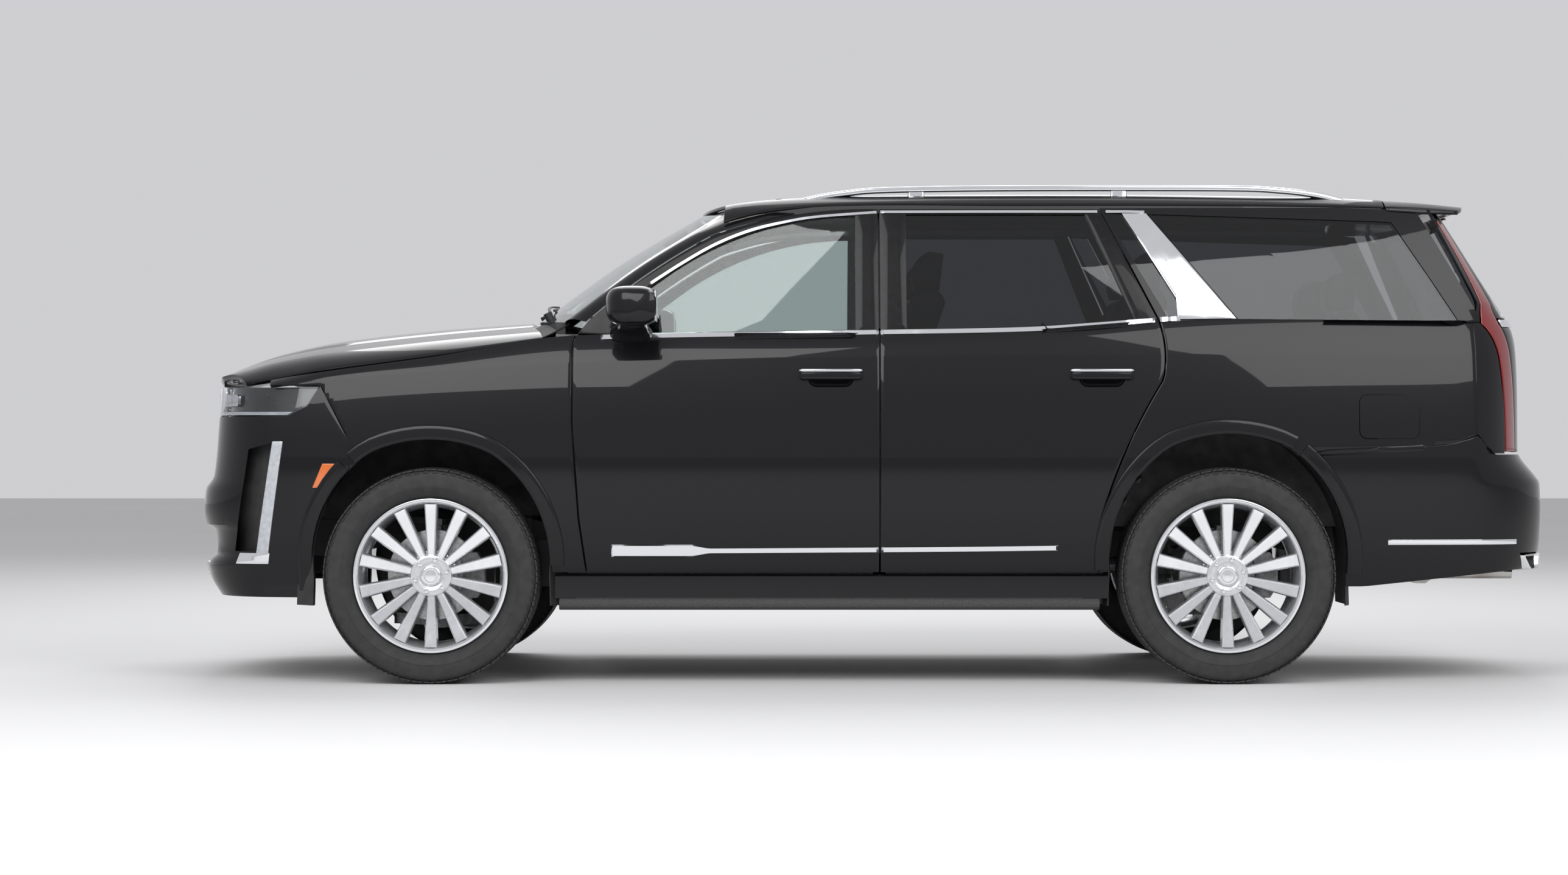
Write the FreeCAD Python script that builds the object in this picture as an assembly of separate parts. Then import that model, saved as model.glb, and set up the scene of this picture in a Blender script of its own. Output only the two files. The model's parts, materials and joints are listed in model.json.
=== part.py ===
"""A full-size sport utility vehicle: four side doors, a top-hinged tailgate, body on a ladder frame.

Row frame: +X runs to the rear of the car, +Y to its right-hand side and +Z up. The origin is on the
ground below the middle of the overall length. Sizes are in millimetres. Pieces that come in pairs
are made for the right-hand side (+Y) and mirrored to the left.
"""
import FreeCAD
import Part
import math
import os

V = FreeCAD.Vector

# Overall sizes
overall_length = 5382.0
overall_height = 1942.0
wheelbase = 3071.0
front_overhang = 990.0
track = 1740.0
half_width = 1030.0

# Wheels and brakes
tyre_radius = 417.0
tyre_width = 284.0
wheel_flats = 28
rim_radius = 297.0
rim_width = 240.0
rim_wall = 16.0
spoke_count = 14
spoke_outer_width = 46.0
spoke_inner_width = 30.0
spoke_depth = 32.0
hub_radius = 82.0
hub_cap_radius = 40.0
spindle_radius = 30.0
spindle_clearance = 0.1
disc_radius = 176.0
disc_thickness = 30.0
steer_pivot_inboard = 70.0

# Heights of the body's lines
sill_z = 428.0
waist_z = 660.0
widest_z = 920.0
roof_edge_z = 1856.0
floor_z = 600.0
front_arch_top_z = 941.0
rear_arch_top_z = 963.0
arch_half_length = 455.0

# Wall thicknesses and gaps
shut_gap = 6.0
skin = 16.0
door_thickness = 118.0
frame_thickness = 28.0
side_wall = 90.0
fender_wall = 40.0
bumper_wall = 60.0
gate_wall = 80.0
roof_thickness = 34.0
hood_thickness = 26.0
glass_thickness = 5.0
glass_gap = 0.3
rebate = 34.0

# Places along the car
nose_x = -overall_length / 2
tail_x = overall_length / 2
front_axle_x = nose_x + front_overhang
rear_axle_x = front_axle_x + wheelbase
door_front_x = front_axle_x + 546.0
door_split_x = front_axle_x + 1730.0
door_rear_x = rear_axle_x - 245.0
front_join_x = front_axle_x - 629.0
rear_join_x = tail_x - 361.0

# Body side sections: place along the car, then half-widths and heights of the widest line, the
# shoulder crease, the belt and the roof edge.
SIDE_COLUMNS = "x widest_y crease_y crease_z belt_y belt_z edge_y edge_z".split()
SIDE_TABLE = [
    (front_join_x - 111, 105, 140, 1142, 185, 1157, 290, 1856),
    (front_join_x + 199, 42, 72, 1168, 98, 1204, 275, 1856),
    (front_axle_x, 8, 38, 1205, 72, 1262, 265, 1856),
    (door_front_x, 1, 32, 1238, 85, 1345, 256, 1856),
    (door_split_x, 0, 32, 1262, 78, 1358, 255, 1856),
    (door_rear_x, 0, 32, 1270, 80, 1405, 255, 1856),
    (tail_x - 891, 10, 43, 1272, 90, 1406, 265, 1851.7),
    (tail_x - 441, 40, 75, 1273, 125, 1400, 290, 1834),
    (tail_x - 211, 90, 125, 1274, 175, 1392, 330, 1822),
]
sill_tuck = 44.0
glass_bulge = 10.0


class Via(tuple):
    """A point that an arc runs through on its way to the next corner."""


def in_xz(a, b):
    return V(a, 0, b)


def in_yz(a, b):
    return V(0, a, b)


def in_xy(a, b):
    return V(a, b, 0)


def corner_points(corners, place, chords=3):
    """The corners in space, with an arc drawn as a few chords where a Via stands between two corners."""
    here, bend = place(*corners[0]), None
    points = [here]
    for corner in list(corners[1:]) + [corners[0]]:
        there = place(*corner)
        if isinstance(corner, Via):
            bend = there
            continue
        if bend is not None:
            points += Part.Arc(here, bend, there).toShape().discretize(chords + 1)[1:]
        elif here.distanceToPoint(there) > 1e-6:
            points.append(there)
        here, bend = there, None
    return points[:-1]


def flat_face(points):
    return Part.Face(Part.makePolygon(points + points[:1]))


def lofted(sections):
    """A solid through sections with equally many corners, walled with flat faces only."""
    faces = [flat_face(sections[0]), flat_face(sections[-1])]
    for near, far in zip(sections, sections[1:]):
        for i in range(len(near)):
            j = (i + 1) % len(near)
            a, b, c, d = near[i], near[j], far[j], far[i]
            twist = (b - a).cross(d - a).dot(c - a)
            if abs(twist) < 1e-3:
                faces.append(flat_face([a, b, c, d]))
            elif a.distanceToPoint(c) <= b.distanceToPoint(d):
                faces += [flat_face([a, b, c]), flat_face([a, c, d])]
            else:
                faces += [flat_face([a, b, d]), flat_face([b, c, d])]
    solid = Part.makeSolid(Part.makeShell(faces))
    if solid.Volume < 0:
        solid.reverse()
    return solid


def outline(corners, place=in_xz, chords=3):
    """Corners in a plane, kept open to growing or shrinking before they are carried into a solid."""
    return list(corners), place, chords


def face_of(shape):
    return flat_face(corner_points(*shape))


def turned_tangent(before, middle, after):
    """Directions of the arc through three points, at each of them."""
    (ax, ay), (bx, by), (cx, cy) = before, middle, after
    d = 2 * (ax * (by - cy) + bx * (cy - ay) + cx * (ay - by))
    if abs(d) < 1e-6:
        straight = V(cx - ax, cy - ay, 0).normalize()
        return straight, straight, straight
    sq_a, sq_b, sq_c = ax**2 + ay**2, bx**2 + by**2, cx**2 + cy**2
    ux = (sq_a * (by - cy) + sq_b * (cy - ay) + sq_c * (ay - by)) / d
    uy = (sq_a * (cx - bx) + sq_b * (ax - cx) + sq_c * (bx - ax)) / d
    sense = 1 if (bx - ax) * (cy - by) - (by - ay) * (cx - bx) > 0 else -1
    return tuple(V(-(y - uy) * sense, (x - ux) * sense, 0).normalize() for x, y in (before, middle, after))


def grown(shape, by):
    """The outline moved out by a gap, or in where the value is negative."""
    corners, place, chords = shape
    count = len(corners)
    area = sum(corners[i - 1][0] * corners[i][1] - corners[i][0] * corners[i - 1][1] for i in range(count))
    side = 1 if area > 0 else -1
    moved = []
    for i, point in enumerate(corners):
        before, after = corners[i - 1], corners[(i + 1) % count]
        if isinstance(point, Via):
            heading = turned_tangent(before, point, after)[1]
            moved.append(Via((point[0] + side * by * heading.y, point[1] - side * by * heading.x)))
            continue
        if isinstance(before, Via):
            arriving = turned_tangent(corners[i - 2], before, point)[2]
        else:
            arriving = V(point[0] - before[0], point[1] - before[1], 0).normalize()
        if isinstance(after, Via):
            leaving = turned_tangent(point, after, corners[(i + 2) % count])[0]
        else:
            leaving = V(after[0] - point[0], after[1] - point[1], 0).normalize()
        first, second = V(arriving.y, -arriving.x, 0) * side, V(leaving.y, -leaving.x, 0) * side
        reach = (first + second) * (by / max(0.4, 1 + first.dot(second)))
        moved.append((point[0] + reach.x, point[1] + reach.y))
    return moved, place, chords


def across(shape, low, high):
    """A side-view outline carried across the car."""
    return face_of(shape).translated(V(0, low, 0)).extrude(V(0, high - low, 0))


def along(shape, low, high):
    """A front-view outline carried along the car."""
    return face_of(shape).translated(V(low, 0, 0)).extrude(V(high - low, 0, 0))


def upward(shape, low, high):
    """A plan outline carried upwards."""
    return face_of(shape).translated(V(0, 0, low)).extrude(V(0, 0, high - low))


def box(x0, x1, y0, y1, z0, z1):
    return Part.makeBox(x1 - x0, y1 - y0, z1 - z0, V(x0, y0, z0))


def rod(start, end, radius, sides=10):
    """A round bar between two points, drawn with flats."""
    line = V(*end) - V(*start)
    if not sides:
        return Part.makeCylinder(radius, line.Length, V(*start), line)
    across_line = line.cross(V(0, 0, 1) if abs(line.z) < 0.9 * line.Length else V(1, 0, 0)).normalize()
    turn = FreeCAD.Rotation(line, 360.0 / sides)
    points = [V(*start) + across_line * radius]
    for _ in range(sides - 1):
        across_line = turn.multVec(across_line)
        points.append(V(*start) + across_line * radius)
    return flat_face(points).extrude(line)


def fused(shapes):
    whole = shapes[0].multiFuse(list(shapes[1:])) if len(shapes) > 1 else shapes[0]
    return whole.removeSplitter()


def mirrored(shape):
    return shape.mirror(V(0, 0, 0), V(0, 1, 0))


def both(shape):
    """The right-hand piece with its left-hand twin."""
    return Part.makeCompound([shape, mirrored(shape)])


def side_values(x):
    """The body side's sizes at any place along the car, by straight lines between the sections."""
    rows = [dict(zip(SIDE_COLUMNS, row)) for row in SIDE_TABLE]
    if x <= rows[0]["x"]:
        found = dict(rows[0])
    elif x >= rows[-1]["x"]:
        found = dict(rows[-1])
    else:
        after = next(i for i, row in enumerate(rows) if row["x"] >= x)
        low, high = rows[after - 1], rows[after]
        share = (x - low["x"]) / (high["x"] - low["x"])
        found = {k: low[k] + share * (high[k] - low[k]) for k in SIDE_COLUMNS}
    for key in ("widest_y", "crease_y", "belt_y", "edge_y"):
        found[key] = half_width - found[key]
    found["x"] = x
    return found


def lower_chain(s, depth):
    """Sill to belt, pressed in from the outer surface by the depth."""
    return [
        (s["widest_y"] - sill_tuck - depth, sill_z),
        (s["widest_y"] - 0.22 * sill_tuck - depth, waist_z),
        (s["widest_y"] - depth, widest_z),
        (s["crease_y"] - depth, s["crease_z"]),
        (s["belt_y"] - depth, s["belt_z"]),
    ]


def upper_chain(s, depth):
    """Belt to roof edge."""
    middle_y = (s["belt_y"] + s["edge_y"]) / 2 + glass_bulge
    return [
        (s["belt_y"] - depth, s["belt_z"]),
        (middle_y - depth, (s["belt_z"] + s["edge_z"]) / 2),
        (s["edge_y"] - depth, s["edge_z"]),
    ]


def wall(chain, start_x, end_x, outer, inner):
    """A layer of the body side between two depths below its outer surface."""
    places = [start_x] + [r[0] for r in SIDE_TABLE if start_x + 1 < r[0] < end_x - 1] + [end_x]
    wires = []
    for x in places:
        s = side_values(x)
        corners = chain(s, outer) + list(reversed(chain(s, inner)))
        wires.append(corner_points(corners, lambda y, z, x=x: V(x, y, z)))
    return lofted(wires)


def side_y(x, z):
    """Half-width of the body's outer surface at a place and height, up to the belt."""
    chain = lower_chain(side_values(x), 0)
    if z <= chain[0][1]:
        return chain[0][0]
    for (y0, z0), (y1, z1) in zip(chain, chain[1:]):
        if z <= z1:
            return y0 + (y1 - y0) * (z - z0) / (z1 - z0)
    return chain[-1][0]


# Side-view outlines of the doors, windows and trims, drawn on the lines where the panels meet
def arch_outline(axle_x, top_z):
    rise = top_z - tyre_radius
    return outline(
        [
            (axle_x - arch_half_length - 8, 150),
            (axle_x - arch_half_length, tyre_radius),
            Via((axle_x - 0.89 * arch_half_length, tyre_radius + 0.533 * rise)),
            (axle_x - 0.505 * arch_half_length, tyre_radius + 0.903 * rise),
            Via((axle_x, top_z)),
            (axle_x + 0.505 * arch_half_length, tyre_radius + 0.903 * rise),
            Via((axle_x + 0.89 * arch_half_length, tyre_radius + 0.533 * rise)),
            (axle_x + arch_half_length, tyre_radius),
            (axle_x + arch_half_length + 8, 150),
        ],
        chords=4,
    )


front_arch = arch_outline(front_axle_x, front_arch_top_z)
rear_arch = arch_outline(rear_axle_x, rear_arch_top_z)

door_top_z = 1846.0
pillar_foot_x = door_front_x + 52
front_door_outline = outline(
    [
        (door_front_x + 55, sill_z),
        (door_front_x + 25, 640),
        (door_front_x, 1000),
        (door_front_x, 1300),
        Via((door_front_x + 14, 1352)),
        (pillar_foot_x, 1400),
        Via((door_front_x + 275, 1578)),
        (door_front_x + 545, 1744),
        Via((door_front_x + 840, 1821)),
        (door_split_x, door_top_z),
        (door_split_x, sill_z),
    ]
)
rear_door_outline = outline(
    [
        (door_split_x, sill_z),
        (door_split_x, door_top_z),
        (door_rear_x - 235, door_top_z),
        (door_rear_x - 18, 1402),
        Via((door_rear_x + 2, 1290)),
        (door_rear_x - 6, 1173),
        Via((door_rear_x - 150, 905)),
        (door_rear_x - 245, 640),
        (door_rear_x - 255, sill_z),
    ]
)
window_sill_z = 1352.0
window_top_z = 1822.0
front_window = outline(
    [
        (door_front_x + 175, window_sill_z),
        Via((door_front_x + 205, 1440)),
        (door_front_x + 312, 1540),
        Via((door_front_x + 620, 1722)),
        (door_split_x - 92, window_top_z - 6),
        (door_split_x - 92, window_sill_z),
    ]
)
rear_window = outline(
    [
        (door_split_x + 105, window_sill_z + 12),
        (door_split_x + 105, window_top_z),
        (door_rear_x - 290, window_top_z),
        (door_rear_x - 110, window_sill_z + 48),
        Via((door_rear_x - 260, window_sill_z + 26)),
        (door_rear_x - 480, window_sill_z + 17),
    ]
)
quarter_light = outline(
    [
        (door_rear_x - 215, 1826),
        (door_rear_x - 150, 1826),
        (door_rear_x + 68, 1450),
        Via((door_rear_x + 62, 1418)),
        (door_rear_x + 30, 1410),
        (door_rear_x - 4, 1408),
    ]
)
pillar_band = outline(
    [
        (door_rear_x - 146, 1826),
        (door_rear_x - 52, 1826),
        (door_rear_x + 280, 1410),
        (door_rear_x + 56, 1407),
        (door_rear_x + 71, 1421),
        (door_rear_x + 75, 1450),
    ]
)
cargo_window = outline(
    [
        (door_rear_x - 46, 1824),
        (tail_x - 661, 1790),
        (tail_x - 421, 1402),
        (door_rear_x + 288, 1408),
    ]
)
side_openings = outline(
    [
        (door_rear_x - 190, 1800),
        (tail_x - 696, 1770),
        (tail_x - 471, 1430),
        (door_rear_x + 30, 1430),
    ]
)

beyond = half_width + 60


def panel(layer, face, gap=shut_gap / 2):
    """The part of a body layer that lies within an outline, less its half of the shut gap."""
    return layer.common(across(grown(face, -gap), 300, beyond))


def opened(layer, *faces, gap=shut_gap / 2):
    for face in faces:
        layer = layer.cut(across(grown(face, gap), 300, beyond))
    return layer


# Doors: an outer skin, a narrower box behind it that carries the trim, and a window frame
def side_door(face, window, start_x, end_x, pull_x):
    skin_layer = wall(lower_chain, start_x, end_x, 0, skin)
    box_layer = wall(lower_chain, start_x, end_x, skin - 1, door_thickness)
    frame_layer = wall(upper_chain, start_x, end_x, 0, frame_thickness)
    inner_box = panel(box_layer, face, rebate).common(
        box(start_x, end_x, 300, beyond, sill_z + 20, window_sill_z - 8)
    )
    door = fused([panel(skin_layer, face), inner_box, panel(frame_layer, face)])
    door = door.cut(across(window, 300, beyond))
    pull_z = 1192.0
    pull_y = side_y(pull_x, pull_z)
    recess = across(
        outline([(pull_x - 66, pull_z - 26), (pull_x - 40, pull_z - 50), (pull_x + 40, pull_z - 50),
                 (pull_x + 66, pull_z - 26), (pull_x + 60, pull_z + 26), (pull_x - 60, pull_z + 26)]),
        pull_y - 26,
        beyond,
    )
    handle = fused(
        [
            box(pull_x - 122, pull_x + 122, pull_y + 4, pull_y + 22, pull_z, pull_z + 24),
            box(pull_x - 118, pull_x - 92, pull_y - 12, pull_y + 6, pull_z, pull_z + 24),
            box(pull_x + 92, pull_x + 118, pull_y - 12, pull_y + 6, pull_z, pull_z + 24),
        ]
    )
    return fused([door.cut(recess), handle])


def door_glass(window, start_x, end_x):
    layer = wall(upper_chain, start_x, end_x, 8, 8 + glass_thickness)
    return layer.common(across(grown(window, -glass_gap), 300, beyond))


def door_mirror():
    """Shell on a foot that stands on the front door's upper front corner."""
    foot_x, foot_z = door_front_x + 235, 1330.0
    inner_y = side_y(foot_x, foot_z) + 2
    shell_plan = [
        (foot_x - 95, inner_y + 90),
        Via((foot_x - 100, inner_y + 190)),
        (foot_x - 20, inner_y + 262),
        (foot_x + 88, inner_y + 268),
        (foot_x + 104, inner_y + 70),
        (foot_x + 10, inner_y + 52),
    ]
    shell_side = outline(
        [
            (foot_x - 98, foot_z + 70),
            (foot_x - 80, foot_z + 178),
            Via((foot_x + 10, foot_z + 202)),
            (foot_x + 104, foot_z + 196),
            (foot_x + 108, foot_z + 58),
            Via((foot_x, foot_z + 44)),
        ]
    )
    shell = upward(outline(shell_plan, in_xy), foot_z - 40, foot_z + 260)
    shell = shell.common(across(shell_side, inner_y, inner_y + 300))
    recess = box(foot_x + 97, foot_x + 130, inner_y + 86, inner_y + 254, foot_z + 70, foot_z + 184)
    foot = lofted(
        [
            corner_points(
                [(foot_x - 92, foot_z - 28), (foot_x + 70, foot_z - 28), (foot_x + 60, foot_z + 60),
                 (foot_x - 60, foot_z + 60)],
                lambda x, z: V(x, inner_y - 14, z),
            ),
            corner_points(
                [(foot_x - 60, foot_z + 40), (foot_x + 60, foot_z + 40), (foot_x + 60, foot_z + 90),
                 (foot_x - 60, foot_z + 90)],
                lambda x, z: V(x, inner_y + 110, z),
            ),
        ]
    )
    return fused([shell.cut(recess), foot])


# Body side: sill, hinge and door pillars behind the doors, quarter panel, and the pillars above
WINDSCREEN_COLUMNS = "centre_x centre_z side_x side_y side_z".split()
WINDSCREEN_TABLE = [
    (door_front_x - 190, 1418, door_front_x - 38, 838, 1398),
    (door_front_x + 145, 1660, door_front_x + 265, 772, 1626),
    (door_front_x + 465, 1850, door_front_x + 575, 693, 1824),
]


def windscreen_slab(thickness):
    """The raked screen: arcs across the car, joined from the cowl to the roof."""
    wires = []
    for row in WINDSCREEN_TABLE:
        s = dict(zip(WINDSCREEN_COLUMNS, row))
        side_right = V(s["side_x"], s["side_y"], s["side_z"])
        side_left = V(s["side_x"], -s["side_y"], s["side_z"])
        centre = V(s["centre_x"], 0, s["centre_z"])
        inward = V(s["side_x"] - s["centre_x"], 0, s["side_z"] - s["centre_z"]).normalize() * (1.6 * thickness)
        ends = [side_left, Via(centre), side_right, side_right + inward, Via(centre + inward), side_left + inward]
        wires.append(corner_points(ends, V, 6))
    return lofted(wires)


tail_lean_x = tail_x - 313
upper_side_outline = outline(
    [
        (door_front_x - 28, 1396),
        Via((door_front_x + 238, 1596)),
        (door_front_x + 520, 1757),
        (door_front_x + 590, 1788),
        (door_front_x + 760, 1832),
        (door_front_x + 1050, 1855),
        (tail_x - 866, 1851.1),
        (tail_x - 681, 1846.6),
        (tail_x - 669, 1834),
        (tail_x - 551, 1828),
        (tail_lean_x - 10, 1400),
        (tail_lean_x, 1330),
        (door_front_x - 28, 1330),
    ]
)


def body_side():
    start, end = door_front_x - 120, tail_x - 221
    outer = wall(upper_chain, start, end, 0, frame_thickness)
    outer = opened(outer.common(across(upper_side_outline, 300, beyond)), front_door_outline)
    outer = opened(outer, rear_door_outline)
    outer = opened(outer, quarter_light, gap=0.0)
    outer = opened(outer, pillar_band, cargo_window, gap=0.4)
    inner = wall(upper_chain, start, end, frame_thickness + 5, side_wall)
    inner = inner.common(across(upper_side_outline, 300, beyond))
    inner = inner.cut(across(grown(front_window, 14), 300, beyond))
    inner = inner.cut(across(grown(rear_window, 14), 300, beyond))
    inner = inner.cut(across(side_openings, 300, beyond))
    gate_way = outline([(tail_x - 363, 1330), (tail_x - 270, 1330), (tail_x - 270, 1440), (tail_x - 341, 1440)])
    inner = inner.cut(across(gate_way, 300, beyond))
    rear_tie = wall(upper_chain, start, end, frame_thickness - 1, frame_thickness + 6)
    rear_tie = rear_tie.common(across(upper_side_outline, 300, beyond))
    rear_tie = rear_tie.cut(box(start - 1, door_rear_x - 120, 300, beyond, 1200, 2000))
    rear_tie = opened(rear_tie, rear_door_outline)
    rear_tie = rear_tie.cut(across(grown(quarter_light, 1), 300, beyond))
    rear_tie = rear_tie.cut(across(grown(cargo_window, 1), 300, beyond))
    pillar_tie = wall(upper_chain, start, end, frame_thickness - 1, frame_thickness + 6)
    pillar_tie = pillar_tie.common(across(upper_side_outline, 300, beyond))
    pillar_tie = pillar_tie.cut(box(door_split_x, end + 1, 300, beyond, 1200, 2000))
    pillar_tie = opened(pillar_tie, front_door_outline)
    quarter = wall(lower_chain, door_rear_x - 300, rear_join_x, 0, side_wall)
    quarter = opened(quarter, rear_door_outline)
    quarter = quarter.cut(across(rear_arch, 300, beyond))
    quarter = quarter.cut(across(bumper_side_outline, 300, beyond))
    flare = arch_flare(rear_arch, rear_arch_top_z, rear_axle_x)
    flare = flare.cut(across(grown(rear_door_outline, shut_gap / 2), 300, beyond))
    flare = flare.cut(across(grown(bumper_side_outline, shut_gap / 2), 300, beyond))
    sill = across(
        outline(
            [
                (front_axle_x + arch_half_length + 24, sill_z - 98),
                (front_axle_x + arch_half_length + 24, sill_z - shut_gap),
                (rear_axle_x - arch_half_length - 6, sill_z - shut_gap),
                (rear_axle_x - arch_half_length - 6, sill_z - 98),
            ]
        ),
        half_width - 190,
        half_width - sill_tuck - 14,
    )
    pillar_y = half_width - door_thickness - shut_gap
    hinge_pillar = box(door_front_x - 70, door_front_x + 26, pillar_y - 62, pillar_y - 10, sill_z - 40, 1352)
    door_pillar = along(
        outline(
            [
                (pillar_y - 62, 650),
                (pillar_y - 62, sill_z - 40),
                (pillar_y, sill_z - 40),
                (pillar_y, 1366),
                (half_width - 78 - frame_thickness - 6, 1372),
                (half_width - 255 - frame_thickness - 6, roof_edge_z - 6),
                (half_width - 255 - side_wall, roof_edge_z - 6),
                (half_width - 78 - side_wall - 60, 1372),
            ],
            in_yz,
        ),
        door_split_x - 27,
        door_split_x + 27,
    )
    hinges = [box(x, x + rebate - glass_gap, pillar_y - 26, pillar_y + 30, z, z + 60)
              for x in (door_front_x, door_split_x) for z in (1010, 1215)]
    quarter_foot = box(door_rear_x - 262, rear_axle_x - arch_half_length - 6, pillar_y - 62,
                       half_width - sill_tuck - 20, sill_z - 40, sill_z + 60)
    corner = tail_ring(gate_levels, gate_wall).common(
        along(
            outline(
                [
                    (lamp_outer_y + 3, gate_bottom_z - 2),
                    (half_width, gate_bottom_z - 2),
                    (half_width, 1398),
                    (lamp_outer_y + 3, 1398),
                ],
                in_yz,
            ),
            rear_join_x,
            tail_x,
        )
    )
    corner = corner.cut(across(bumper_side_outline, 300, beyond))
    return fused(
        [outer, inner, rear_tie, pillar_tie, quarter, flare, sill, hinge_pillar, door_pillar,
         quarter_foot, corner] + hinges
    )


flare_width = 62.0
flare_stand = 9.0


def arch_flare(opening, top_z, axle_x):
    """The raised lip that runs round a wheel arch."""
    band = wall(lower_chain, axle_x - 560, axle_x + 560, -flare_stand, fender_wall / 2)
    band = band.common(across(grown(opening, flare_width), 300, beyond))
    return band.cut(across(opening, 300, beyond))


# Front end: the plan of the nose at several heights, each with how far its centre and its
# shoulders lie behind the foremost point
NOSE_LEVELS = [
    (331, 62, 130), (400, 16, 88), (470, 14, 84), (490, 46, 112), (590, 40, 104),
    (610, 0, 66), (745, 2, 68), (800, 44, 100), (1040, 72, 124), (1150, 82, 132),
]
TAIL_LEVELS = [(375, 70, 110), (450, 18, 62), (570, 0, 46), (770, 0, 46), (800, 22, 66), (884, 96, 136), (962, 102, 140)]
shoulder_y = 620.0
corner_y = 838.0
gate_bottom_z = 890.0
gate_half_width = 800.0
lamp_outer_y = 876.0
gate_levels = [(gate_bottom_z - 10, 104, 140), (1275, 110, 146), (1392, 134, 172)]
screen_levels = [(1392, 134, 172), (1640, 278, 320), (1866, 412, 458)]

bumper_side_outline = outline(
    [
        (rear_axle_x + 300, 250),
        (rear_axle_x + 300, 893),
        (tail_x - 617, 911),
        (tail_x - 449, 926),
        (tail_x - 353, 962),
        (tail_x + 50, 962),
        (tail_x + 50, 250),
    ]
)
fender_split = [(front_axle_x - 428, 1143), (front_axle_x - 312, 937)]


def ring(levels, end_x, inward, join_x, stop_x, thickness, chords=5):
    """A U-shaped end wall: side, corner and face at each height, joined upwards."""
    wires = []
    for z, centre, shoulder in levels:
        side_end = side_y(stop_x, min(z, 1380))
        side_join = side_y(join_x, min(z, 1380))
        corner_x = (join_x + 2 * (end_x + inward * shoulder)) / 3
        half = [
            (stop_x, side_end),
            (join_x, side_join),
            Via((corner_x, corner_y + (side_join - 950) * 0.6)),
            (end_x + inward * shoulder, shoulder_y),
        ]
        inner = [
            (stop_x, side_end - thickness),
            (join_x, side_join - thickness),
            (end_x + inward * (shoulder + thickness), shoulder_y - 40),
        ]
        left_half = [type(c)((c[0], -c[1])) for c in reversed(half)]
        left_inner = [(x, -y) for x, y in inner]
        corners = half + [Via((end_x + inward * centre, 0))] + left_half
        corners += left_inner + list(reversed(inner))
        wires.append(corner_points(corners, lambda x, y, z=z: V(x, y, z), chords))
    return lofted(wires)


def nose_ring():
    return ring(NOSE_LEVELS, nose_x, 1, front_join_x, front_axle_x - 300, bumper_wall)


def tail_ring(levels, thickness):
    return ring(levels, tail_x, -1, rear_join_x, rear_join_x - 40, thickness)


grille_top_z = 1140.0
grille_bottom_z = 782.0
grille_outline = outline(
    [
        (-632, grille_top_z),
        (632, grille_top_z),
        (488, grille_bottom_z + 28),
        (0, grille_bottom_z - 14),
        (-488, grille_bottom_z + 28),
    ],
    in_yz,
)
lamp_outline = outline(
    [
        (nose_x - 20, 1146),
        (front_axle_x - 428, 1149),
        (front_axle_x - 477, 1072),
        (front_axle_x - 552, 1034),
        (nose_x - 20, 1031),
    ]
)
blade_outline = outline(
    [
        (front_axle_x - 690, 462),
        (front_axle_x - 640, 462),
        (front_axle_x - 572, 938),
        (front_axle_x - 614, 938),
    ]
)
blade_pocket = outline(
    [
        (front_axle_x - 775, 505),
        (front_axle_x - 692, 505),
        (front_axle_x - 618, 936),
        (front_axle_x - 712, 905),
    ]
)


def lamp_region():
    region = across(lamp_outline, 500, half_width)
    return region.cut(along(grown(grille_outline, 30 + glass_gap), nose_x - 50, front_axle_x))


def front_bumper():
    shell = nose_ring()
    shell = shell.cut(along(grown(grille_outline, 30 + glass_gap), nose_x - 50, front_axle_x))
    shell = shell.cut(across(grown(lamp_outline, glass_gap), -beyond, beyond))
    shell = shell.cut(box(nose_x - 50, front_axle_x, -beyond, beyond, 1120, 1200))
    shell = shell.cut(across(grown(front_arch, 0), -beyond, beyond))
    behind_split = outline(
        [
            (fender_split[0][0] - 2, 1200),
            (fender_split[0][0] - 2, 1140),
            (fender_split[1][0] - 2, 937),
            (fender_split[1][0] - 2, 200),
            (front_axle_x + 200, 200),
            (front_axle_x + 200, 1200),
        ]
    )
    shell = shell.cut(across(behind_split, -beyond, beyond))
    intake = outline([(-560, 500), (560, 500), (520, 582), (-520, 582)], in_yz)
    shell = shell.cut(along(intake, nose_x - 50, nose_x + 200))
    right = across(blade_outline, 700, beyond)
    shell = shell.cut(right).cut(mirrored(right))
    pocket = across(blade_pocket, 790, beyond)
    pocket = pocket.cut(
        upward(
            outline(
                [
                    (nose_x + 160, 780),
                    (nose_x + 250, 850),
                    (front_join_x - 30, 900),
                    (front_join_x + 80, 900),
                    (front_join_x + 80, 700),
                    (nose_x + 160, 700),
                ],
                in_xy,
            ),
            450,
            950,
        )
    )
    shell = shell.cut(pocket).cut(mirrored(pocket))
    deflector = box(front_axle_x - 515, front_axle_x - 495, 700, 930, 236, 420)
    skid = across(
        outline([(nose_x + 95, 331), (front_axle_x - 470, 300), (front_axle_x - 470, 345),
                 (nose_x + 95, 345)]), -880, 880)
    skid_plan = outline([(nose_x + 170, -720), Via((nose_x + 64, 0)), (nose_x + 170, 720), (front_axle_x - 560, 900),
                         (front_axle_x - 460, 900), (front_axle_x - 460, -900), (front_axle_x - 560, -900)], in_xy)
    skid = skid.common(upward(skid_plan, 200, 500))
    return fused([shell, skid, deflector, mirrored(deflector)])


def front_lamps():
    """Slim headlamps that wrap the corners, and the upright light blades below them."""
    shell = ring(NOSE_LEVELS[-3:], nose_x, 1, front_join_x, front_axle_x - 300, 70)
    head = shell.common(lamp_region())
    blade = ring(NOSE_LEVELS, nose_x + 4, 1, front_join_x, front_axle_x - 300, 56)
    blade = blade.common(across(grown(blade_outline, -1.0), 700, beyond))
    return Part.makeCompound([head, mirrored(head), blade, mirrored(blade)])


grille_slats = 9
slat_height = 9.0
grille_ribs = 3


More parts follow.
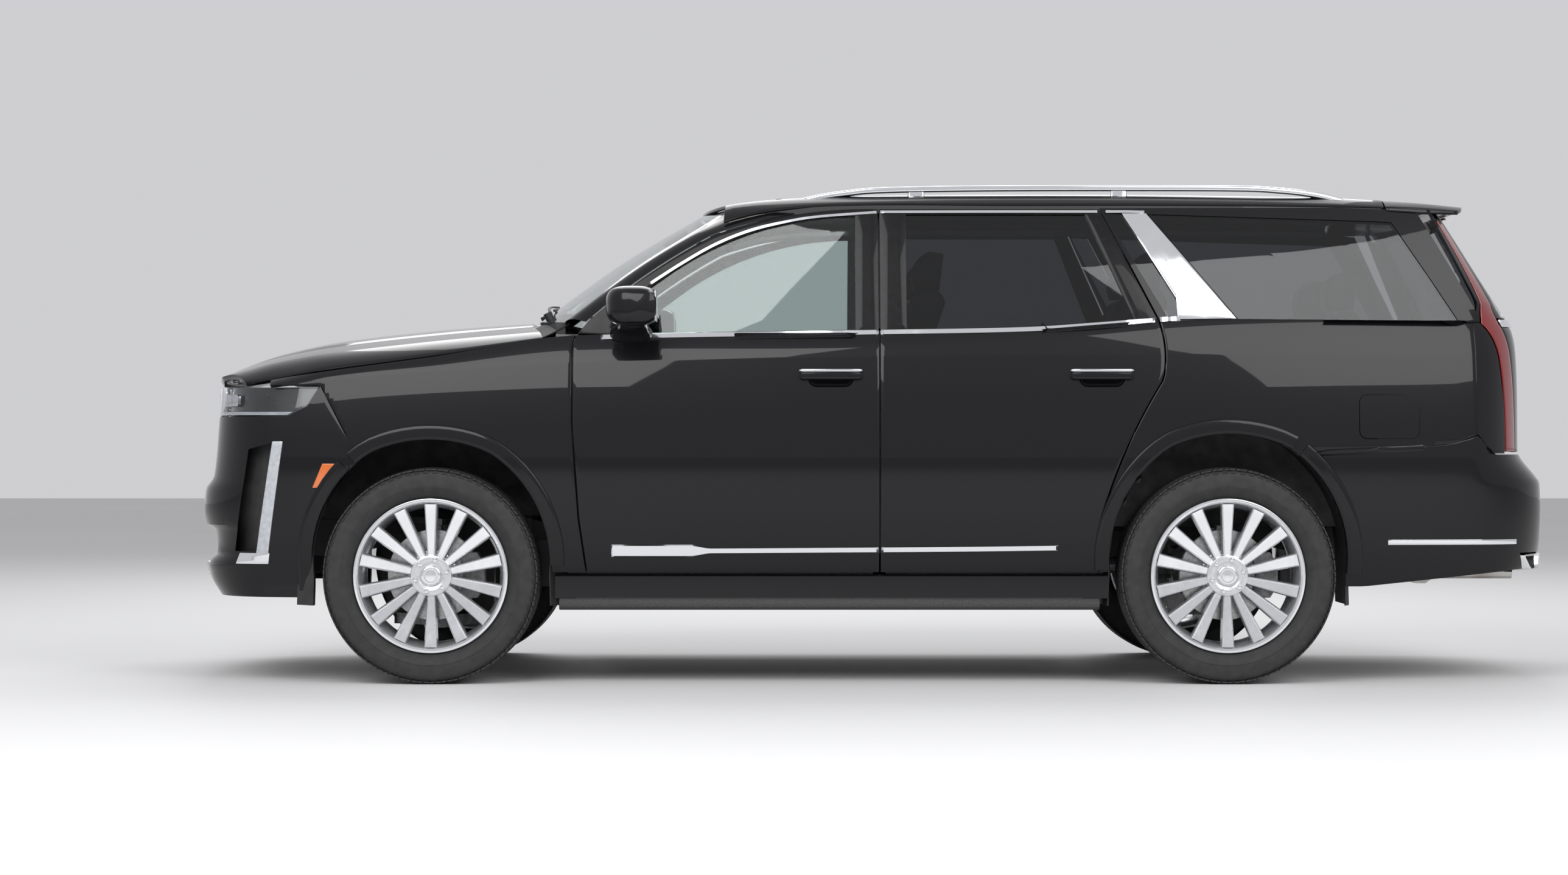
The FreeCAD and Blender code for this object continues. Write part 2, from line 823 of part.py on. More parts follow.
def grille_slab(front, back, chords=5):
    rows = [row for row in NOSE_LEVELS if row[0] >= 745]
    shifted = [(z, centre + front, shoulder + front) for z, centre, shoulder in rows]
    return ring(shifted, nose_x, 1, front_join_x, front_axle_x - 300, back - front, chords)


def grille():
    """Rows of slats tied by upright ribs, in front of a dark backing plate."""
    opening = along(grown(grille_outline, 0), nose_x - 20, nose_x + 330)
    slats = grille_slab(6, 30, 3)
    pitch = (grille_top_z - grille_bottom_z) / grille_slats
    rows = [
        box(nose_x - 10, nose_x + 300, -700, 700, grille_bottom_z + (i + 0.35) * pitch,
            grille_bottom_z + (i + 0.35) * pitch + slat_height)
        for i in range(grille_slats)
    ]
    step = 1240.0 / grille_ribs
    ribs = [
        box(nose_x - 10, nose_x + 300, -620 + (i + 0.5) * step - 3, -620 + (i + 0.5) * step + 3,
            grille_bottom_z - 30, grille_top_z)
        for i in range(grille_ribs)
    ]
    bars = slats.common(Part.makeCompound(rows[:1]).multiFuse(rows[1:] + ribs)).common(opening)
    backing = grille_slab(29, 44, 3).common(opening)
    return fused([bars, backing])


def grille_surround():
    """Bright frame: a deep bar across the top, thin legs and a shallow V below."""
    outer = along(grown(grille_outline, 30), nose_x - 20, nose_x + 330)
    inner = along(grown(grille_outline, 1), nose_x - 20, nose_x + 330)
    slab = grille_slab(-4, 36)
    frame = slab.common(outer).cut(inner)
    return frame.cut(box(nose_x - 50, front_axle_x, -beyond, beyond, grille_top_z + 8, 1300))


def fender():
    layer = wall(lower_chain, front_join_x, door_front_x + 60, 0, fender_wall)
    face = outline(
        [
            (front_join_x, 1152),
            (fender_split[0][0] + 2, 1152),
            (fender_split[1][0] + 2, 937),
            (fender_split[1][0] + 2, 300),
            (door_front_x + 80, 300),
            (door_front_x + 80, 1420),
            (front_join_x, 1420),
        ]
    )
    layer = layer.common(across(face, 300, beyond))
    layer = opened(layer, front_door_outline)
    layer = layer.cut(across(front_arch, 300, beyond))
    flare = arch_flare(front_arch, front_arch_top_z, front_axle_x)
    flare = flare.common(across(face, 300, beyond))
    flare = opened(flare, front_door_outline)
    rear_of_door = box(door_front_x + 60, door_front_x + 400, 300, beyond, 200, 2000)
    hinge = across(outline([(door_front_x - 175, 1300), (door_front_x - 135, 1300), (door_front_x - 135, 1330.6),
                            (door_front_x - 175, 1324.4)]), 924, 944)
    return fused([layer, flare, hinge]).cut(rear_of_door)


# Hood and roof: sections across the car, each with its edge and its crown
HOOD_COLUMNS = "x edge_y low_z shoulder_z crown_z depth".split()
HOOD_TABLE = [
    (nose_x + 50, 800, 1155, 1158, 1161, 3), (nose_x + 91, 802, 1155, 1166, 1174, 10),
    (nose_x + 131, 812, 1157, 1184, 1212, 22), (nose_x + 250, 842, 1163, 1214, 1268, 26),
    (nose_x + 360, 870, 1176, 1242, 1300, 26), (front_join_x + 199, 932, 1210, 1276, 1338, 26),
    (front_axle_x, 958, 1268, 1326, 1386, 26), (door_front_x - 95, 948, 1337, 1372, 1416, 26),
]
ROOF_TABLE = [
    (door_front_x + 430, 826, 1728, 1850), (door_front_x + 590, 802, 1796, 1880),
    (door_front_x + 760, 786, 1839, 1896), (door_front_x + 1050, 775, 1862, 1909),
    (door_split_x + 500, 775, 1862, 1917), (door_rear_x, 774, 1862, 1915),
    (tail_x - 891, 765, 1857, 1904), (tail_x - 681, 752, 1852, 1893),
]


def crowned(table, thickness, side_share=0.86):
    """A panel that arches across the car, from a row of sections (x, edge y, edge z, crown z)."""
    wires = []
    for x, edge_y, edge_z, crown_z in table:
        rise = crown_z - edge_z
        half = [
            (edge_y, edge_z),
            Via((0.955 * edge_y, edge_z + 0.55 * rise)),
            (side_share * edge_y, edge_z + 0.80 * rise),
        ]
        top = half + [Via((0, crown_z))] + [type(c)((-c[0], c[1])) for c in reversed(half)]
        under = [(-edge_y, edge_z - 5), Via((0, crown_z - thickness)), (edge_y, edge_z - 5)]
        wires.append(corner_points(top + under, lambda y, z, x=x: V(x, y, z), 4))
    return lofted(wires)


def hood():
    wires = []
    for row in HOOD_TABLE:
        s = dict(zip(HOOD_COLUMNS, row))
        bend_z = s["low_z"] + 0.62 * (s["shoulder_z"] - s["low_z"])
        edge, bend, shoulder = s["edge_y"], 0.958 * s["edge_y"], 0.86 * s["edge_y"]
        half = [(edge, s["low_z"]), Via((bend, bend_z)), (shoulder, s["shoulder_z"])]
        d = s["depth"]
        inner = [(edge - d, s["low_z"]), Via((bend - d, bend_z - 0.6 * d)), (shoulder - d, s["shoulder_z"] - d)]
        chain = half + [Via((0, s["crown_z"]))] + [type(c)((-c[0], c[1])) for c in reversed(half)]
        chain += [type(c)((-c[0], c[1])) for c in inner] + [Via((0, s["crown_z"] - d))] + list(reversed(inner))
        wires.append(corner_points(chain, lambda y, z, x=s["x"]: V(x, y, z), 4))
    shell = lofted(wires)
    plan = outline(
        [
            (front_join_x, -half_width),
            (nose_x + 66 + 62, -shoulder_y),
            Via((nose_x + 66, 0)),
            (nose_x + 66 + 62, shoulder_y),
            (front_join_x, half_width),
            (door_front_x - 100, half_width),
            Via((door_front_x - 212, 0)),
            (door_front_x - 100, -half_width),
        ],
        in_xy,
    )
    return shell.common(upward(plan, 1000, 1600))


def roof_panel():
    plan = outline(
        [
            (door_front_x + 560, -half_width),
            (door_front_x + 588, -690),
            Via((door_front_x + 478, 0)),
            (door_front_x + 588, 690),
            (door_front_x + 560, half_width),
            (tail_x - 681, half_width),
            (tail_x - 681, -half_width),
        ],
        in_xy,
    )
    hinges = [box(tail_x - 711, tail_x - 675 - glass_gap, y - 30, y + 30, 1861, 1880) for y in (-330, 330)]
    return fused([crowned(ROOF_TABLE, roof_thickness).common(upward(plan, 1600, 2100))] + hinges)


def roof_rail():
    """A bright rail that lands on the roof at both ends."""
    y, top = 700.0, overall_height
    side = outline(
        [
            (door_front_x + 850, 1880), (door_front_x + 960, 1916), (door_front_x + 1150, top - 9),
            (door_split_x + 500, top), (door_rear_x + 250, top), (tail_x - 1071, top - 9),
            (tail_x - 901, 1912), (tail_x - 781, 1866), (tail_x - 881, 1866),
            (tail_x - 981, 1896), (tail_x - 1131, top - 32), (door_rear_x + 240, top - 25),
            (door_split_x + 500, top - 25), (door_front_x + 1170, top - 33), (door_front_x + 1000, 1892),
            (door_front_x + 950, 1872), (door_front_x + 850, 1862),
        ]
    )
    rail = across(side, y - 17, y + 17)
    feet = [box(x - 45, x + 45, y - 15, y + 15, 1880, top - 20) for x in (door_split_x + 150, door_rear_x - 150)]
    return fused([rail] + feet)


def roof_antenna():
    x = door_front_x + 690
    fin = across(outline([(x, 1870), (x + 92, 1938), (x + 118, 1936), (x + 132, 1870)]), -14, 14)
    base = upward(outline([(x - 10, 0), Via((x + 70, -34)), (x + 150, 0), Via((x + 70, 34))], in_xy), 1870, 1898)
    return fused([fin, base])


# Rear end
def rear_bumper():
    side = wall(lower_chain, rear_axle_x + 300, rear_join_x, 0, bumper_wall)
    side = side.common(across(grown(bumper_side_outline, -1.0), 300, beyond))
    shell = ring(TAIL_LEVELS, tail_x, -1, rear_join_x, rear_join_x - 40, bumper_wall)
    shell = shell.cut(box(rear_axle_x, tail_x + 10, -lamp_outer_y - 3, lamp_outer_y + 3, 884, 1100))
    corners = across(grown(bumper_side_outline, -1.0), -beyond, beyond)
    shell = fused([shell.common(corners), side, mirrored(side)])
    shell = shell.cut(across(rear_arch, -beyond, beyond))
    under = outline(
        [(rear_axle_x + 200, 200), (rear_axle_x + 200, 432), (rear_axle_x + 402, 375), (tail_x - 60, 452),
         (tail_x + 60, 470), (tail_x + 60, 200)])
    shell = shell.cut(across(under, -beyond, beyond))
    pipe_hole = along(outline([(560, 498), (850, 498), (812, 428), (590, 428)], in_yz), tail_x - 345, tail_x + 10)
    pipe_hole = pipe_hole.fuse(box(tail_x - 345, tail_x - 160, 660, 750, 380, 460))
    return shell.cut(pipe_hole).cut(mirrored(pipe_hole))


gate_outline = outline(
    [
        (-gate_half_width, gate_bottom_z),
        (gate_half_width, gate_bottom_z),
        (gate_half_width + 14, 1392),
        (690, 1838),
        (600, 1856),
        (-600, 1856),
        (-690, 1838),
        (-gate_half_width - 14, 1392),
    ],
    in_yz,
)
plate_screw_spacing = 178.0
plate_screw_z = 1160.0
plate_screw_radius = 3.0
gate_window = outline([(-758, 1420), (758, 1420), (650, 1790), (-650, 1790)], in_yz)


def tail_upper(thickness):
    """The raked part of the tail above the belt, which leans forward towards the roof."""
    wires = []
    for z, centre, shoulder in screen_levels:
        share = (z - 1392) / (1866.0 - 1392)
        edge = 905 - 165 * share
        x_side = rear_join_x + 60 - 215 * share
        face_x = tail_x - shoulder
        half = [
            (x_side, edge),
            Via(((x_side + 2 * face_x) / 3, edge - 62)),
            (face_x, 600 - 60 * share),
        ]
        inner = [(x_side, edge - thickness), (face_x - thickness, 560 - 60 * share)]
        corners = half + [Via((tail_x - centre, 0))]
        corners += [type(c)((c[0], -c[1])) for c in reversed(half)]
        corners += [(x, -y) for x, y in inner] + list(reversed(inner))
        wires.append(corner_points(corners, lambda x, y, z=z: V(x, y, z), 4))
    return lofted(wires)


rake = 0.604
swing_degrees = 65.0


def swung_clear(gap):
    """The gate's outline, laid on the tail's flanks and carried the way the gate first moves."""
    way = V(math.cos(math.radians(swing_degrees)), 0, math.sin(math.radians(swing_degrees)))
    foot, belt, top = gate_half_width - 8 + gap, gate_half_width + 14 + gap, 690 + gap
    lower = [V(tail_x - 206, y, z) for y, z in ((-foot, 600), (foot, 600), (belt, 1392), (-belt, 1392))]
    upper = [V(tail_x - 206 - rake * (z - 1392), y, z)
             for y, z in ((-belt, 1392), (belt, 1392), (top, 1838 + gap), (-top, 1838 + gap))]
    sweeps = [flat_face(corners).translated(way * -300).extrude(way * 600) for corners in (lower, upper)]
    return sweeps[0].fuse(sweeps[1])


def tailgate():
    region = along(grown(gate_outline, -shut_gap / 2), tail_x - 821, tail_x)
    lower = tail_ring(gate_levels, gate_wall).common(region)
    head = box(tail_x - 821, tail_x, -676, 676, 1790, 1900)
    clear = swung_clear(-shut_gap / 2).fuse(head)
    lower = lower.common(clear)
    upper = tail_upper(gate_wall).common(region).common(clear).cut(along(gate_window, tail_x - 1021, tail_x))
    spoiler = crowned(
        [(tail_x - 675, 750, 1852, 1892), (tail_x - 521, 742, 1846, 1882),
         (tail_x - 321, 722, 1832, 1862)], 30)
    spoiler_tip = upward(
        outline(
            [
                (tail_x - 721, -800),
                (tail_x - 721, 800),
                (tail_x - 421, 800),
                (tail_x - 361, 700),
                Via((tail_x - 329, 0)),
                (tail_x - 361, -700),
                (tail_x - 421, -800),
            ],
            in_xy,
        ),
        1500,
        2000,
    )
    spoiler = spoiler.common(spoiler_tip)
    gate = fused([lower, upper, spoiler])
    plate_recess = along(outline([(-330, 1020), (330, 1020), (270, 1190), (-270, 1190)], in_yz),
                         tail_x - 132, tail_x)
    gate = gate.cut(plate_recess)
    for y in (-plate_screw_spacing / 2, plate_screw_spacing / 2):
        gate = gate.cut(rod((tail_x - 160, y, plate_screw_z), (tail_x - 120, y, plate_screw_z), plate_screw_radius, 0))
    return gate


def tailgate_glass():
    pane = tail_upper(gate_wall).common(along(grown(gate_window, -glass_gap), tail_x - 1021, tail_x))
    inner = pane.translated(V(-glass_thickness * 1.3, 0, 0))
    slab = pane.translated(V(-6, 0, 0)).cut(inner.translated(V(-6, 0, 0)))
    return slab.common(along(grown(gate_window, -glass_gap), tail_x - 1021, tail_x))


def tail_lamp():
    """Tall lamp beside the tailgate, from the bumper's shelf to the roof."""
    lower = tail_ring(gate_levels, 60).common(
        along(outline([(gate_half_width + 3, 890), (lamp_outer_y, 890), (lamp_outer_y, 1392),
                       (gate_half_width + 17, 1392)], in_yz), rear_join_x, tail_x))
    upper = tail_upper(45).common(
        along(outline([(gate_half_width + 17, 1392), (lamp_outer_y, 1392), (742, 1804), (709, 1804)], in_yz),
              tail_x - 821, tail_x))
    return fused([lower, upper]).cut(swung_clear(shut_gap / 2 + 1))


# Wheels, brakes and what carries them
wheel_z = tyre_radius
wheel_y = track / 2


def turned(profile, sides):
    """A ring or disc about the wheel's axle with flats, from corners (radius, place along +Y)."""
    angles = [2 * math.pi * i / sides for i in range(sides + 1)]
    faces = []
    for (r0, y0), (r1, y1) in zip(profile, profile[1:] + profile[:1]):
        for a, b in zip(angles, angles[1:]):
            corners = [(r0, y0, a), (r0, y0, b), (r1, y1, b), (r1, y1, a)]
            points = []
            for r, y, angle in corners:
                point = V(r * math.cos(angle), y, r * math.sin(angle))
                if not points or min(point.distanceToPoint(p) for p in points) > 1e-6:
                    points.append(point)
            if len(points) > 2:
                faces.append(flat_face(points))
    solid = Part.makeSolid(Part.makeShell(faces))
    if solid.Volume < 0:
        solid.reverse()
    return solid.removeSplitter()


def tyre():
    half = tyre_width / 2
    seat = rim_radius - rim_wall + glass_gap
    bead = rim_width / 2 - 15
    profile = [(seat, -bead), (rim_radius + 2, -bead), (rim_radius + 48, -half), (tyre_radius - 18, -half + 8),
               (tyre_radius, -half + 42)]
    return turned(profile + [(r, -y) for r, y in reversed(profile)], wheel_flats)


def wheel_rim():
    """Fourteen flat spokes between a bolted hub and the rim; the brake disc turns with it."""
    half = rim_width / 2
    seat = rim_radius - rim_wall
    barrel = turned(
        [
            (rim_radius, half - 1),
            (rim_radius, half - 12.5),
            (seat, half - 14),
            (seat, -half + 14),
            (rim_radius, -half + 12.5),
            (rim_radius, -half),
            (seat - 9, -half + 8),
            (seat - 9, half - 34),
        ],
        wheel_flats,
    )
    face_y = half - 6
    reach = seat - 5
    spoke_profile = [
        (hub_radius - 12, face_y - 26),
        (reach, face_y - 4),
        (reach, face_y - 4 - spoke_depth),
        (hub_radius - 12, face_y - 26 - spoke_depth),
    ]
    blade = flat_face(corner_points(spoke_profile, lambda x, y: V(x, y, 0)))
    blade = blade.translated(V(0, 0, -40)).extrude(V(0, 0, 80))
    plan = outline(
        [
            (hub_radius - 14, -spoke_inner_width / 2),
            (reach + 2, -spoke_outer_width / 2),
            (reach + 2, spoke_outer_width / 2),
            (hub_radius - 14, spoke_inner_width / 2),
        ]
    )
    blade = blade.common(across(plan, -200, 200))
    spokes = []
    for i in range(spoke_count):
        spoke = blade.copy()
        spoke.rotate(V(0, 0, 0), V(0, 1, 0), (i + 0.5) * 360.0 / spoke_count)
        spokes.append(spoke)
    hub_back = hub_face_y - wheel_y
    bore = spindle_radius + spindle_clearance
    hub = turned([(0, hub_back), (hub_radius, hub_back), (hub_radius - 6, face_y - 16), (hub_cap_radius, face_y - 16),
                  (hub_cap_radius - 6, face_y - 4), (0, face_y - 4)], wheel_flats // 2)
    hub = hub.cut(rod((0, hub_back - 5, 0), (0, face_y - 30, 0), bore, 0))
    rim = fused([barrel, hub] + spokes)
    disc_y = hub_back - glass_gap
    disc = turned([(0, disc_y), (84, disc_y), (92, disc_y - 20), (disc_radius, disc_y - 20),
                   (disc_radius, disc_y - 20 - disc_thickness), (86, disc_y - 20 - disc_thickness),
                   (76, disc_y - 12), (0, disc_y - 12)], wheel_flats // 2)
    disc = disc.cut(rod((0, disc_y - 80, 0), (0, disc_y + 5, 0), bore, 0))
    return Part.makeCompound([rim, disc])


hub_face_y = wheel_y + 34.0


def knuckle():
    """Upright with its spindle and the brake caliper, on the wheel's centre."""
    disc_front = hub_face_y - wheel_y - glass_gap - 20
    disc_back = disc_front - disc_thickness
    pivot = -steer_pivot_inboard
    hub = rod((0, disc_back - 34, 0), (0, disc_back - 3, 0), 62)
    spindle = rod((0, disc_back - 10, 0), (0, hub_face_y - wheel_y + 44, 0), spindle_radius, 0)
    post = across(outline([(-30, -165), (30, -165), (46, 0), (26, 190), (-26, 190), (-46, 0)]),
                  pivot - 22, disc_back - 6)
    steering_arm = box(-150, -20, pivot - 20, pivot + 12, -70, -42)
    caliper = across(
        outline([(104, -88), (172, -88), (202, -40), (202, 40), (172, 88), (104, 88), (118, 0)]),
        disc_back - 26, disc_front + 26)
    caliper = caliper.cut(rod((0, disc_back - 3, 0), (0, disc_front + 3, 0), disc_radius + 6, wheel_flats // 2))
    bracket = box(20, 128, disc_back - 30, disc_back - 6, -34, 34)
    return fused([hub, spindle, post, steering_arm, caliper, bracket])


# Ladder frame and running gear
rail_half = 38.0


def chassis_frame():
    side = outline(
        [
            (nose_x + 200, 500), (front_axle_x - 420, 470), (front_axle_x - 120, 545), (front_axle_x + 300, 520),
            (front_axle_x + 620, 395), (rear_axle_x - 680, 395), (rear_axle_x - 260, 520), (rear_axle_x + 260, 530),
            (rear_axle_x + 560, 455), (tail_x - 190, 455), (tail_x - 190, 590), (rear_axle_x + 560, 590),
            (rear_axle_x + 260, floor_z - 4), (rear_axle_x - 260, floor_z - 4), (rear_axle_x - 640, 545),
            (front_axle_x + 620, 545), (front_axle_x + 300, 640), (front_axle_x - 120, 660),
            (front_axle_x - 420, 620), (nose_x + 200, 640),
        ]
    )
    plan = outline(
        [
            (nose_x + 200, 400 - rail_half), (front_axle_x + 350, 400 - rail_half), (front_axle_x + 750, 570 - rail_half),
            (rear_axle_x - 620, 570 - rail_half), (rear_axle_x - 400, 520 - rail_half), (tail_x - 190, 520 - rail_half),
            (tail_x - 190, 520 + rail_half), (rear_axle_x - 400, 520 + rail_half), (rear_axle_x - 620, 570 + rail_half),
            (front_axle_x + 750, 570 + rail_half), (front_axle_x + 350, 400 + rail_half), (nose_x + 200, 400 + rail_half),
        ],
        in_xy,
    )
    rail = across(side, 300, 700).common(upward(plan, 300, 800))
    members = [(nose_x + 240, 420, 520, 620), (front_axle_x - 60, 420, 480, 560), (rear_axle_x + 330, 530, 500, 580),
               (tail_x - 240, 530, 470, 570)]
    bars = [box(x - 40, x + 40, -reach, reach, low, high) for x, reach, low, high in members]
    gearbox_bar = box(front_axle_x + 380, front_axle_x + 460, -470, 470, 355, 540)
    bars.append(gearbox_bar.cut(box(front_axle_x, door_front_x, -143, 143, 400 - glass_gap, 700)))
    for x in (door_split_x + 60, rear_axle_x - 560):
        bars.append(box(x - 40, x + 40, -560, 560, 350, 470).cut(box(x - 60, x + 60, -52, 52, 376, 700)))
    mounts = [box(x - 50, x + 50, 540, 850, 480, floor_z) for x in (door_split_x - 650, door_split_x + 640)]
    hanger = box(front_axle_x - 200, front_axle_x + 200, 400 - rail_half, 400 + rail_half, wheel_z - 212, 580)
    hanger = hanger.cut(box(front_axle_x - 120, front_axle_x + 120, 300, 500, wheel_z - 160, 530))
    bridge = box(front_axle_x - 130, front_axle_x + 130, -370, 370, wheel_z - 205, wheel_z - 165)
    sides = [rail, hanger] + mounts
    bars.append(box(nose_x + 128.3, nose_x + 205, -560, 560, 612, 735))
    bars.append(box(tail_x - 200, tail_x - 46 - bumper_wall - glass_gap, -560, 560, 575, 640))
    return fused(sides + [mirrored(m) for m in sides] + bars + [bridge])


liner_inner_y = 470.0
pillar_inner_y = half_width - door_thickness - shut_gap - 62


def floor_pan():
    edge = pillar_inner_y - glass_gap
    plan = outline([(door_front_x - 30, -edge), (rear_join_x + 10, -edge), (tail_x - 230, -700), (tail_x - 230, 700),
                    (rear_join_x + 10, edge), (door_front_x - 30, edge)], in_xy)
    floor = upward(plan, floor_z + glass_gap, floor_z + 28)
    firewall = box(door_front_x - 30, door_front_x - 6, -edge, edge, floor_z + 10, 1330)
    cowl = box(door_front_x - 130, door_front_x - 6, -780, 780, 1300, 1330)
    cowl_plan = outline([(door_front_x - 94, -836), Via((door_front_x - 205, 0)), (door_front_x - 94, 836),
                         (door_front_x - 24, 836), (door_front_x - 24, -836)], in_xy)
    parts = [floor, firewall, cowl, upward(cowl_plan, 1318, 1330)]
    cowl_lip = outline([(door_front_x - 72, -834), Via((door_front_x - 183, 0)), (door_front_x - 72, 834),
                        (door_front_x - 36, 834), Via((door_front_x - 168, 0)), (door_front_x - 36, -834)], in_xy)
    parts.append(upward(cowl_lip, 1320, 1398 - glass_gap))
    for arch, axle_x, inner_y, outer_y in ((front_arch, front_axle_x, liner_inner_y, 894), (rear_arch, rear_axle_x, 690.0, 905)):
        grow = 46.0 if axle_x == front_axle_x else 22.0
        hoop = across(grown(arch, grow + 7), inner_y, outer_y)
        hoop = hoop.cut(across(grown(arch, grow), inner_y + 7, half_width))
        hoop = hoop.cut(box(axle_x - 900, axle_x + 900, 0, half_width, 0, 670 if inner_y < 500 else floor_z))
        parts += [hoop, mirrored(hoop)]
    apron = box(front_axle_x - 640, door_front_x - 20, liner_inner_y - 20, liner_inner_y + 6, 640, 1150)
    parts += [apron, mirrored(apron)]
    pan = fused(parts)
    for arch, top in ((front_arch, 46.0), (rear_arch, 22.0)):
        space = across(grown(arch, top), 477 if arch is front_arch else 697, half_width + 100)
        pan = pan.cut(space).cut(mirrored(space))
    return pan


def control_arm(x, pivot_y, low, high, spread, tip):
    """A forked arm from the frame rail to the wheel's pivot."""
    rail_y = 400 + rail_half
    plan = outline(
        [
            (x - spread, rail_y), (x - spread + 62, rail_y), (x - 0.6 * tip, 590), (x + 0.6 * tip, 590),
            (x + spread - 62, rail_y), (x + spread, rail_y), (x + 1.6 * tip, 610), (x + tip, pivot_y + 20),
            (x - tip, pivot_y + 20), (x - 1.6 * tip, 610),
        ],
        in_xy,
    )
    return upward(plan, low, high)


def front_suspension():
    pivot_y = wheel_y - steer_pivot_inboard
    x, z = front_axle_x, wheel_z
    lower = control_arm(x, pivot_y, z - 208, z - 168, 190, 40)
    ball = rod((x, pivot_y, z - 190), (x, pivot_y, z - 165.5), 30)
    upper = control_arm(x, pivot_y, z + 191, z + 216, 130, 28)
    strut = rod((x + 8, 585, z - 170), (x + 8, 560, z + 200), 36)
    side = fused([lower, ball, upper, strut])
    rack = rod((x - 100, -340, z - 110), (x - 100, 340, z - 110), 26)
    rack_feet = [box(x - 120, x - 80, y - 25, y + 25, z - 165, z - 110) for y in (-250, 250)]
    return Part.makeCompound([side, mirrored(side), fused([rack] + rack_feet)])


def rear_suspension():
    x, z = rear_axle_x, wheel_z
    carrier_y = hub_face_y - wheel_y - glass_gap - 20 - disc_thickness + wheel_y
    carriers = knuckle().translated(V(x, wheel_y, z))
    arm = across(outline([(x - 60, z - 160), (x + 60, z - 160), (x + 60, z - 115), (x - 60, z - 115)]),
                 230, carrier_y - 60)
    top = across(outline([(x - 45, z + 118), (x + 45, z + 118), (x + 45, z + 142), (x - 45, z + 142)]),
                 520 + rail_half, carrier_y - 60)
    shaft = rod((x, 120, z), (x, carrier_y - 20, z), 24)
    coil = rod((x + 10, 632, z - 120), (x + 10, 628, z + 176), 62)
    side = fused([carriers, arm, top, shaft, coil])
    cradle = fused([box(x - 110, x + 110, -470, 470, z - 175, z - 95), box(x - 50, x + 50, 410, 520 - rail_half, z - 170, z + 160),
                    box(x - 50, x + 50, rail_half - 520, -410, z - 170, z + 160)])
    final_drive = fused([rod((x, -95, z), (x, 95, z), 128), rod((x - 260, 0, z + 6), (x, 0, z), 52)])
    final_drive = fused([final_drive, rod((x, -180, z), (x, 180, z), 60)])
    shaft_line = rod((door_front_x + 624.5, 0, z + 70), (x - 250, 0, z + 6), 40)
    return fused([side, mirrored(side), cradle, final_drive, shaft_line])


def engine():
    """The engine as one plain block, with the gearbox behind it."""
    block = box(front_axle_x - 420, front_axle_x + 260, -270, 270, 562, 1130)
    gearbox = box(front_axle_x + 250, door_front_x + 622, -140, 140, 400, 590)
    neck = box(front_axle_x + 240, front_axle_x + 330, -140, 140, 542, 640)
    return fused([block, neck, gearbox])


def exhaust():
    """Front pipe with its muffler, and a rear silencer that feeds two flat tips in the bumper."""
    front_z, rear_z, pipe_y = 310.0, 423.0, 705.0
    points = [(front_axle_x + 560, 250, front_z), (door_split_x, 250, front_z), (rear_axle_x - 700, 330, front_z),
              (rear_axle_x - 420, 400, front_z)]
    pipes = [rod(a, b, 32) for a, b in zip(points, points[1:])]
    muffler = across(outline([(door_split_x + 120, 255), (door_split_x + 520, 255), (door_split_x + 520, 360),
                              (door_split_x + 120, 360)]), 150, 420)
    hanger = box(door_split_x + 40, door_split_x + 90, 235, 265, front_z, 350 - glass_gap)
    front = fused(pipes + [muffler, hanger])
    shell = ring(TAIL_LEVELS, tail_x - 5, -1, rear_join_x, rear_join_x - 40, 110)
    tip = shell.common(along(outline([(574, 494), (840, 494), (800, 434), (598, 434)], in_yz), tail_x - 330, tail_x))
    tip = tip.cut(along(outline([(586, 486), (822, 486), (792, 442), (606, 442)], in_yz), tail_x - 330, tail_x))
    back_x = tail_x - 480
    pipe = [rod((back_x, 400, rear_z), (back_x, pipe_y + 22, rear_z), 28),
            rod((back_x, pipe_y, rear_z), (tail_x - 175, pipe_y, rear_z), 28),
            box(back_x - 25, back_x + 25, 500, 540, rear_z + 10, 455 - glass_gap)]
    side = fused([tip] + pipe)
    silencer = rod((back_x, -440, rear_z), (back_x, 440, rear_z), 60)
    return Part.makeCompound([front, fused([silencer, side, mirrored(side)])])


def fuel_tank():
    plan = outline([(door_split_x + 160, -500), (rear_axle_x - 620, -500), (rear_axle_x - 620, -150),
                    (door_split_x + 160, -150)], in_xy)
    return fused([upward(plan, 290, 400), upward(grown(plan, -60), 390, floor_z)])


def running_board():
    """Step along the sill, hung on three brackets."""
    start, end = front_axle_x + arch_half_length + 40, rear_axle_x - arch_half_length - 40
    board = across(outline([(start, 300), (start + 8, 329.7), (end - 8, 329.7), (end, 300), (end - 30, 285),
                            (start + 30, 285)]), half_width - 175, half_width - 38)
    return board


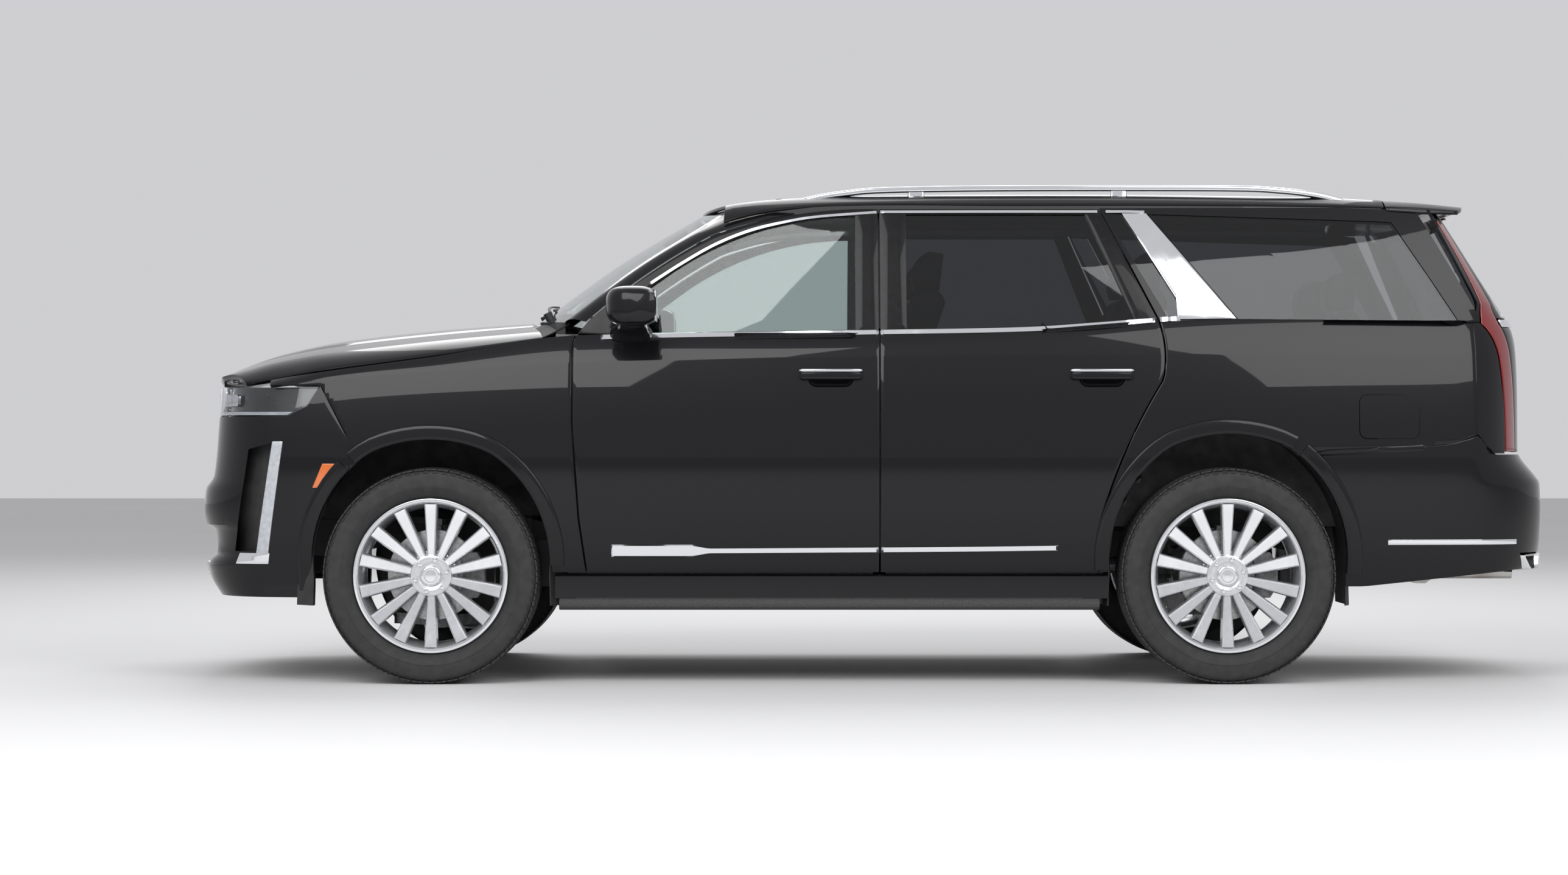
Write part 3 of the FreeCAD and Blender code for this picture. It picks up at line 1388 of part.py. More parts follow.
# Cabin
def seat(x, y, width, depth=520.0, back=640.0, head=True):
    """Cushion, raked back and head restraint of one seat, on the floor."""
    base_z = floor_z + 28 + glass_gap
    cushion = across(outline([(x, base_z + 150), Via((x - 12, base_z + 225)), (x + 40, base_z + 292),
                              (x + depth, base_z + 252), (x + depth, base_z + 150)], chords=2),
                     y - width / 2, y + width / 2)
    legs = box(x + 70, x + depth - 40, y - width / 2 + 60, y + width / 2 - 60, base_z, base_z + 152)
    rest = across(outline([(x + depth - 60, base_z + 240), (x + depth + 60, base_z + 200),
                           (x + depth + 60 + 0.34 * back, base_z + 220 + back),
                           Via((x + depth + 0.34 * back, base_z + 262 + back)),
                           (x + depth - 42 + 0.34 * back, base_z + 220 + back)], chords=2),
                  y - width / 2 + 12, y + width / 2 - 12)
    pieces = [cushion, legs, rest]
    if head:
        hx, hz = x + depth + 0.34 * back + 6, base_z + 240 + back
        count = max(1, round(width / 520.0))
        for i in range(count):
            hy = y + (i - (count - 1) / 2) * width / count
            pieces.append(across(outline([(hx - 42, hz + 36), Via((hx - 44, hz + 120)), (hx + 10, hz + 176),
                                          (hx + 58, hz + 168), (hx + 40, hz + 32)], chords=2),
                                 hy - 125, hy + 125))
            pieces.append(box(hx - 10, hx + 16, hy - 60, hy + 60, hz - 30, hz + 60))
    return fused(pieces)


def dashboard():
    x = door_front_x + 30
    face = outline([(x - 35.7, 980), (x + 260, 960), (x + 350, 1080), (x + 330, 1230), Via((x + 180, 1320)),
                    (x - 35.7, 1326)])
    dash = across(face, -770, 770)
    foot = floor_z + 28 + glass_gap
    console = across(outline([(x + 230, foot), (x + 1150, foot), (x + 1150, 900), (x + 500, 930), (x + 340, 1040),
                              (x + 230, 1000)]), -150, 150)
    return fused([dash, console])


def steering_wheel():
    """Rim, three spokes, a centre pad and the column that runs into the dashboard."""
    centre = V(door_front_x + 520, -430, 1150)

    def disc(radius):
        return [(radius, 0), Via((0, radius)), (-radius, 0), Via((0, -radius))]

    def cylinder(radius, low, high):
        return flat_face(corner_points(disc(radius), lambda x, y: V(x, y, low), 8)).extrude(V(0, 0, high - low))

    rim = cylinder(195, -13, 13).cut(cylinder(168, -20, 20))
    spokes = [box(-172, 172, -22, 22, -16, 2), box(-22, 22, -172, 0, -16, 2)]
    wheel = fused([rim, cylinder(64, -34, 6), cylinder(32, -196, -20)] + spokes)
    wheel.rotate(V(0, 0, 0), V(0, 0, 1), 90)
    wheel.rotate(V(0, 0, 0), V(0, 1, 0), 68)
    return wheel.translated(centre)


def quarter_glass():
    start, end = door_rear_x - 260, tail_x - 221
    layer = wall(upper_chain, start, end, 4, 4 + glass_thickness)
    panes = [layer.common(across(grown(face, -glass_gap), 300, beyond)) for face in (quarter_light, cargo_window)]
    return Part.makeCompound(panes + [mirrored(p) for p in panes])


def pillar_trims():
    layer = wall(upper_chain, door_rear_x - 260, tail_x - 221, -3, frame_thickness - 2.4)
    return both(layer.common(across(grown(pillar_band, -0.3), 300, beyond)))


def at_wheel(shape, axle_x, side):
    placed = shape.translated(V(axle_x, wheel_y, wheel_z))
    return mirrored(placed) if side == "left" else placed


def save(node, shape):
    solids = shape.Solids
    print(node, len(solids), shape.isValid())
    whole = solids[0] if len(solids) == 1 else Part.makeCompound(solids)
    whole.exportStep(os.path.join("parts", node + ".step"))


def main():
    os.makedirs("parts", exist_ok=True)
    save("chassis_frame", chassis_frame())
    save("floor_pan", floor_pan())
    save("engine_block", engine())
    save("exhaust", exhaust())
    save("fuel_tank", fuel_tank())
    save("front_suspension", front_suspension())
    save("rear_suspension", rear_suspension())
    save("running_boards", both(running_board()))
    save("body_sides", both(body_side()))
    save("fenders", both(fender()))
    roof = roof_panel()
    save("roof_panel", roof)
    save("roof_rails", both(roof_rail().cut(roof)))
    save("roof_antenna", roof_antenna().cut(roof))
    save("windscreen", windscreen_slab(glass_thickness + 1))
    save("quarter_glass", quarter_glass())
    save("pillar_trims", pillar_trims())
    save("front_bumper", front_bumper())
    save("grille", grille())
    save("grille_surround", grille_surround())
    save("front_lamps", front_lamps())
    save("rear_bumper", rear_bumper())
    save("tail_lamps", both(tail_lamp()))
    save("hood", hood())
    save("tailgate", tailgate())
    save("tailgate_glass", tailgate_glass())
    save("dashboard", fused([dashboard(), steering_wheel()]))
    front_seats = [seat(door_front_x + 640, y, 540) for y in (-430, 430)]
    save("front_seats", Part.makeCompound(front_seats))
    middle = [seat(door_split_x + 330, y, 540) for y in (-430, 430)]
    save("rear_seats", Part.makeCompound(middle + [seat(rear_axle_x - 150, 0, 1220, 470, 560)]))
    front = side_door(front_door_outline, front_window, door_front_x - 20, door_split_x + 20, door_split_x - 190)
    rear = side_door(rear_door_outline, rear_window, door_split_x - 20, door_rear_x + 40, door_rear_x - 245)
    front_pane = door_glass(front_window, door_front_x - 20, door_split_x + 20)
    rear_pane = door_glass(rear_window, door_split_x - 20, door_rear_x + 40)
    mirror_shell = door_mirror().cut(front)
    pieces = {"front_door": front, "rear_door": rear, "front_door_glass": front_pane,
              "rear_door_glass": rear_pane, "mirror": mirror_shell}
    for name, shape in pieces.items():
        save(name + "_right", shape)
        save(name + "_left", mirrored(shape))
    tyre_solid, rim_solid, upright = tyre(), wheel_rim(), knuckle()
    for end_name, axle_x in (("front", front_axle_x), ("rear", rear_axle_x)):
        for side in ("left", "right"):
            save(f"tyre_{end_name}_{side}", at_wheel(tyre_solid, axle_x, side))
            save(f"wheel_{end_name}_{side}", at_wheel(rim_solid, axle_x, side))
    for side in ("left", "right"):
        save(f"knuckle_{side}", at_wheel(upright, front_axle_x, side))


main()
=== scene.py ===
"""The looks of a black full-size family car with three rows of seats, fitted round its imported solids."""

import json
import math

import bmesh
import bpy
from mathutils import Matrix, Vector

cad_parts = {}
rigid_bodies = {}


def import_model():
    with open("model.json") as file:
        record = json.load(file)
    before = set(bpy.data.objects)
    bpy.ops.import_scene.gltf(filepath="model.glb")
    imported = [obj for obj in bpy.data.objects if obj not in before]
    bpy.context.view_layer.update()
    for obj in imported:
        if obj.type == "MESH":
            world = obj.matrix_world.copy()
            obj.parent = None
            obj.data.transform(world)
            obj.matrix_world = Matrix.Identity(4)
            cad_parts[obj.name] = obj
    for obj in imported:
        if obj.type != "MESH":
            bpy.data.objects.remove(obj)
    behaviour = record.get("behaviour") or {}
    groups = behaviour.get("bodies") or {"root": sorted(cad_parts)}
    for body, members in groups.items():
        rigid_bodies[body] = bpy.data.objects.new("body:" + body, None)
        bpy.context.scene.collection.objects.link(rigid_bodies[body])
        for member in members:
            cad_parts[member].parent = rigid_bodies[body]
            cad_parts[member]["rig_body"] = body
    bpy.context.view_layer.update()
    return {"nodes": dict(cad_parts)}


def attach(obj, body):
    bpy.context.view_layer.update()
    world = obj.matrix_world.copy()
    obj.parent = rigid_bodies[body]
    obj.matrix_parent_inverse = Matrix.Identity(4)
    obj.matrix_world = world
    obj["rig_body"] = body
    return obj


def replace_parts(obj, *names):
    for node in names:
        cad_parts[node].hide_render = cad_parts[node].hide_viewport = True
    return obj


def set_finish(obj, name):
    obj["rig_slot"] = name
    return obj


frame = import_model()
bpy.ops.object.select_all(action="DESELECT")

# Ladder frame, floor and running gear
# Pressed and welded steel in satin black, cast arms and uprights, and a heavy cast engine block.
# They keep their solids and get their finishes here, because only their undersides show.


def finish(name, colour, metallic=0.0, rough=0.5, coat=0.0, **more):
    """A new material with one Principled shader, its plain values set on the shader's own sockets."""
    material = bpy.data.materials.new(name)
    material.use_nodes = True
    shader = material.node_tree.nodes["Principled BSDF"]
    shader.inputs["Base Color"].default_value = (*colour, 1)
    shader.inputs["Metallic"].default_value = metallic
    shader.inputs["Roughness"].default_value = rough
    shader.inputs["Coat Weight"].default_value = coat
    for key, value in more.items():
        shader.inputs[key.replace("_", " ")].default_value = value
    return material


def added(material, kind, **values):
    """A node added to a material, with plain values set on its own sockets."""
    node = material.node_tree.nodes.new(f"ShaderNode{kind}")
    for key, value in values.items():
        node.inputs[key.replace("_", " ")].default_value = value
    return node


def wired(material, *links):
    """Links between sockets; a name stands for a socket of the material shader."""
    shader = material.node_tree.nodes["Principled BSDF"]
    for source, target in links:
        socket = shader.inputs[target] if isinstance(target, str) else target
        material.node_tree.links.new(source, socket)
    return material


def speckled(material, scale, low, high, stretch=(1, 1, 1)):
    """Uneven colour: noise in the object's own coordinates runs between two colours."""
    place = added(material, "TexCoord")
    turn = added(material, "Mapping", Scale=stretch)
    noise = added(material, "TexNoise", Scale=scale, Detail=4.0)
    ramp = added(material, "ValToRGB")
    for stop, share, colour in zip(ramp.color_ramp.elements, (0.35, 0.68), (low, high)):
        stop.position = share
        stop.color = (*colour, 1)
    return wired(material, (place.outputs["Object"], turn.inputs["Vector"]),
        (turn.outputs["Vector"], noise.inputs["Vector"]), (noise.outputs["Fac"], ramp.inputs["Fac"]),
        (ramp.outputs["Color"], "Base Color"))


def worn(material, scale, low, high):
    """Uneven gloss, from smears and light wear."""
    place = added(material, "TexCoord")
    noise = added(material, "TexNoise", Scale=scale, Detail=5.0)
    spread = added(material, "MapRange", From_Min=0.3, From_Max=0.7, To_Min=low, To_Max=high)
    return wired(material, (place.outputs["Object"], noise.inputs["Vector"]),
        (noise.outputs["Fac"], spread.inputs["Value"]), (spread.outputs["Result"], "Roughness"))


def grained(material, scale, strength, depth=0.0006, cells=False):
    """Fine relief: noise, or small cells as on leather and moulded plastic."""
    place = added(material, "TexCoord")
    if cells:
        noise = added(material, "TexVoronoi", Scale=scale)
    else:
        noise = added(material, "TexNoise", Scale=scale, Detail=3.0)
    bump = added(material, "Bump", Strength=strength, Distance=depth)
    return wired(material, (place.outputs["Object"], noise.inputs["Vector"]),
        (noise.outputs["Distance" if cells else "Fac"], bump.inputs["Height"]),
        (bump.outputs["Normal"], "Normal"))


frame_black = grained(worn(finish("satin frame coating", (0.02, 0.02, 0.021), rough=0.5), 9, 0.4, 0.62),
    120, 0.25)
undercoat = grained(speckled(finish("underbody coating", (0.04, 0.04, 0.042), rough=0.8), 14,
    (0.025, 0.025, 0.026), (0.055, 0.055, 0.058)), 300, 0.5, 0.001)
cast_metal = grained(speckled(finish("sand-cast metal", (0.2, 0.2, 0.21), 0.9, 0.55), 40,
    (0.14, 0.14, 0.145), (0.26, 0.26, 0.27)), 260, 0.35, 0.0008)
exhaust_steel = worn(speckled(finish("stainless exhaust", (0.5, 0.49, 0.47), 1.0, 0.3), 6,
    (0.36, 0.33, 0.30), (0.58, 0.57, 0.55)), 20, 0.22, 0.4)
tank_plastic = grained(speckled(finish("blow-moulded tank", (0.03, 0.03, 0.03), rough=0.6), 8,
    (0.022, 0.022, 0.022), (0.04, 0.04, 0.04)), 90, 0.3, 0.001)


def dress(node, material):
    """Gives a solid that stays in sight its finish."""
    shown = frame["nodes"][node]
    shown.data.materials.clear()
    shown.data.materials.append(material)


dress("chassis_frame", frame_black)
dress("floor_pan", undercoat)
dress("engine_block", cast_metal)
dress("front_suspension", cast_metal)
dress("rear_suspension", cast_metal)
dress("knuckle_left", cast_metal)
dress("knuckle_right", cast_metal)
dress("exhaust", exhaust_steel)
dress("fuel_tank", tank_plastic)

# Body side
# Pressed steel skins under gloss black paint: fenders, door skins and quarter panels share one
# surface, which leans in below the widest line and breaks at a crisp shoulder crease.
# Each skin is laid in rows on that surface, drawn to its shut lines, and given its thickness.
TURN = 2 * math.pi
FRONT_AXLE, REAR_AXLE, AXLE_Z = -1.701, 1.370, 0.417
DOOR_FRONT, DOOR_SPLIT, DOOR_REAR = FRONT_AXLE + 0.546, FRONT_AXLE + 1.730, REAR_AXLE - 0.245
NOSE, TAIL, HALF_WIDTH = -2.691, 2.691, 1.030
FRONT_JOIN, REAR_JOIN = FRONT_AXLE - 0.629, REAR_AXLE + 0.960
SILL_Z, WAIST_Z, WIDEST_Z = 0.428, 0.660, 0.920
SHUT = 0.003
# place, then how far the widest line, the crease, the belt and the roof edge lie inside the half
# width, with the heights of the last three
SIDE_ROWS = [
    (FRONT_JOIN - 0.111, 0.105, 0.140, 1.142, 0.185, 1.157, 0.290, 1.856),
    (FRONT_JOIN + 0.199, 0.042, 0.072, 1.168, 0.098, 1.204, 0.275, 1.856),
    (FRONT_AXLE, 0.008, 0.038, 1.205, 0.072, 1.262, 0.265, 1.856),
    (DOOR_FRONT, 0.001, 0.032, 1.238, 0.085, 1.345, 0.256, 1.856),
    (DOOR_SPLIT, 0.000, 0.032, 1.262, 0.078, 1.358, 0.255, 1.856),
    (DOOR_REAR, 0.000, 0.032, 1.270, 0.080, 1.405, 0.255, 1.856),
    (REAR_AXLE + 0.430, 0.010, 0.043, 1.272, 0.090, 1.406, 0.265, 1.850),
    (REAR_AXLE + 0.880, 0.040, 0.075, 1.273, 0.125, 1.400, 0.290, 1.834),
    (REAR_AXLE + 1.110, 0.090, 0.125, 1.274, 0.175, 1.392, 0.330, 1.822),
]


def blended(t, first, start, last, end):
    """A value on a smooth curve between two, with a slope at each."""
    return ((2 * t**3 - 3 * t**2 + 1) * first + (t**3 - 2 * t**2 + t) * start + (3 * t**2 - 2 * t**3)
        * last + (t**3 - t**2) * end)


def faired(rows, x):
    """Values at any place, on a smooth curve through the rows of a table."""
    if x <= rows[0][0]:
        return list(rows[0])
    if x >= rows[-1][0]:
        return list(rows[-1])
    after = next(i for i, row in enumerate(rows) if row[0] >= x)
    low, high = rows[after - 1], rows[after]
    before, beyond = rows[max(0, after - 2)], rows[min(len(rows) - 1, after + 1)]
    span = high[0] - low[0]
    t = (x - low[0]) / span
    found = [x]
    for k in range(1, len(low)):
        start = (high[k] - before[k]) / (high[0] - before[0]) * span
        end = (beyond[k] - low[k]) / (beyond[0] - low[0]) * span
        found.append(blended(t, low[k], start, high[k], end))
    return found


def lower_y(x, z):
    """Half-width of the skin below the belt."""
    _, widest, crease, crease_z, belt, belt_z, _, _ = faired(SIDE_ROWS, x)
    if z > crease_z:
        t = min(1.0, (z - crease_z) / (belt_z - crease_z))
        return HALF_WIDTH - crease - (belt - crease) * t + 0.016 * t * (1 - t)
    knots = [(SILL_Z, widest + 0.044), (WAIST_Z, widest + 0.010), (WIDEST_Z, widest), (crease_z, crease)]
    slopes = [0.23, 0.07, -0.02, -0.19]
    z = max(z, SILL_Z - 0.05)
    i = 0 if z < WAIST_Z else 1 if z < WIDEST_Z else 2
    (z0, y0), (z1, y1) = knots[i], knots[i + 1]
    t = (z - z0) / (z1 - z0)
    if t < 0:
        return HALF_WIDTH - y0 + slopes[i] * (z - z0)
    start, end = -slopes[i] * (z1 - z0), -slopes[i + 1] * (z1 - z0)
    return HALF_WIDTH - blended(t, y0, start, y1, end)


def upper_y(x, z):
    """Half-width of the glass and frames above the belt."""
    _, _, _, _, belt, belt_z, edge, edge_z = faired(SIDE_ROWS, x)
    t = max(0.0, (z - belt_z) / (edge_z - belt_z))
    return HALF_WIDTH - belt - (edge - belt) * t + 0.040 * t * (1 - t)


def arc(a, via, b):
    """Centre, radius, first angle and sweep of the arc from a through via to b; none on a straight run."""
    p, q = via - a, b - a
    d = 2 * (p.x * q.y - p.y * q.x)
    if abs(d) <= 1e-9:
        return None
    centre = a + Vector((q.y * p.length_squared - p.y * q.length_squared,
        p.x * q.length_squared - q.x * p.length_squared)) / d
    start = math.atan2(a.y - centre.y, a.x - centre.x)
    sweep = (math.atan2(b.y - centre.y, b.x - centre.x) - start) % TURN
    return centre, (a - centre).length, start, sweep - TURN if d < 0 else sweep


def traced(corners, step=0.02):
    """Points along straight runs and arcs; a corner with a third value is a point that its arc passes."""
    first = corners[0][:2]
    points, i = [first], 1
    closed = list(corners) + [corners[0]]
    while i < len(closed):
        here = Vector(points[-1])
        if len(closed[i]) == 3:
            via, there = Vector(closed[i][:2]), Vector(closed[i + 1][:2])
            i += 1
            bend = arc(here, via, there)
            if bend:
                centre, radius, start, sweep = bend
                count = max(2, math.ceil(abs(sweep) * radius / step))
                for k in range(1, count + 1):
                    angle = start + sweep * k / count
                    points.append((centre.x + radius * math.cos(angle),
                        centre.y + radius * math.sin(angle)))
            else:
                points.append(tuple(there))
        else:
            there = Vector(closed[i][:2])
            count = max(1, math.ceil((there - here).length / step))
            points += [tuple(here.lerp(there, k / count)) for k in range(1, count + 1)]
        i += 1
    return points[:-1]


def edge_at(points, z, side):
    """Where a traced outline crosses a height: its foremost (-1) or rearmost (1) crossing."""
    found = []
    for (x0, z0), (x1, z1) in zip(points, points[1:] + points[:1]):
        if (z0 - z) * (z1 - z) <= 0 and z0 != z1:
            found.append(x0 + (x1 - x0) * (z - z0) / (z1 - z0))
    if not found:
        z = min(max(z, min(p[1] for p in points) + 1e-5), max(p[1] for p in points) - 1e-5)
        return edge_at(points, z, side)
    return max(found) if side > 0 else min(found)


def picked(piece):
    """Makes a piece the active one and the only one chosen."""
    bpy.ops.object.select_all(action="DESELECT")
    bpy.context.view_layer.objects.active = piece
    piece.select_set(True)


def placed(name, mesh):
    """A new object in the scene for a mesh."""
    piece = bpy.data.objects.new(name, mesh)
    bpy.context.scene.collection.objects.link(piece)
    return piece


def laid(name, rows, material, thickness=0.0, towards=(0, 1, 0), edge=0.0, body=None, slot=None,
        crease=35):
    """A skin from rows of points, facing one way, with its thickness behind it and its edges eased."""
    mesh = bpy.data.meshes.new(name)
    width = len(rows[0])
    points = [p for row in rows for p in row]
    faces = [(j * width + i, j * width + i + 1, (j + 1) * width + i + 1, (j + 1) * width + i)
        for j in range(len(rows) - 1) for i in range(width - 1)]
    mesh.from_pydata(points, [], faces)
    piece = placed(name, mesh)
    shape = bmesh.new()
    shape.from_mesh(mesh)
    bmesh.ops.remove_doubles(shape, verts=shape.verts, dist=0.0002)
    bmesh.ops.dissolve_degenerate(shape, edges=shape.edges, dist=0.0001)
    bmesh.ops.recalc_face_normals(shape, faces=shape.faces)
    facing = sum((f.normal * f.calc_area() for f in shape.faces), Vector())
    if facing.dot(Vector(towards)) < 0:
        bmesh.ops.reverse_faces(shape, faces=shape.faces)
    shape.to_mesh(mesh)
    shape.free()
    return finished(piece, material, thickness, edge, body, slot, crease)


def finished(piece, material, thickness=0.0, edge=0.0, body=None, slot=None, crease=35):
    """Thickness, eased edges, smooth shading, material and body of a piece."""
    picked(piece)
    if thickness:
        wall = piece.modifiers.new("wall", "SOLIDIFY")
        wall.thickness = thickness
        wall.offset = -1
        bpy.ops.object.modifier_apply(modifier="wall")
    if edge:
        ease = piece.modifiers.new("ease", "BEVEL")
        ease.width = edge
        ease.segments = 2
        ease.limit_method = "ANGLE"
        ease.angle_limit = math.radians(50)
        ease.use_clamp_overlap = False
        bpy.ops.object.modifier_apply(modifier="ease")
    bpy.ops.object.shade_smooth_by_angle(angle=math.radians(crease))
    piece.data.materials.clear()
    piece.data.materials.append(material)
    if body:
        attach(piece, body)
    if slot:
        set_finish(piece, slot)
    piece.select_set(False)
    return piece


def twin(piece):
    """The left-hand piece: its mesh mirrored across the car, with its faces turned the right way again."""
    name = piece.name.replace("right", "left")
    mesh = piece.data.copy()
    mesh.name = name
    shape = bmesh.new()
    shape.from_mesh(mesh)
    for v in shape.verts:
        v.co.y = -v.co.y
    bmesh.ops.reverse_faces(shape, faces=shape.faces)
    shape.to_mesh(mesh)
    shape.free()
    other = placed(name, mesh)
    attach(other, piece["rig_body"].replace("right", "left"))
    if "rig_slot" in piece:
        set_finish(other, piece["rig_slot"])
    return other


paint = grained(finish("gloss black paint", (0.005, 0.005, 0.0062), 0.0, 0.3, 0.8, Coat_Roughness=0.02,
    Coat_IOR=1.36, Specular_IOR_Level=0.08), 420, 0.02, 0.0002)
chrome = worn(finish("polished bright trim", (0.82, 0.83, 0.85), 1.0, 0.07), 16, 0.045, 0.1)

FRONT_ARCH_TOP, REAR_ARCH_TOP, ARCH_HALF = 0.941, 0.963, 0.455


def arch_line(axle, top, grow=0.0):
    """The wheel opening seen from the side, from its front foot over the top to its rear foot."""
    rise, half = top - AXLE_Z + grow, ARCH_HALF + grow
    corners = [
        (axle - half - 0.008, 0.150), (axle - half, AXLE_Z), (axle - 0.89 * half, AXLE_Z + 0.533 * rise, 1),
        (axle - 0.505 * half, AXLE_Z + 0.903 * rise), (axle, top + grow, 1),
        (axle + 0.505 * half, AXLE_Z + 0.903 * rise), (axle + 0.89 * half, AXLE_Z + 0.533 * rise, 1),
        (axle + half, AXLE_Z), (axle + half + 0.008, 0.150),
    ]
    return traced(corners, 0.012)


front_arch, rear_arch = arch_line(FRONT_AXLE, FRONT_ARCH_TOP), arch_line(REAR_AXLE, REAR_ARCH_TOP)


def arch_height(points, x, low):
    """Height of a wheel opening over a place along the car, or the panel's own low edge beside it."""
    found = [low]
    for (x0, z0), (x1, z1) in zip(points, points[1:]):
        if (x0 - x) * (x1 - x) <= 0 and x0 != x1:
            found.append(z0 + (z1 - z0) * (x - x0) / (x1 - x0))
    return max(found)


FRONT_DOOR = traced([
    (DOOR_FRONT + 0.055, SILL_Z), (DOOR_FRONT + 0.025, 0.640), (DOOR_FRONT, 1.000), (DOOR_FRONT, 1.300),
    (DOOR_FRONT + 0.014, 1.352, 1), (DOOR_FRONT + 0.052, 1.400), (DOOR_FRONT + 0.275, 1.578, 1),
    (DOOR_FRONT + 0.545, 1.744), (DOOR_FRONT + 0.840, 1.821, 1), (DOOR_SPLIT, 1.846), (DOOR_SPLIT, SILL_Z)])
REAR_DOOR = traced([
    (DOOR_SPLIT, SILL_Z), (DOOR_SPLIT, 1.846), (DOOR_REAR - 0.235, 1.846), (DOOR_REAR - 0.018, 1.402),
    (DOOR_REAR + 0.002, 1.290, 1), (DOOR_REAR - 0.006, 1.173), (DOOR_REAR - 0.150, 0.905, 1),
    (DOOR_REAR - 0.245, 0.640), (DOOR_REAR - 0.255, SILL_Z)])


def side_skin(name, first, last, left, right, bottom, top, body, drawn=(True, True), thickness=0.016,
        step=0.016):
    """A skin on the body side between its own lines: left and right take a height, bottom and top a place.
    On a drawn side the columns nearby lean with the edge line; elsewhere they stop at it."""
    columns = [first + (last - first) * i / max(1, round((last - first) / step))
        for i in range(round((last - first) / step) + 1)]
    rows = []
    count = 46
    for j in range(count + 9):
        row = []
        for x in columns:
            crease_z, belt_z = faired(SIDE_ROWS, x)[3], faired(SIDE_ROWS, x)[5]
            if j <= count - 12:
                z = SILL_Z + (crease_z - 0.005 - SILL_Z) * j / (count - 12)
            elif j <= count - 9:
                z = crease_z + 0.0025 * (j - count + 10)
            else:
                z = crease_z + 0.005 + (belt_z - crease_z - 0.005) * (j - count + 9) / 17
            low, high = bottom(x), top(x)
            z = low if z < low + 0.003 else high if z > high - 0.003 else z
            limit_low, limit_high = left(z), right(z)
            px = x
            if drawn[0]:
                px += (limit_low - first) * min(1.0, max(0.0, (first + 0.52 - x) / 0.52))
            if drawn[1]:
                px += (limit_high - last) * min(1.0, max(0.0, (x - last + 0.52) / 0.52))
            px = limit_low if px < limit_low + 0.003 else limit_high if px > limit_high - 0.003 else px
            z = min(max(z, bottom(px)), top(px))
            row.append((px, lower_y(px, z), z))
        rows.append(row)
    return laid(name, rows, paint, thickness, edge=0.0022, body=body, slot="paint")


def split_x(z):
    """The line between the front bumper's corner and the fender."""
    if z >= 1.152:
        return FRONT_JOIN
    if z <= 0.937:
        return FRONT_AXLE - 0.310
    return FRONT_AXLE - 0.426 + 0.116 * (1.152 - z) / 0.215


def fender_low(x):
    if x < FRONT_AXLE - 0.426:
        return 1.152
    if x < FRONT_AXLE - 0.310:
        return 1.152 - 0.215 * (x - FRONT_AXLE + 0.426) / 0.116
    return arch_height(front_arch, x, SILL_Z + SHUT)


def belt_height(x):
    return faired(SIDE_ROWS, x)[5]


def quarter_low(x):
    low = arch_height(rear_arch, x, SILL_Z + SHUT)
    line = [(0.200, 0.893), (0.300, 0.893), (0.704, 0.911), (0.872, 0.926), (0.968, 0.962)]
    for (x0, z0), (x1, z1) in zip(line, line[1:]):
        if x0 <= x - REAR_AXLE <= x1:
            low = max(low, z0 + (z1 - z0) * (x - REAR_AXLE - x0) / (x1 - x0))
    return low


fender_right = side_skin("fender_skin_right", FRONT_JOIN, DOOR_FRONT + 0.055, split_x,
    lambda z: edge_at(FRONT_DOOR, max(z, SILL_Z + 0.001), -1) - SHUT, fender_low, belt_height, "body",
    (False, True))
twin(fender_right)
quarter_right = side_skin(
    "quarter_skin_right", DOOR_REAR - 0.256, REAR_JOIN,
    lambda z: edge_at(REAR_DOOR, max(z, SILL_Z + 0.001), 1) + SHUT, lambda z: REAR_JOIN, quarter_low,
    belt_height, "body")
quarter_left = twin(quarter_right)
door_front_right = side_skin(
    "front_door_skin_right", DOOR_FRONT, DOOR_SPLIT, lambda z: edge_at(FRONT_DOOR, z, -1) + SHUT,
    lambda z: DOOR_SPLIT - SHUT, lambda x: SILL_Z + SHUT, belt_height, "front_door_right")
door_front_left = twin(door_front_right)
door_rear_right = side_skin(
    "rear_door_skin_right", DOOR_SPLIT, DOOR_REAR, lambda z: DOOR_SPLIT + SHUT,
    lambda z: edge_at(REAR_DOOR, z, 1) - SHUT, lambda x: SILL_Z + SHUT, belt_height, "rear_door_right")
door_rear_left = twin(door_rear_right)

# Wheel arch lips
# A raised lip is pressed round each wheel opening and hemmed inwards over the liner.
# Each is a band that follows the opening, stepped up from the skin and turned in at its edge.


def pulled(points, by):
    """An outline drawn in by a distance, towards the inside."""
    area = sum(points[i - 1][0] * p[1] - p[0] * points[i - 1][1] for i, p in enumerate(points))
    sense = 1 if area > 0 else -1
    moved = []
    for i, p in enumerate(points):
        a, b = Vector(points[i - 1]), Vector(points[(i + 1) % len(points)])
        first, second = (Vector(p) - a).normalized(), (b - Vector(p)).normalized()
        n1, n2 = Vector((-first.y, first.x)) * sense, Vector((-second.y, second.x)) * sense
        reach = (n1 + n2) * (by / max(0.35, 1 + n1.dot(n2)))
        moved.append((p[0] + reach.x, p[1] + reach.y))
    return moved


LIP_WIDTH, LIP_STAND = 0.060, 0.0085


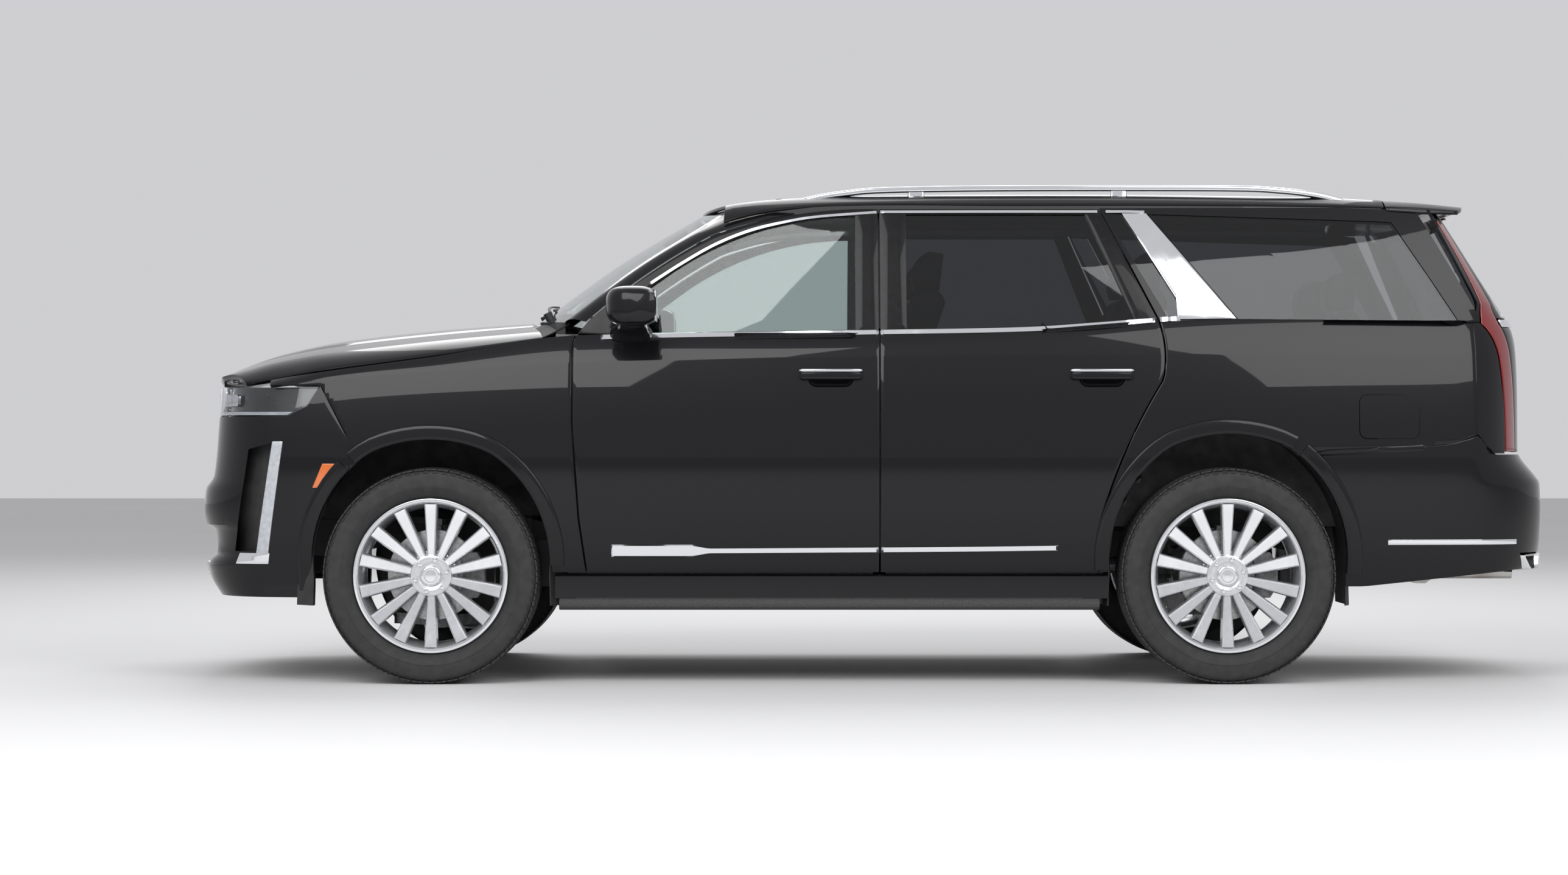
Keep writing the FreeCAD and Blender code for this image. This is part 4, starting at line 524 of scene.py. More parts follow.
def arch_lip(axle, top, first_z, last_z):
    """Rows of a lip from the hemmed inner edge over its face to the skin; its feet stop at two heights."""
    inner = arch_line(axle, top)
    outer = pulled(inner, -LIP_WIDTH)
    count = 72
    rows = []
    profile = [(0.0, -0.030), (0.0, 0.0045)] + [(share, LIP_STAND)
        for share in (0.06, 0.25, 0.45, 0.65, 0.86)]
    for share, stand in profile + [(0.95, 0.006), (1.0, -0.004)]:
        row = []
        for i in range(count + 1):
            k = i / count * (len(inner) - 1)
            m = min(int(k), len(inner) - 2)
            a = Vector(inner[m]).lerp(Vector(inner[m + 1]), k - m)
            b = Vector(outer[m]).lerp(Vector(outer[m + 1]), k - m)
            p = a.lerp(b, share)
            floor = first_z if p.x < axle else last_z
            z = max(p.y, floor)
            row.append((p.x, lower_y(p.x, z) + stand, z))
        rows.append(row)
    return rows


def trimmed_lip(rows, keep):
    """The lip's columns that lie within the panel."""
    columns = [c for c in range(len(rows[0])) if keep(rows[2][c])]
    return [[row[c] for c in columns] for row in rows]


front_rows = arch_lip(FRONT_AXLE, FRONT_ARCH_TOP, 0.335, SILL_Z + 0.004)
rear_rows = arch_lip(REAR_AXLE, REAR_ARCH_TOP, SILL_Z + 0.004, 0.39)
for name, rows, keep in (
        ("front_arch_lip_right", front_rows, lambda p: p[0] > split_x(p[2]) + 0.002 and p[2] > 0.44),
        ("bumper_arch_lip_right", front_rows, lambda p: p[0] < split_x(p[2]) - 0.002 and p[2] > 0.34),
        ("rear_arch_lip_right", rear_rows, lambda p: p[2] > (0.44 if p[0] < REAR_AXLE else 0.896)),
        ("tail_arch_lip_right", rear_rows, lambda p: p[0] > REAR_AXLE and 0.40 < p[2] < 0.889)):
    twin(laid(name, trimmed_lip(rows, keep), paint, 0.004, body="body", slot="paint", crease=50))

# Sills and hinge pillars
# Welded box sections behind the doors. They show when a door is open, painted like the body.
# Sills are run from their section; the pillars are flat outlines carried up or across.
sill_rows = []
for y, z in ((0.840, 0.330), (0.972, 0.330), (0.972, 0.415), (0.966, 0.422), (0.906, 0.424),
        (0.906, 0.500), (0.846, 0.500), (0.840, 0.494), (0.840, 0.330)):
    sill_rows.append([(FRONT_AXLE + 0.479 + (REAR_AXLE - FRONT_AXLE - 0.940) * i / 20, y, z)
        for i in range(21)])
twin(laid("sill_box_right", sill_rows, paint, 0.0, towards=(0, 0, 0), body="body", slot="paint"))


def boxed(name, outline_points, axis, low, high, material, body=None, slot=None, edge=0.003, crease=35):
    """A flat outline carried into a solid along one axis, with eased edges."""
    mesh = bpy.data.meshes.new(name)
    piece = placed(name, mesh)
    place = {"x": lambda a, b, c: (c, a, b), "y": lambda a, b, c: (a, c, b),
        "z": lambda a, b, c: (a, b, c)}[axis]
    shape = bmesh.new()
    near = [shape.verts.new(place(p[0], p[1], low)) for p in outline_points]
    far = [shape.verts.new(place(p[0], p[1], high)) for p in outline_points]
    shape.faces.new(near)
    shape.faces.new(list(reversed(far)))
    for i in range(len(near)):
        j = (i + 1) % len(near)
        shape.faces.new((near[j], near[i], far[i], far[j]))
    bmesh.ops.recalc_face_normals(shape, faces=shape.faces)
    shape.to_mesh(mesh)
    shape.free()
    return finished(piece, material, 0.0, edge, body, slot, crease)


inner_paint = grained(finish("thin inner paint", (0.010, 0.010, 0.011), 0.0, 0.38, 0.3), 300, 0.05,
    0.0003)
twin(boxed("hinge_pillar_right", [(DOOR_FRONT - 0.07, 0.844), (DOOR_FRONT + 0.026, 0.844),
    (DOOR_FRONT + 0.026, 0.896), (DOOR_FRONT - 0.07, 0.896)], "z", 0.39, 1.350, inner_paint, "body",
    "paint"))
twin(boxed("centre_pillar_right", [(0.844, 0.388), (0.906, 0.388), (0.906, 1.366), (0.918, 1.372),
    (0.741, 1.850), (0.685, 1.850), (0.802, 1.372), (0.844, 0.650)], "x", DOOR_SPLIT - 0.027,
    DOOR_SPLIT + 0.027, inner_paint, "body", "paint"))

# Window frames, cant rails and rear pillars
# The side glass sits in black frames on the doors; the roof's side rails run above them.
# Each frame is a ring between the door's outline and its window, bridged along rays from the middle.
FRONT_WINDOW = traced([
    (DOOR_FRONT + 0.175, 1.352), (DOOR_FRONT + 0.205, 1.440, 1), (DOOR_FRONT + 0.312, 1.540),
    (DOOR_FRONT + 0.620, 1.722, 1), (DOOR_SPLIT - 0.092, 1.816), (DOOR_SPLIT - 0.092, 1.352)])
REAR_WINDOW = traced([
    (DOOR_SPLIT + 0.105, 1.364), (DOOR_SPLIT + 0.105, 1.822), (DOOR_REAR - 0.290, 1.822),
    (DOOR_REAR - 0.110, 1.400), (DOOR_REAR - 0.260, 1.378, 1), (DOOR_REAR - 0.480, 1.369)])
QUARTER_LIGHT = traced([
    (DOOR_REAR - 0.215, 1.826), (DOOR_REAR - 0.150, 1.826), (DOOR_REAR + 0.068, 1.450),
    (DOOR_REAR + 0.062, 1.418, 1), (DOOR_REAR + 0.030, 1.410), (DOOR_REAR - 0.004, 1.408)])
CARGO_WINDOW = traced([(DOOR_REAR - 0.046, 1.824), (REAR_AXLE + 0.660, 1.790), (REAR_AXLE + 0.900, 1.402),
    (DOOR_REAR + 0.288, 1.408)])


def middle_of(points):
    return (sum(p[0] for p in points) / len(points), sum(p[1] for p in points) / len(points))


def ray_hit(points, centre, angle):
    """Where a ray from the centre leaves an outline."""
    dx, dz = math.cos(angle), math.sin(angle)
    best = 0.0
    for (x0, z0), (x1, z1) in zip(points, points[1:] + points[:1]):
        ex, ez = x1 - x0, z1 - z0
        d = dx * ez - dz * ex
        if abs(d) < 1e-12:
            continue
        t = ((x0 - centre[0]) * ez - (z0 - centre[1]) * ex) / d
        s = ((x0 - centre[0]) * dz - (z0 - centre[1]) * dx) / d
        if t > 0 and -1e-6 <= s <= 1 + 1e-6:
            best = max(best, t)
    return (centre[0] + dx * best, centre[1] + dz * best)


def spaced(angles):
    """Angles in order, without near repeats."""
    kept = []
    for angle in sorted(angles):
        if not kept or angle - kept[-1] > 0.004:
            kept.append(angle)
    return kept


def corner_angles(points, centre, extra=96):
    """Ray angles through every sharp corner of an outline, with even ones between."""
    angles = [TURN * i / extra for i in range(extra)]
    for i, p in enumerate(points):
        a, b = Vector(points[i - 1]), Vector(points[(i + 1) % len(points)])
        turn = (Vector(p) - a).angle(b - Vector(p), 0)
        if turn > 0.25:
            angles.append(math.atan2(p[1] - centre[1], p[0] - centre[0]) % TURN)
    return spaced(angles)


def ringed(name, outer, inner, surface, material, steps=3, centre=None, **more):
    """A band between two outlines on a surface, closed on itself."""
    centre = centre or middle_of(inner)
    kept = spaced(corner_angles(outer, centre) + corner_angles(inner, centre, 1))
    rows = []
    for k in range(steps + 1):
        row = []
        for angle in kept + kept[:1]:
            a, b = ray_hit(outer, centre, angle), ray_hit(inner, centre, angle)
            x, z = a[0] + (b[0] - a[0]) * k / steps, a[1] + (b[1] - a[1]) * k / steps
            row.append(surface(x, z))
        rows.append(row)
    return laid(name, rows, material, **more)


def paned(name, outer, surface, material, steps=7, **more):
    """A pane or cap that fills an outline on a surface, in rings that close on its middle."""
    centre = middle_of(outer)
    angles = corner_angles(outer, centre)
    rows = []
    for k in range(steps + 1):
        share = 1 - k / steps
        row = []
        for angle in angles + angles[:1]:
            x, z = ray_hit(outer, centre, angle)
            row.append(surface(centre[0] + (x - centre[0]) * share, centre[1] + (z - centre[1]) * share))
        rows.append(row)
    return laid(name, rows, material, **more)


def on_upper(depth):
    return lambda x, z: (x, upper_y(x, z) - depth, z)


frame_gloss = worn(finish("gloss black window frames", (0.006, 0.006, 0.007), 0.0, 0.26, 0.35,
    Coat_IOR=1.36, Specular_IOR_Level=0.12), 30, 0.2, 0.32)
tinted = finish("lightly tinted glass", (0.62, 0.70, 0.68), 0.0, 0.01, Transmission_Weight=1.0, IOR=1.45)
privacy = finish("deep tinted glass", (0.16, 0.17, 0.18), 0.0, 0.01, Transmission_Weight=1.0, IOR=1.45)
for smoked in (tinted, privacy):
    worn(smoked, 3, 0.005, 0.02)
front_upper = traced([
    (DOOR_FRONT + 0.010, 1.346), (DOOR_FRONT + 0.052, 1.400), (DOOR_FRONT + 0.275, 1.578, 1),
    (DOOR_FRONT + 0.545, 1.744), (DOOR_FRONT + 0.840, 1.821, 1), (DOOR_SPLIT, 1.846), (DOOR_SPLIT, 1.352)])
rear_upper = traced([
    (DOOR_SPLIT, 1.352), (DOOR_SPLIT, 1.846), (DOOR_REAR - 0.235, 1.846), (DOOR_REAR - 0.018, 1.402),
    (DOOR_REAR - 0.480, 1.364)])
parts = (("front", front_upper, FRONT_WINDOW, tinted, "door_glass"),
    ("rear", rear_upper, REAR_WINDOW, privacy, "dark_glass"))
for end, outline_points, window, glazing, glass_slot in parts:
    body = f"{end}_door_right"
    twin(ringed(f"{end}_window_frame_right", pulled(outline_points, SHUT), window, on_upper(0.0),
        frame_gloss, thickness=0.028, edge=0.0015, body=body, slot="paint"))
    twin(paned(f"{end}_side_glass_right", pulled(window, 0.0003), on_upper(0.008), glazing,
        thickness=0.005, body=body, slot=glass_slot))

rear_pillar_outline = traced([(DOOR_REAR - 0.015, 1.405), (DOOR_REAR - 0.232, 1.846),
    (DOOR_REAR + 0.700, 1.850), (REAR_AXLE + 0.640, 1.844), (REAR_AXLE + 0.652, 1.834),
    (REAR_AXLE + 0.770, 1.826), (REAR_AXLE + 0.998, 1.400), (DOOR_REAR + 0.200, 1.405)])
glazed = traced([(DOOR_REAR - 0.215, 1.828), (REAR_AXLE + 0.662, 1.793), (REAR_AXLE + 0.904, 1.400),
    (DOOR_REAR + 0.020, 1.406)])
twin(ringed("rear_pillar_panel_right", rear_pillar_outline, glazed, on_upper(0.0), paint, thickness=0.028,
    body="body", slot="paint"))
for name, points, depth in (("quarter_light", QUARTER_LIGHT, 0.004),
        ("cargo_glass", CARGO_WINDOW, 0.004)):
    twin(paned(f"{name}_right", points, on_upper(depth), privacy, thickness=0.005, body="body",
        slot="dark_glass"))
band = paned("rear_pillar_band_right", traced([(DOOR_REAR - 0.146, 1.826), (DOOR_REAR - 0.052, 1.826),
    (DOOR_REAR + 0.280, 1.410), (DOOR_REAR + 0.056, 1.407), (DOOR_REAR + 0.071, 1.421),
    (DOOR_REAR + 0.075, 1.450)]), on_upper(-0.003), chrome, thickness=0.012, edge=0.001, body="body",
    slot="chrome")
twin(band)

# Bright trims along the doors
# Polished strips follow the belt and the tops of the windows, and a spear lies low on the doors.
# Each is a raised band laid on the body side along a smooth line, closed down at its ends.


def smoothed(points, step=0.02):
    """Points close together on a smooth line through the given ones."""
    given = [Vector(p) for p in points]
    found = []
    for i in range(len(given) - 1):
        before, here = given[max(0, i - 1)], given[i]
        there, after = given[i + 1], given[min(len(given) - 1, i + 2)]
        count = max(1, math.ceil((there - here).length / step))
        for k in range(count):
            t = k / count
            found.append(0.5 * (2 * here + (there - before) * t
                + (2 * before - 5 * here + 4 * there - after) * t**2
                + (3 * here - before - 3 * there + after) * t**3))
    return found + [given[-1]]


def strip(name, line, width, surface, material, body, slot="chrome", stand=0.005, step=0.02):
    """Raised trim along a line on the body side; surface gives the half-width, and width may vary."""
    points = smoothed(line, step)
    profile = ((-0.5, -0.003), (-0.5, 0.4 * stand), (-0.4, stand), (0.4, stand), (0.5, 0.4 * stand),
        (0.5, -0.003))
    rows = []
    for share, out in profile:
        row = []
        for i, p in enumerate(points):
            way = (points[min(i + 1, len(points) - 1)] - points[max(i - 1, 0)]).normalized()
            reach = share * (width(p.x) if callable(width) else width)
            x, z = p.x - way.y * reach, p.y + way.x * reach
            row.append((x, surface(x, z) + (-0.003 if i in (0, len(points) - 1) else out), z))
        rows.append(row)
    return laid(name, rows, material, body=body, slot=slot, crease=40)


def belt_y(x, z):
    return max(upper_y(x, max(z, belt_height(x))), lower_y(x, min(z, belt_height(x))))


def belt_line(x):
    """Middle of the bright belt strip."""
    return faired([(-1.10, 1.336), (-0.86, 1.343), (DOOR_SPLIT, 1.357), (0.60, 1.368), (0.90, 1.388),
        (1.16, 1.409)], x)[1]


def belt_run(first, last, count=12):
    places = [first + (last - first) * i / count for i in range(count + 1)]
    return [(x, belt_line(x)) for x in places]


def spear_width(x):
    """The spear is tall at its front end and steps down behind it."""
    return 0.048 if x < -0.690 else 0.022 + 0.026 * max(0.0,
        (-0.630 - x) / 0.060) if x < -0.630 else 0.022


# name, body, line, width, surface and how far the strip stands
TRIMS = (
    ("belt_strip_front", "front_door_right", belt_run(-1.050, DOOR_SPLIT - SHUT), 0.021, belt_y, 0.010),
    ("belt_strip_rear", "rear_door_right", belt_run(DOOR_SPLIT + SHUT, 1.094), 0.021, belt_y, 0.010),
    ("belt_strip_quarter", "body", belt_run(1.112, 1.190, 4), 0.021, belt_y, 0.010),
    ("window_strip_front", "front_door_right", [(-0.862, 1.545), (-0.742, 1.624), (-0.608, 1.702),
        (-0.474, 1.757), (-0.340, 1.791), (-0.206, 1.813), (DOOR_SPLIT - SHUT, 1.831)],
        0.012, upper_y, 0.005),
    ("window_strip_rear", "rear_door_right", [(DOOR_SPLIT + SHUT, 1.832), (0.45, 1.833), (0.888, 1.833)],
        0.012, upper_y, 0.005),
    ("window_strip_quarter", "body", [(0.912, 1.833), (1.000, 1.833), (1.072, 1.831)],
        0.012, upper_y, 0.005),
    ("door_spear_front", "front_door_right", [(-1.010, 0.514), (-0.640, 0.514), (DOOR_SPLIT - SHUT, 0.518)],
        spear_width, lower_y, 0.008),
    ("door_spear_rear", "rear_door_right", [(DOOR_SPLIT + SHUT, 0.518), (0.400, 0.521), (0.716, 0.525)],
        0.022, lower_y, 0.008))
trims = [strip(f"{name}_right", line, width, surface, chrome, body, stand=stand)
         for name, body, line, width, surface, stand in TRIMS]
for trim in trims:
    twin(trim)

# Door handles
# Each door has a bar pull over a pressed finger dish: painted below, with a polished blade on top.
# Bars are rounded sections swept along short lines; a foot at each end carries them on the door.


def rounded(width, height, radius, corner=4):
    """A rounded rectangle as points about its middle."""
    points = []
    for cx, cy, start in ((1, 1, 0), (-1, 1, 90), (-1, -1, 180), (1, -1, 270)):
        for k in range(corner + 1):
            angle = math.radians(start + 90 * k / corner)
            points.append((cx * (width / 2 - radius) + radius * math.cos(angle),
                cy * (height / 2 - radius) + radius * math.sin(angle)))
    return points


def swept(name, path, section, material, body=None, slot=None, up=(0, 0, 1), sizes=None, crease=40):
    """A bar with one cross-section along a line, closed at both ends; sizes scales it point by point."""
    points = [Vector(p) for p in path]
    rows = []
    for i, p in enumerate(points):
        way = (points[min(i + 1, len(points) - 1)] - points[max(i - 1, 0)]).normalized()
        side = way.cross(Vector(up)).normalized()
        rise = side.cross(way)
        grow = sizes[i] if sizes else 1.0
        rows.append([tuple(p + side * a * grow + rise * b * grow) for a, b in section + section[:1]])
    rows = [[tuple(points[0])] * len(rows[0])] + rows + [[tuple(points[-1])] * len(rows[0])]
    return laid(name, rows, material, towards=(0, 0, 0), body=body, slot=slot, crease=crease)


def carved(piece, cutter):
    """The piece less the cutter, which is then removed."""
    picked(piece)
    cut = piece.modifiers.new("cut", "BOOLEAN")
    cut.operation = "DIFFERENCE"
    cut.solver = "EXACT"
    cut.object = cutter
    bpy.ops.object.modifier_apply(modifier="cut")
    bpy.ops.object.shade_smooth_by_angle(angle=math.radians(35))
    piece.select_set(False)
    bpy.data.objects.remove(cutter)
    return piece


def block(name, low, high, edge=0.0, material=None, body=None, slot=None, segments=3):
    """A box between two corners, added as a cube, scaled in edit mode and given eased edges."""
    bpy.ops.object.select_all(action="DESELECT")
    middle = [(a + b) / 2 for a, b in zip(low, high)]
    bpy.ops.mesh.primitive_cube_add(size=1, location=(0, 0, 0))
    piece = bpy.context.object
    piece.name = name
    bpy.ops.object.mode_set(mode="EDIT")
    bpy.ops.transform.resize(value=[b - a for a, b in zip(low, high)])
    bpy.ops.transform.translate(value=middle)
    if edge:
        bpy.ops.mesh.bevel(offset=edge, segments=segments, affect="EDGES")
    bpy.ops.object.mode_set(mode="OBJECT")
    return finished(piece, material or paint, 0.0, 0.0, body, slot)


DISH_Z, PULL_Z = 1.179, 1.188
dish_black = worn(finish("satin dish paint", (0.004, 0.004, 0.005), 0.0, 0.4, 0.2,
    Specular_IOR_Level=0.1), 30, 0.34, 0.46)
for end, pull_x, skins in (("front", -0.160, (door_front_right, door_front_left)),
        ("rear", 0.882, (door_rear_right, door_rear_left))):
    body = f"{end}_door_right"
    out = lower_y(pull_x, 1.192)
    dish = [(x + pull_x, z + DISH_Z) for x, z in rounded(0.176, 0.072, 0.034, 6)]
    for sign, skin in zip((1, -1), skins):
        cutter = boxed("dish_cut", dish, "y", sign * (out - 0.060), sign * (out + 0.060), dish_black,
            edge=0)
        carved(skin, cutter)
    dish_rows = []
    for share, sunk in ((1.0, 0.001), (0.99, 0.006), (0.93, 0.013), (0.80, 0.019), (0.60, 0.023),
            (0.3, 0.025), (0.0, 0.025)):
        row = []
        for x, z in dish + dish[:1]:
            px, pz = pull_x + (x - pull_x) * share, DISH_Z + (z - DISH_Z) * share
            row.append((px, lower_y(px, pz) - sunk, pz))
        dish_rows.append(row)
    twin(laid(f"{end}_door_dish_right", dish_rows, dish_black, 0.002, body=body, slot="paint", crease=50))
    ends = [-0.121, -0.117, -0.108, -0.060, 0.0, 0.060, 0.108, 0.117, 0.121]
    sizes = [0.35, 0.75, 1.0, 1.0, 1.0, 1.0, 1.0, 0.75, 0.35]
    twin(swept(f"{end}_door_pull_right", [(pull_x + d, out + 0.014 - 18 * d**4, PULL_Z) for d in ends],
        rounded(0.017, 0.030, 0.007), paint, body, "paint", sizes=sizes))
    blade = swept(f"{end}_door_pull_blade_right", [(pull_x + d, out + 0.018 - 18 * d**4, 1.208)
        for d in ends], rounded(0.012, 0.011, 0.004), chrome, body, "chrome", sizes=sizes)
    twin(blade)
    for side in (-1, 1):
        foot = swept(f"{end}_door_pull_foot_{'rear' if side > 0 else 'front'}_right",
            [(pull_x + side * 0.100, out - 0.012, 1.190), (pull_x + side * 0.100, out, 1.190),
            (pull_x + side * 0.100, out + 0.012, 1.190)], rounded(0.030, 0.028, 0.008), paint, body,
            "paint")
        twin(foot)

# Door mirrors
# A painted shell stands on a short foot at the door's front corner and holds a sunken mirror glass.
# The shell is a run of rounded sections from its root to its tip, and a box is cut out behind the glass.


def squared_ring(cx, cz, half_x, half_z, y, power=3.2, count=40):
    """A soft-cornered ring in a plane across the car's width."""
    row = []
    for i in range(count + 1):
        angle = TURN * i / count
        c, s = math.cos(angle), math.sin(angle)
        grow = (abs(c) ** power + abs(s) ** power) ** (-1 / power)
        row.append((cx + half_x * c * grow, y, cz + half_z * s * grow))
    return row


mirror_x, mirror_z = DOOR_FRONT + 0.235, 1.330
mirror_y = lower_y(mirror_x, mirror_z) + 0.002
sections = [(0.056, 0.002, 0.118, 0.012, 0.030), (0.060, 0.004, 0.119, 0.062, 0.052),
    (0.074, 0.005, 0.120, 0.086, 0.066), (0.110, 0.004, 0.121, 0.099, 0.074),
    (0.160, 0.002, 0.122, 0.101, 0.077), (0.210, 0.006, 0.121, 0.096, 0.075),
    (0.240, 0.014, 0.119, 0.086, 0.069), (0.258, 0.024, 0.117, 0.068, 0.058),
    (0.266, 0.032, 0.116, 0.042, 0.038), (0.268, 0.034, 0.116, 0.010, 0.010)]
rows = [squared_ring(mirror_x + cx, mirror_z + cz, hx, hz, mirror_y + y)
    for y, cx, cz, hx, hz in sections]
rows = [[(mirror_x + 0.002, mirror_y + 0.055, mirror_z + 0.118)] * 41] + rows + [[(mirror_x + 0.034,
    mirror_y + 0.2685, mirror_z + 0.116)] * 41]
shell = laid("mirror_shell_right", rows, paint, towards=(0, 0, 0), body="front_door_right", slot="paint")
hollow = block("mirror_hollow", (mirror_x + 0.090, mirror_y + 0.076, mirror_z + 0.058),
    (mirror_x + 0.140, mirror_y + 0.252, mirror_z + 0.182), 0.016)
carved(shell, hollow)
twin(shell)
silvered = finish("mirror silvering", (0.72, 0.75, 0.78), 1.0, 0.02)
worn(silvered, 5, 0.01, 0.03)
twin(block("mirror_pane_right", (mirror_x + 0.090, mirror_y + 0.080, mirror_z + 0.062),
    (mirror_x + 0.094, mirror_y + 0.248, mirror_z + 0.178), 0.0018, silvered, "front_door_right"))
root = [squared_ring(mirror_x + cx, mirror_z + cz, hx, hz, mirror_y + y, 2.6, 28)
    for y, cx, cz, hx, hz in ((-0.020, -0.010, 0.016, 0.083, 0.044), (0.000, -0.010, 0.018, 0.081, 0.043),
    (0.018, -0.006, 0.028, 0.070, 0.038), (0.040, -0.002, 0.046, 0.060, 0.032),
    (0.070, 0.000, 0.060, 0.060, 0.028), (0.110, 0.000, 0.066, 0.056, 0.026))]
root = [[(mirror_x - 0.010, mirror_y - 0.020, mirror_z + 0.016)] * 29] + root + [[(mirror_x,
    mirror_y + 0.110, mirror_z + 0.066)] * 29]
foot = laid("mirror_foot_right", root, frame_gloss, towards=(0, 0, 0), body="front_door_right",
    slot="paint")
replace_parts(shell, "mirror_right")
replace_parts(twin(foot), "mirror_left")

# Fuel flap and side markers
# The flap closes the filler in the left rear quarter; amber markers sit low ahead of the front wheels.
# The flap's shut line is a rounded groove cut in the skin, and each marker is a thin lens on the surface.
amber = worn(finish("amber lens", (0.62, 0.14, 0.02), 0.0, 0.08, 1.0), 12, 0.04, 0.12)
flap = [(x + 1.988, z + 1.030) for x, z in rounded(0.236, 0.172, 0.030, 5)]
depth = lower_y(1.988, 1.030)
outer = boxed("flap_outer", flap, "y", -depth + 0.010, -depth - 0.100, paint, edge=0)
inner = boxed("flap_inner", pulled(flap, 0.003), "y", -depth + 0.100, -depth - 0.200, paint, edge=0)
carved(quarter_left, carved(outer, inner))
marker = traced([(-2.157, 0.756), (-2.090, 0.756), (-2.052, 0.849), (-2.117, 0.849)])
lens = paned("side_marker_right", marker, lambda x, z: (x, lower_y(x, z) + 0.004, z), amber,
    thickness=0.008, edge=0.0015, body="body", slot="lamp_red")
twin(lens)

# Roof panel and headliner
# One pressing spans the car from the windscreen to the tailgate, with its sides rolled down to the doors.
# Its section is a flat crown with round shoulders; a cloth headliner hangs a little below it.
ROOF_ROWS = [
    (-0.725, 0.826, 1.728, 1.850), (-0.565, 0.802, 1.796, 1.880), (-0.395, 0.786, 1.839, 1.896),
    (-0.105, 0.775, 1.862, 1.909), (0.529, 0.775, 1.862, 1.917), (1.125, 0.774, 1.862, 1.915),
    (1.800, 0.765, 1.857, 1.904), (2.010, 0.752, 1.852, 1.893),
]


def roof_at(x, share):
    """Roof surface at a place along the car and a share of the way from its middle to its right edge."""
    _, edge_y, edge_z, crown = faired(ROOF_ROWS, x)
    rise = crown - edge_z
    u = abs(share)
    if u < 0.86:
        z = crown - 0.20 * rise * (u / 0.86) ** 2.2
    else:
        t = (u - 0.86) / 0.14
        z = edge_z + rise * (0.80 * (1 - t**1.9) + 0.055 * math.sin(math.pi * t))
    return share * edge_y, z


def roof_front(y):
    y = abs(y)
    return -0.677 + 0.110 * (y / 0.690) ** 2 if y < 0.690 else -0.567 - 0.0824 * (y - 0.690)


shares = [-1, -0.99, -0.975, -0.955, -0.93, -0.90, -0.87] + [i / 14 * 0.84
    for i in range(-14, 15)] + [0.87, 0.90, 0.93, 0.955, 0.975, 0.99, 1]


def roof_rows(drop, inset=0.0):
    rows = []
    for share in shares:
        share *= 1 - inset
        start = -0.6
        for _ in range(12):
            start = roof_front(roof_at(start, share)[0])
        start += inset
        row = []
        for i in range(71):
            x = start + (2.010 - inset - start) * i / 70
            y, z = roof_at(x, share)
            row.append((x, y, z - drop))
        rows.append(row)
    return rows


roof = laid("roof_skin", roof_rows(0.0), paint, 0.012, towards=(0, 0, 1), edge=0.003, body="body",
    slot="paint")
cloth = grained(speckled(finish("pale woven cloth", (0.42, 0.40, 0.37), rough=0.9), 60,
    (0.38, 0.36, 0.33), (0.47, 0.45, 0.42)), 900, 0.2)
laid("headliner", roof_rows(0.030, 0.02), cloth, 0.006, towards=(0, 0, -1), body="body",
    slot="cabin_black")
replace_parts(roof, "roof_panel")

# Roof rails
# Two polished rails run fore and aft on the roof, down to it at both ends and on two feet between.
# Each is one rounded bar bent along a smooth line; the feet are short blocks beneath it.
RAIL_Y = 0.700
rail_line = smoothed([(-0.296, 1.871, 0), (-0.200, 1.894, 0), (-0.090, 1.910, 0), (0.060, 1.922, 0),
    (0.529, 1.929, 0), (1.375, 1.929, 0), (1.600, 1.921, 0), (1.755, 1.902, 0), (1.868, 1.873, 0)], 0.03)
rail = swept("roof_rail_right", [(p.x, RAIL_Y, p.y) for p in rail_line], rounded(0.030, 0.024, 0.009),
    chrome, "body", "chrome", sizes=[0.6] + [1.0] * (len(rail_line) - 2) + [0.6])
for foot_x in (0.179, 0.975):
    foot = swept(f"roof_rail_foot_{'front' if foot_x < 0.5 else 'rear'}_right",
        [(foot_x, RAIL_Y, z) for z in (1.880, 1.900, 1.924)], rounded(0.026, 0.074, 0.009), chrome,
        "body", "chrome", up=(1, 0, 0), sizes=[1.0, 0.9, 0.85])
    twin(foot)
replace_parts(rail, "roof_rails")
twin(rail)

# Roof antenna
# A painted fin on a low base stands on the roof's centre line behind the windscreen.
# It is a stack of leaf-shaped rings that lean back and thin out towards the tip.
fin_rows = []
for z, front, rear, half in ((1.880, -0.475, -0.315, 0.034), (1.897, -0.474, -0.316, 0.033),
        (1.903, -0.462, -0.320, 0.027), (1.909, -0.440, -0.326, 0.019), (1.920, -0.412, -0.332, 0.013),
        (1.931, -0.388, -0.339, 0.009), (1.9365, -0.374, -0.345, 0.005), (1.938, -0.366, -0.350, 0.0015)):
    fin_rows.append([((front + rear) / 2 + (rear - front) / 2 * math.cos(TURN * i / 32),
        half * math.sin(TURN * i / 32) * (1.15 + 0.15 * math.cos(TURN * i / 32)), z) for i in range(33)])
fin_rows = [[(-0.395, 0, 1.880)] * 33] + fin_rows + [[(-0.358, 0, 1.938)] * 33]
fin = laid("antenna_fin", fin_rows, paint, towards=(0, 0, 0), body="body", slot="paint")
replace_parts(fin, "roof_antenna")

# Windscreen and its pillars
# Laminated glass bowed across the car, with a black printed border and a camera cover behind the mirror.
# Painted pillars run down each side of it, from the roof to the cowl, and close the gap to the doors.
SCREEN_ROWS = [(0.0, -1.345, 1.418, -1.193, 0.838, 1.398), (0.5, -1.010, 1.660, -0.890, 0.772, 1.626),
    (1.0, -0.690, 1.850, -0.580, 0.693, 1.824)]


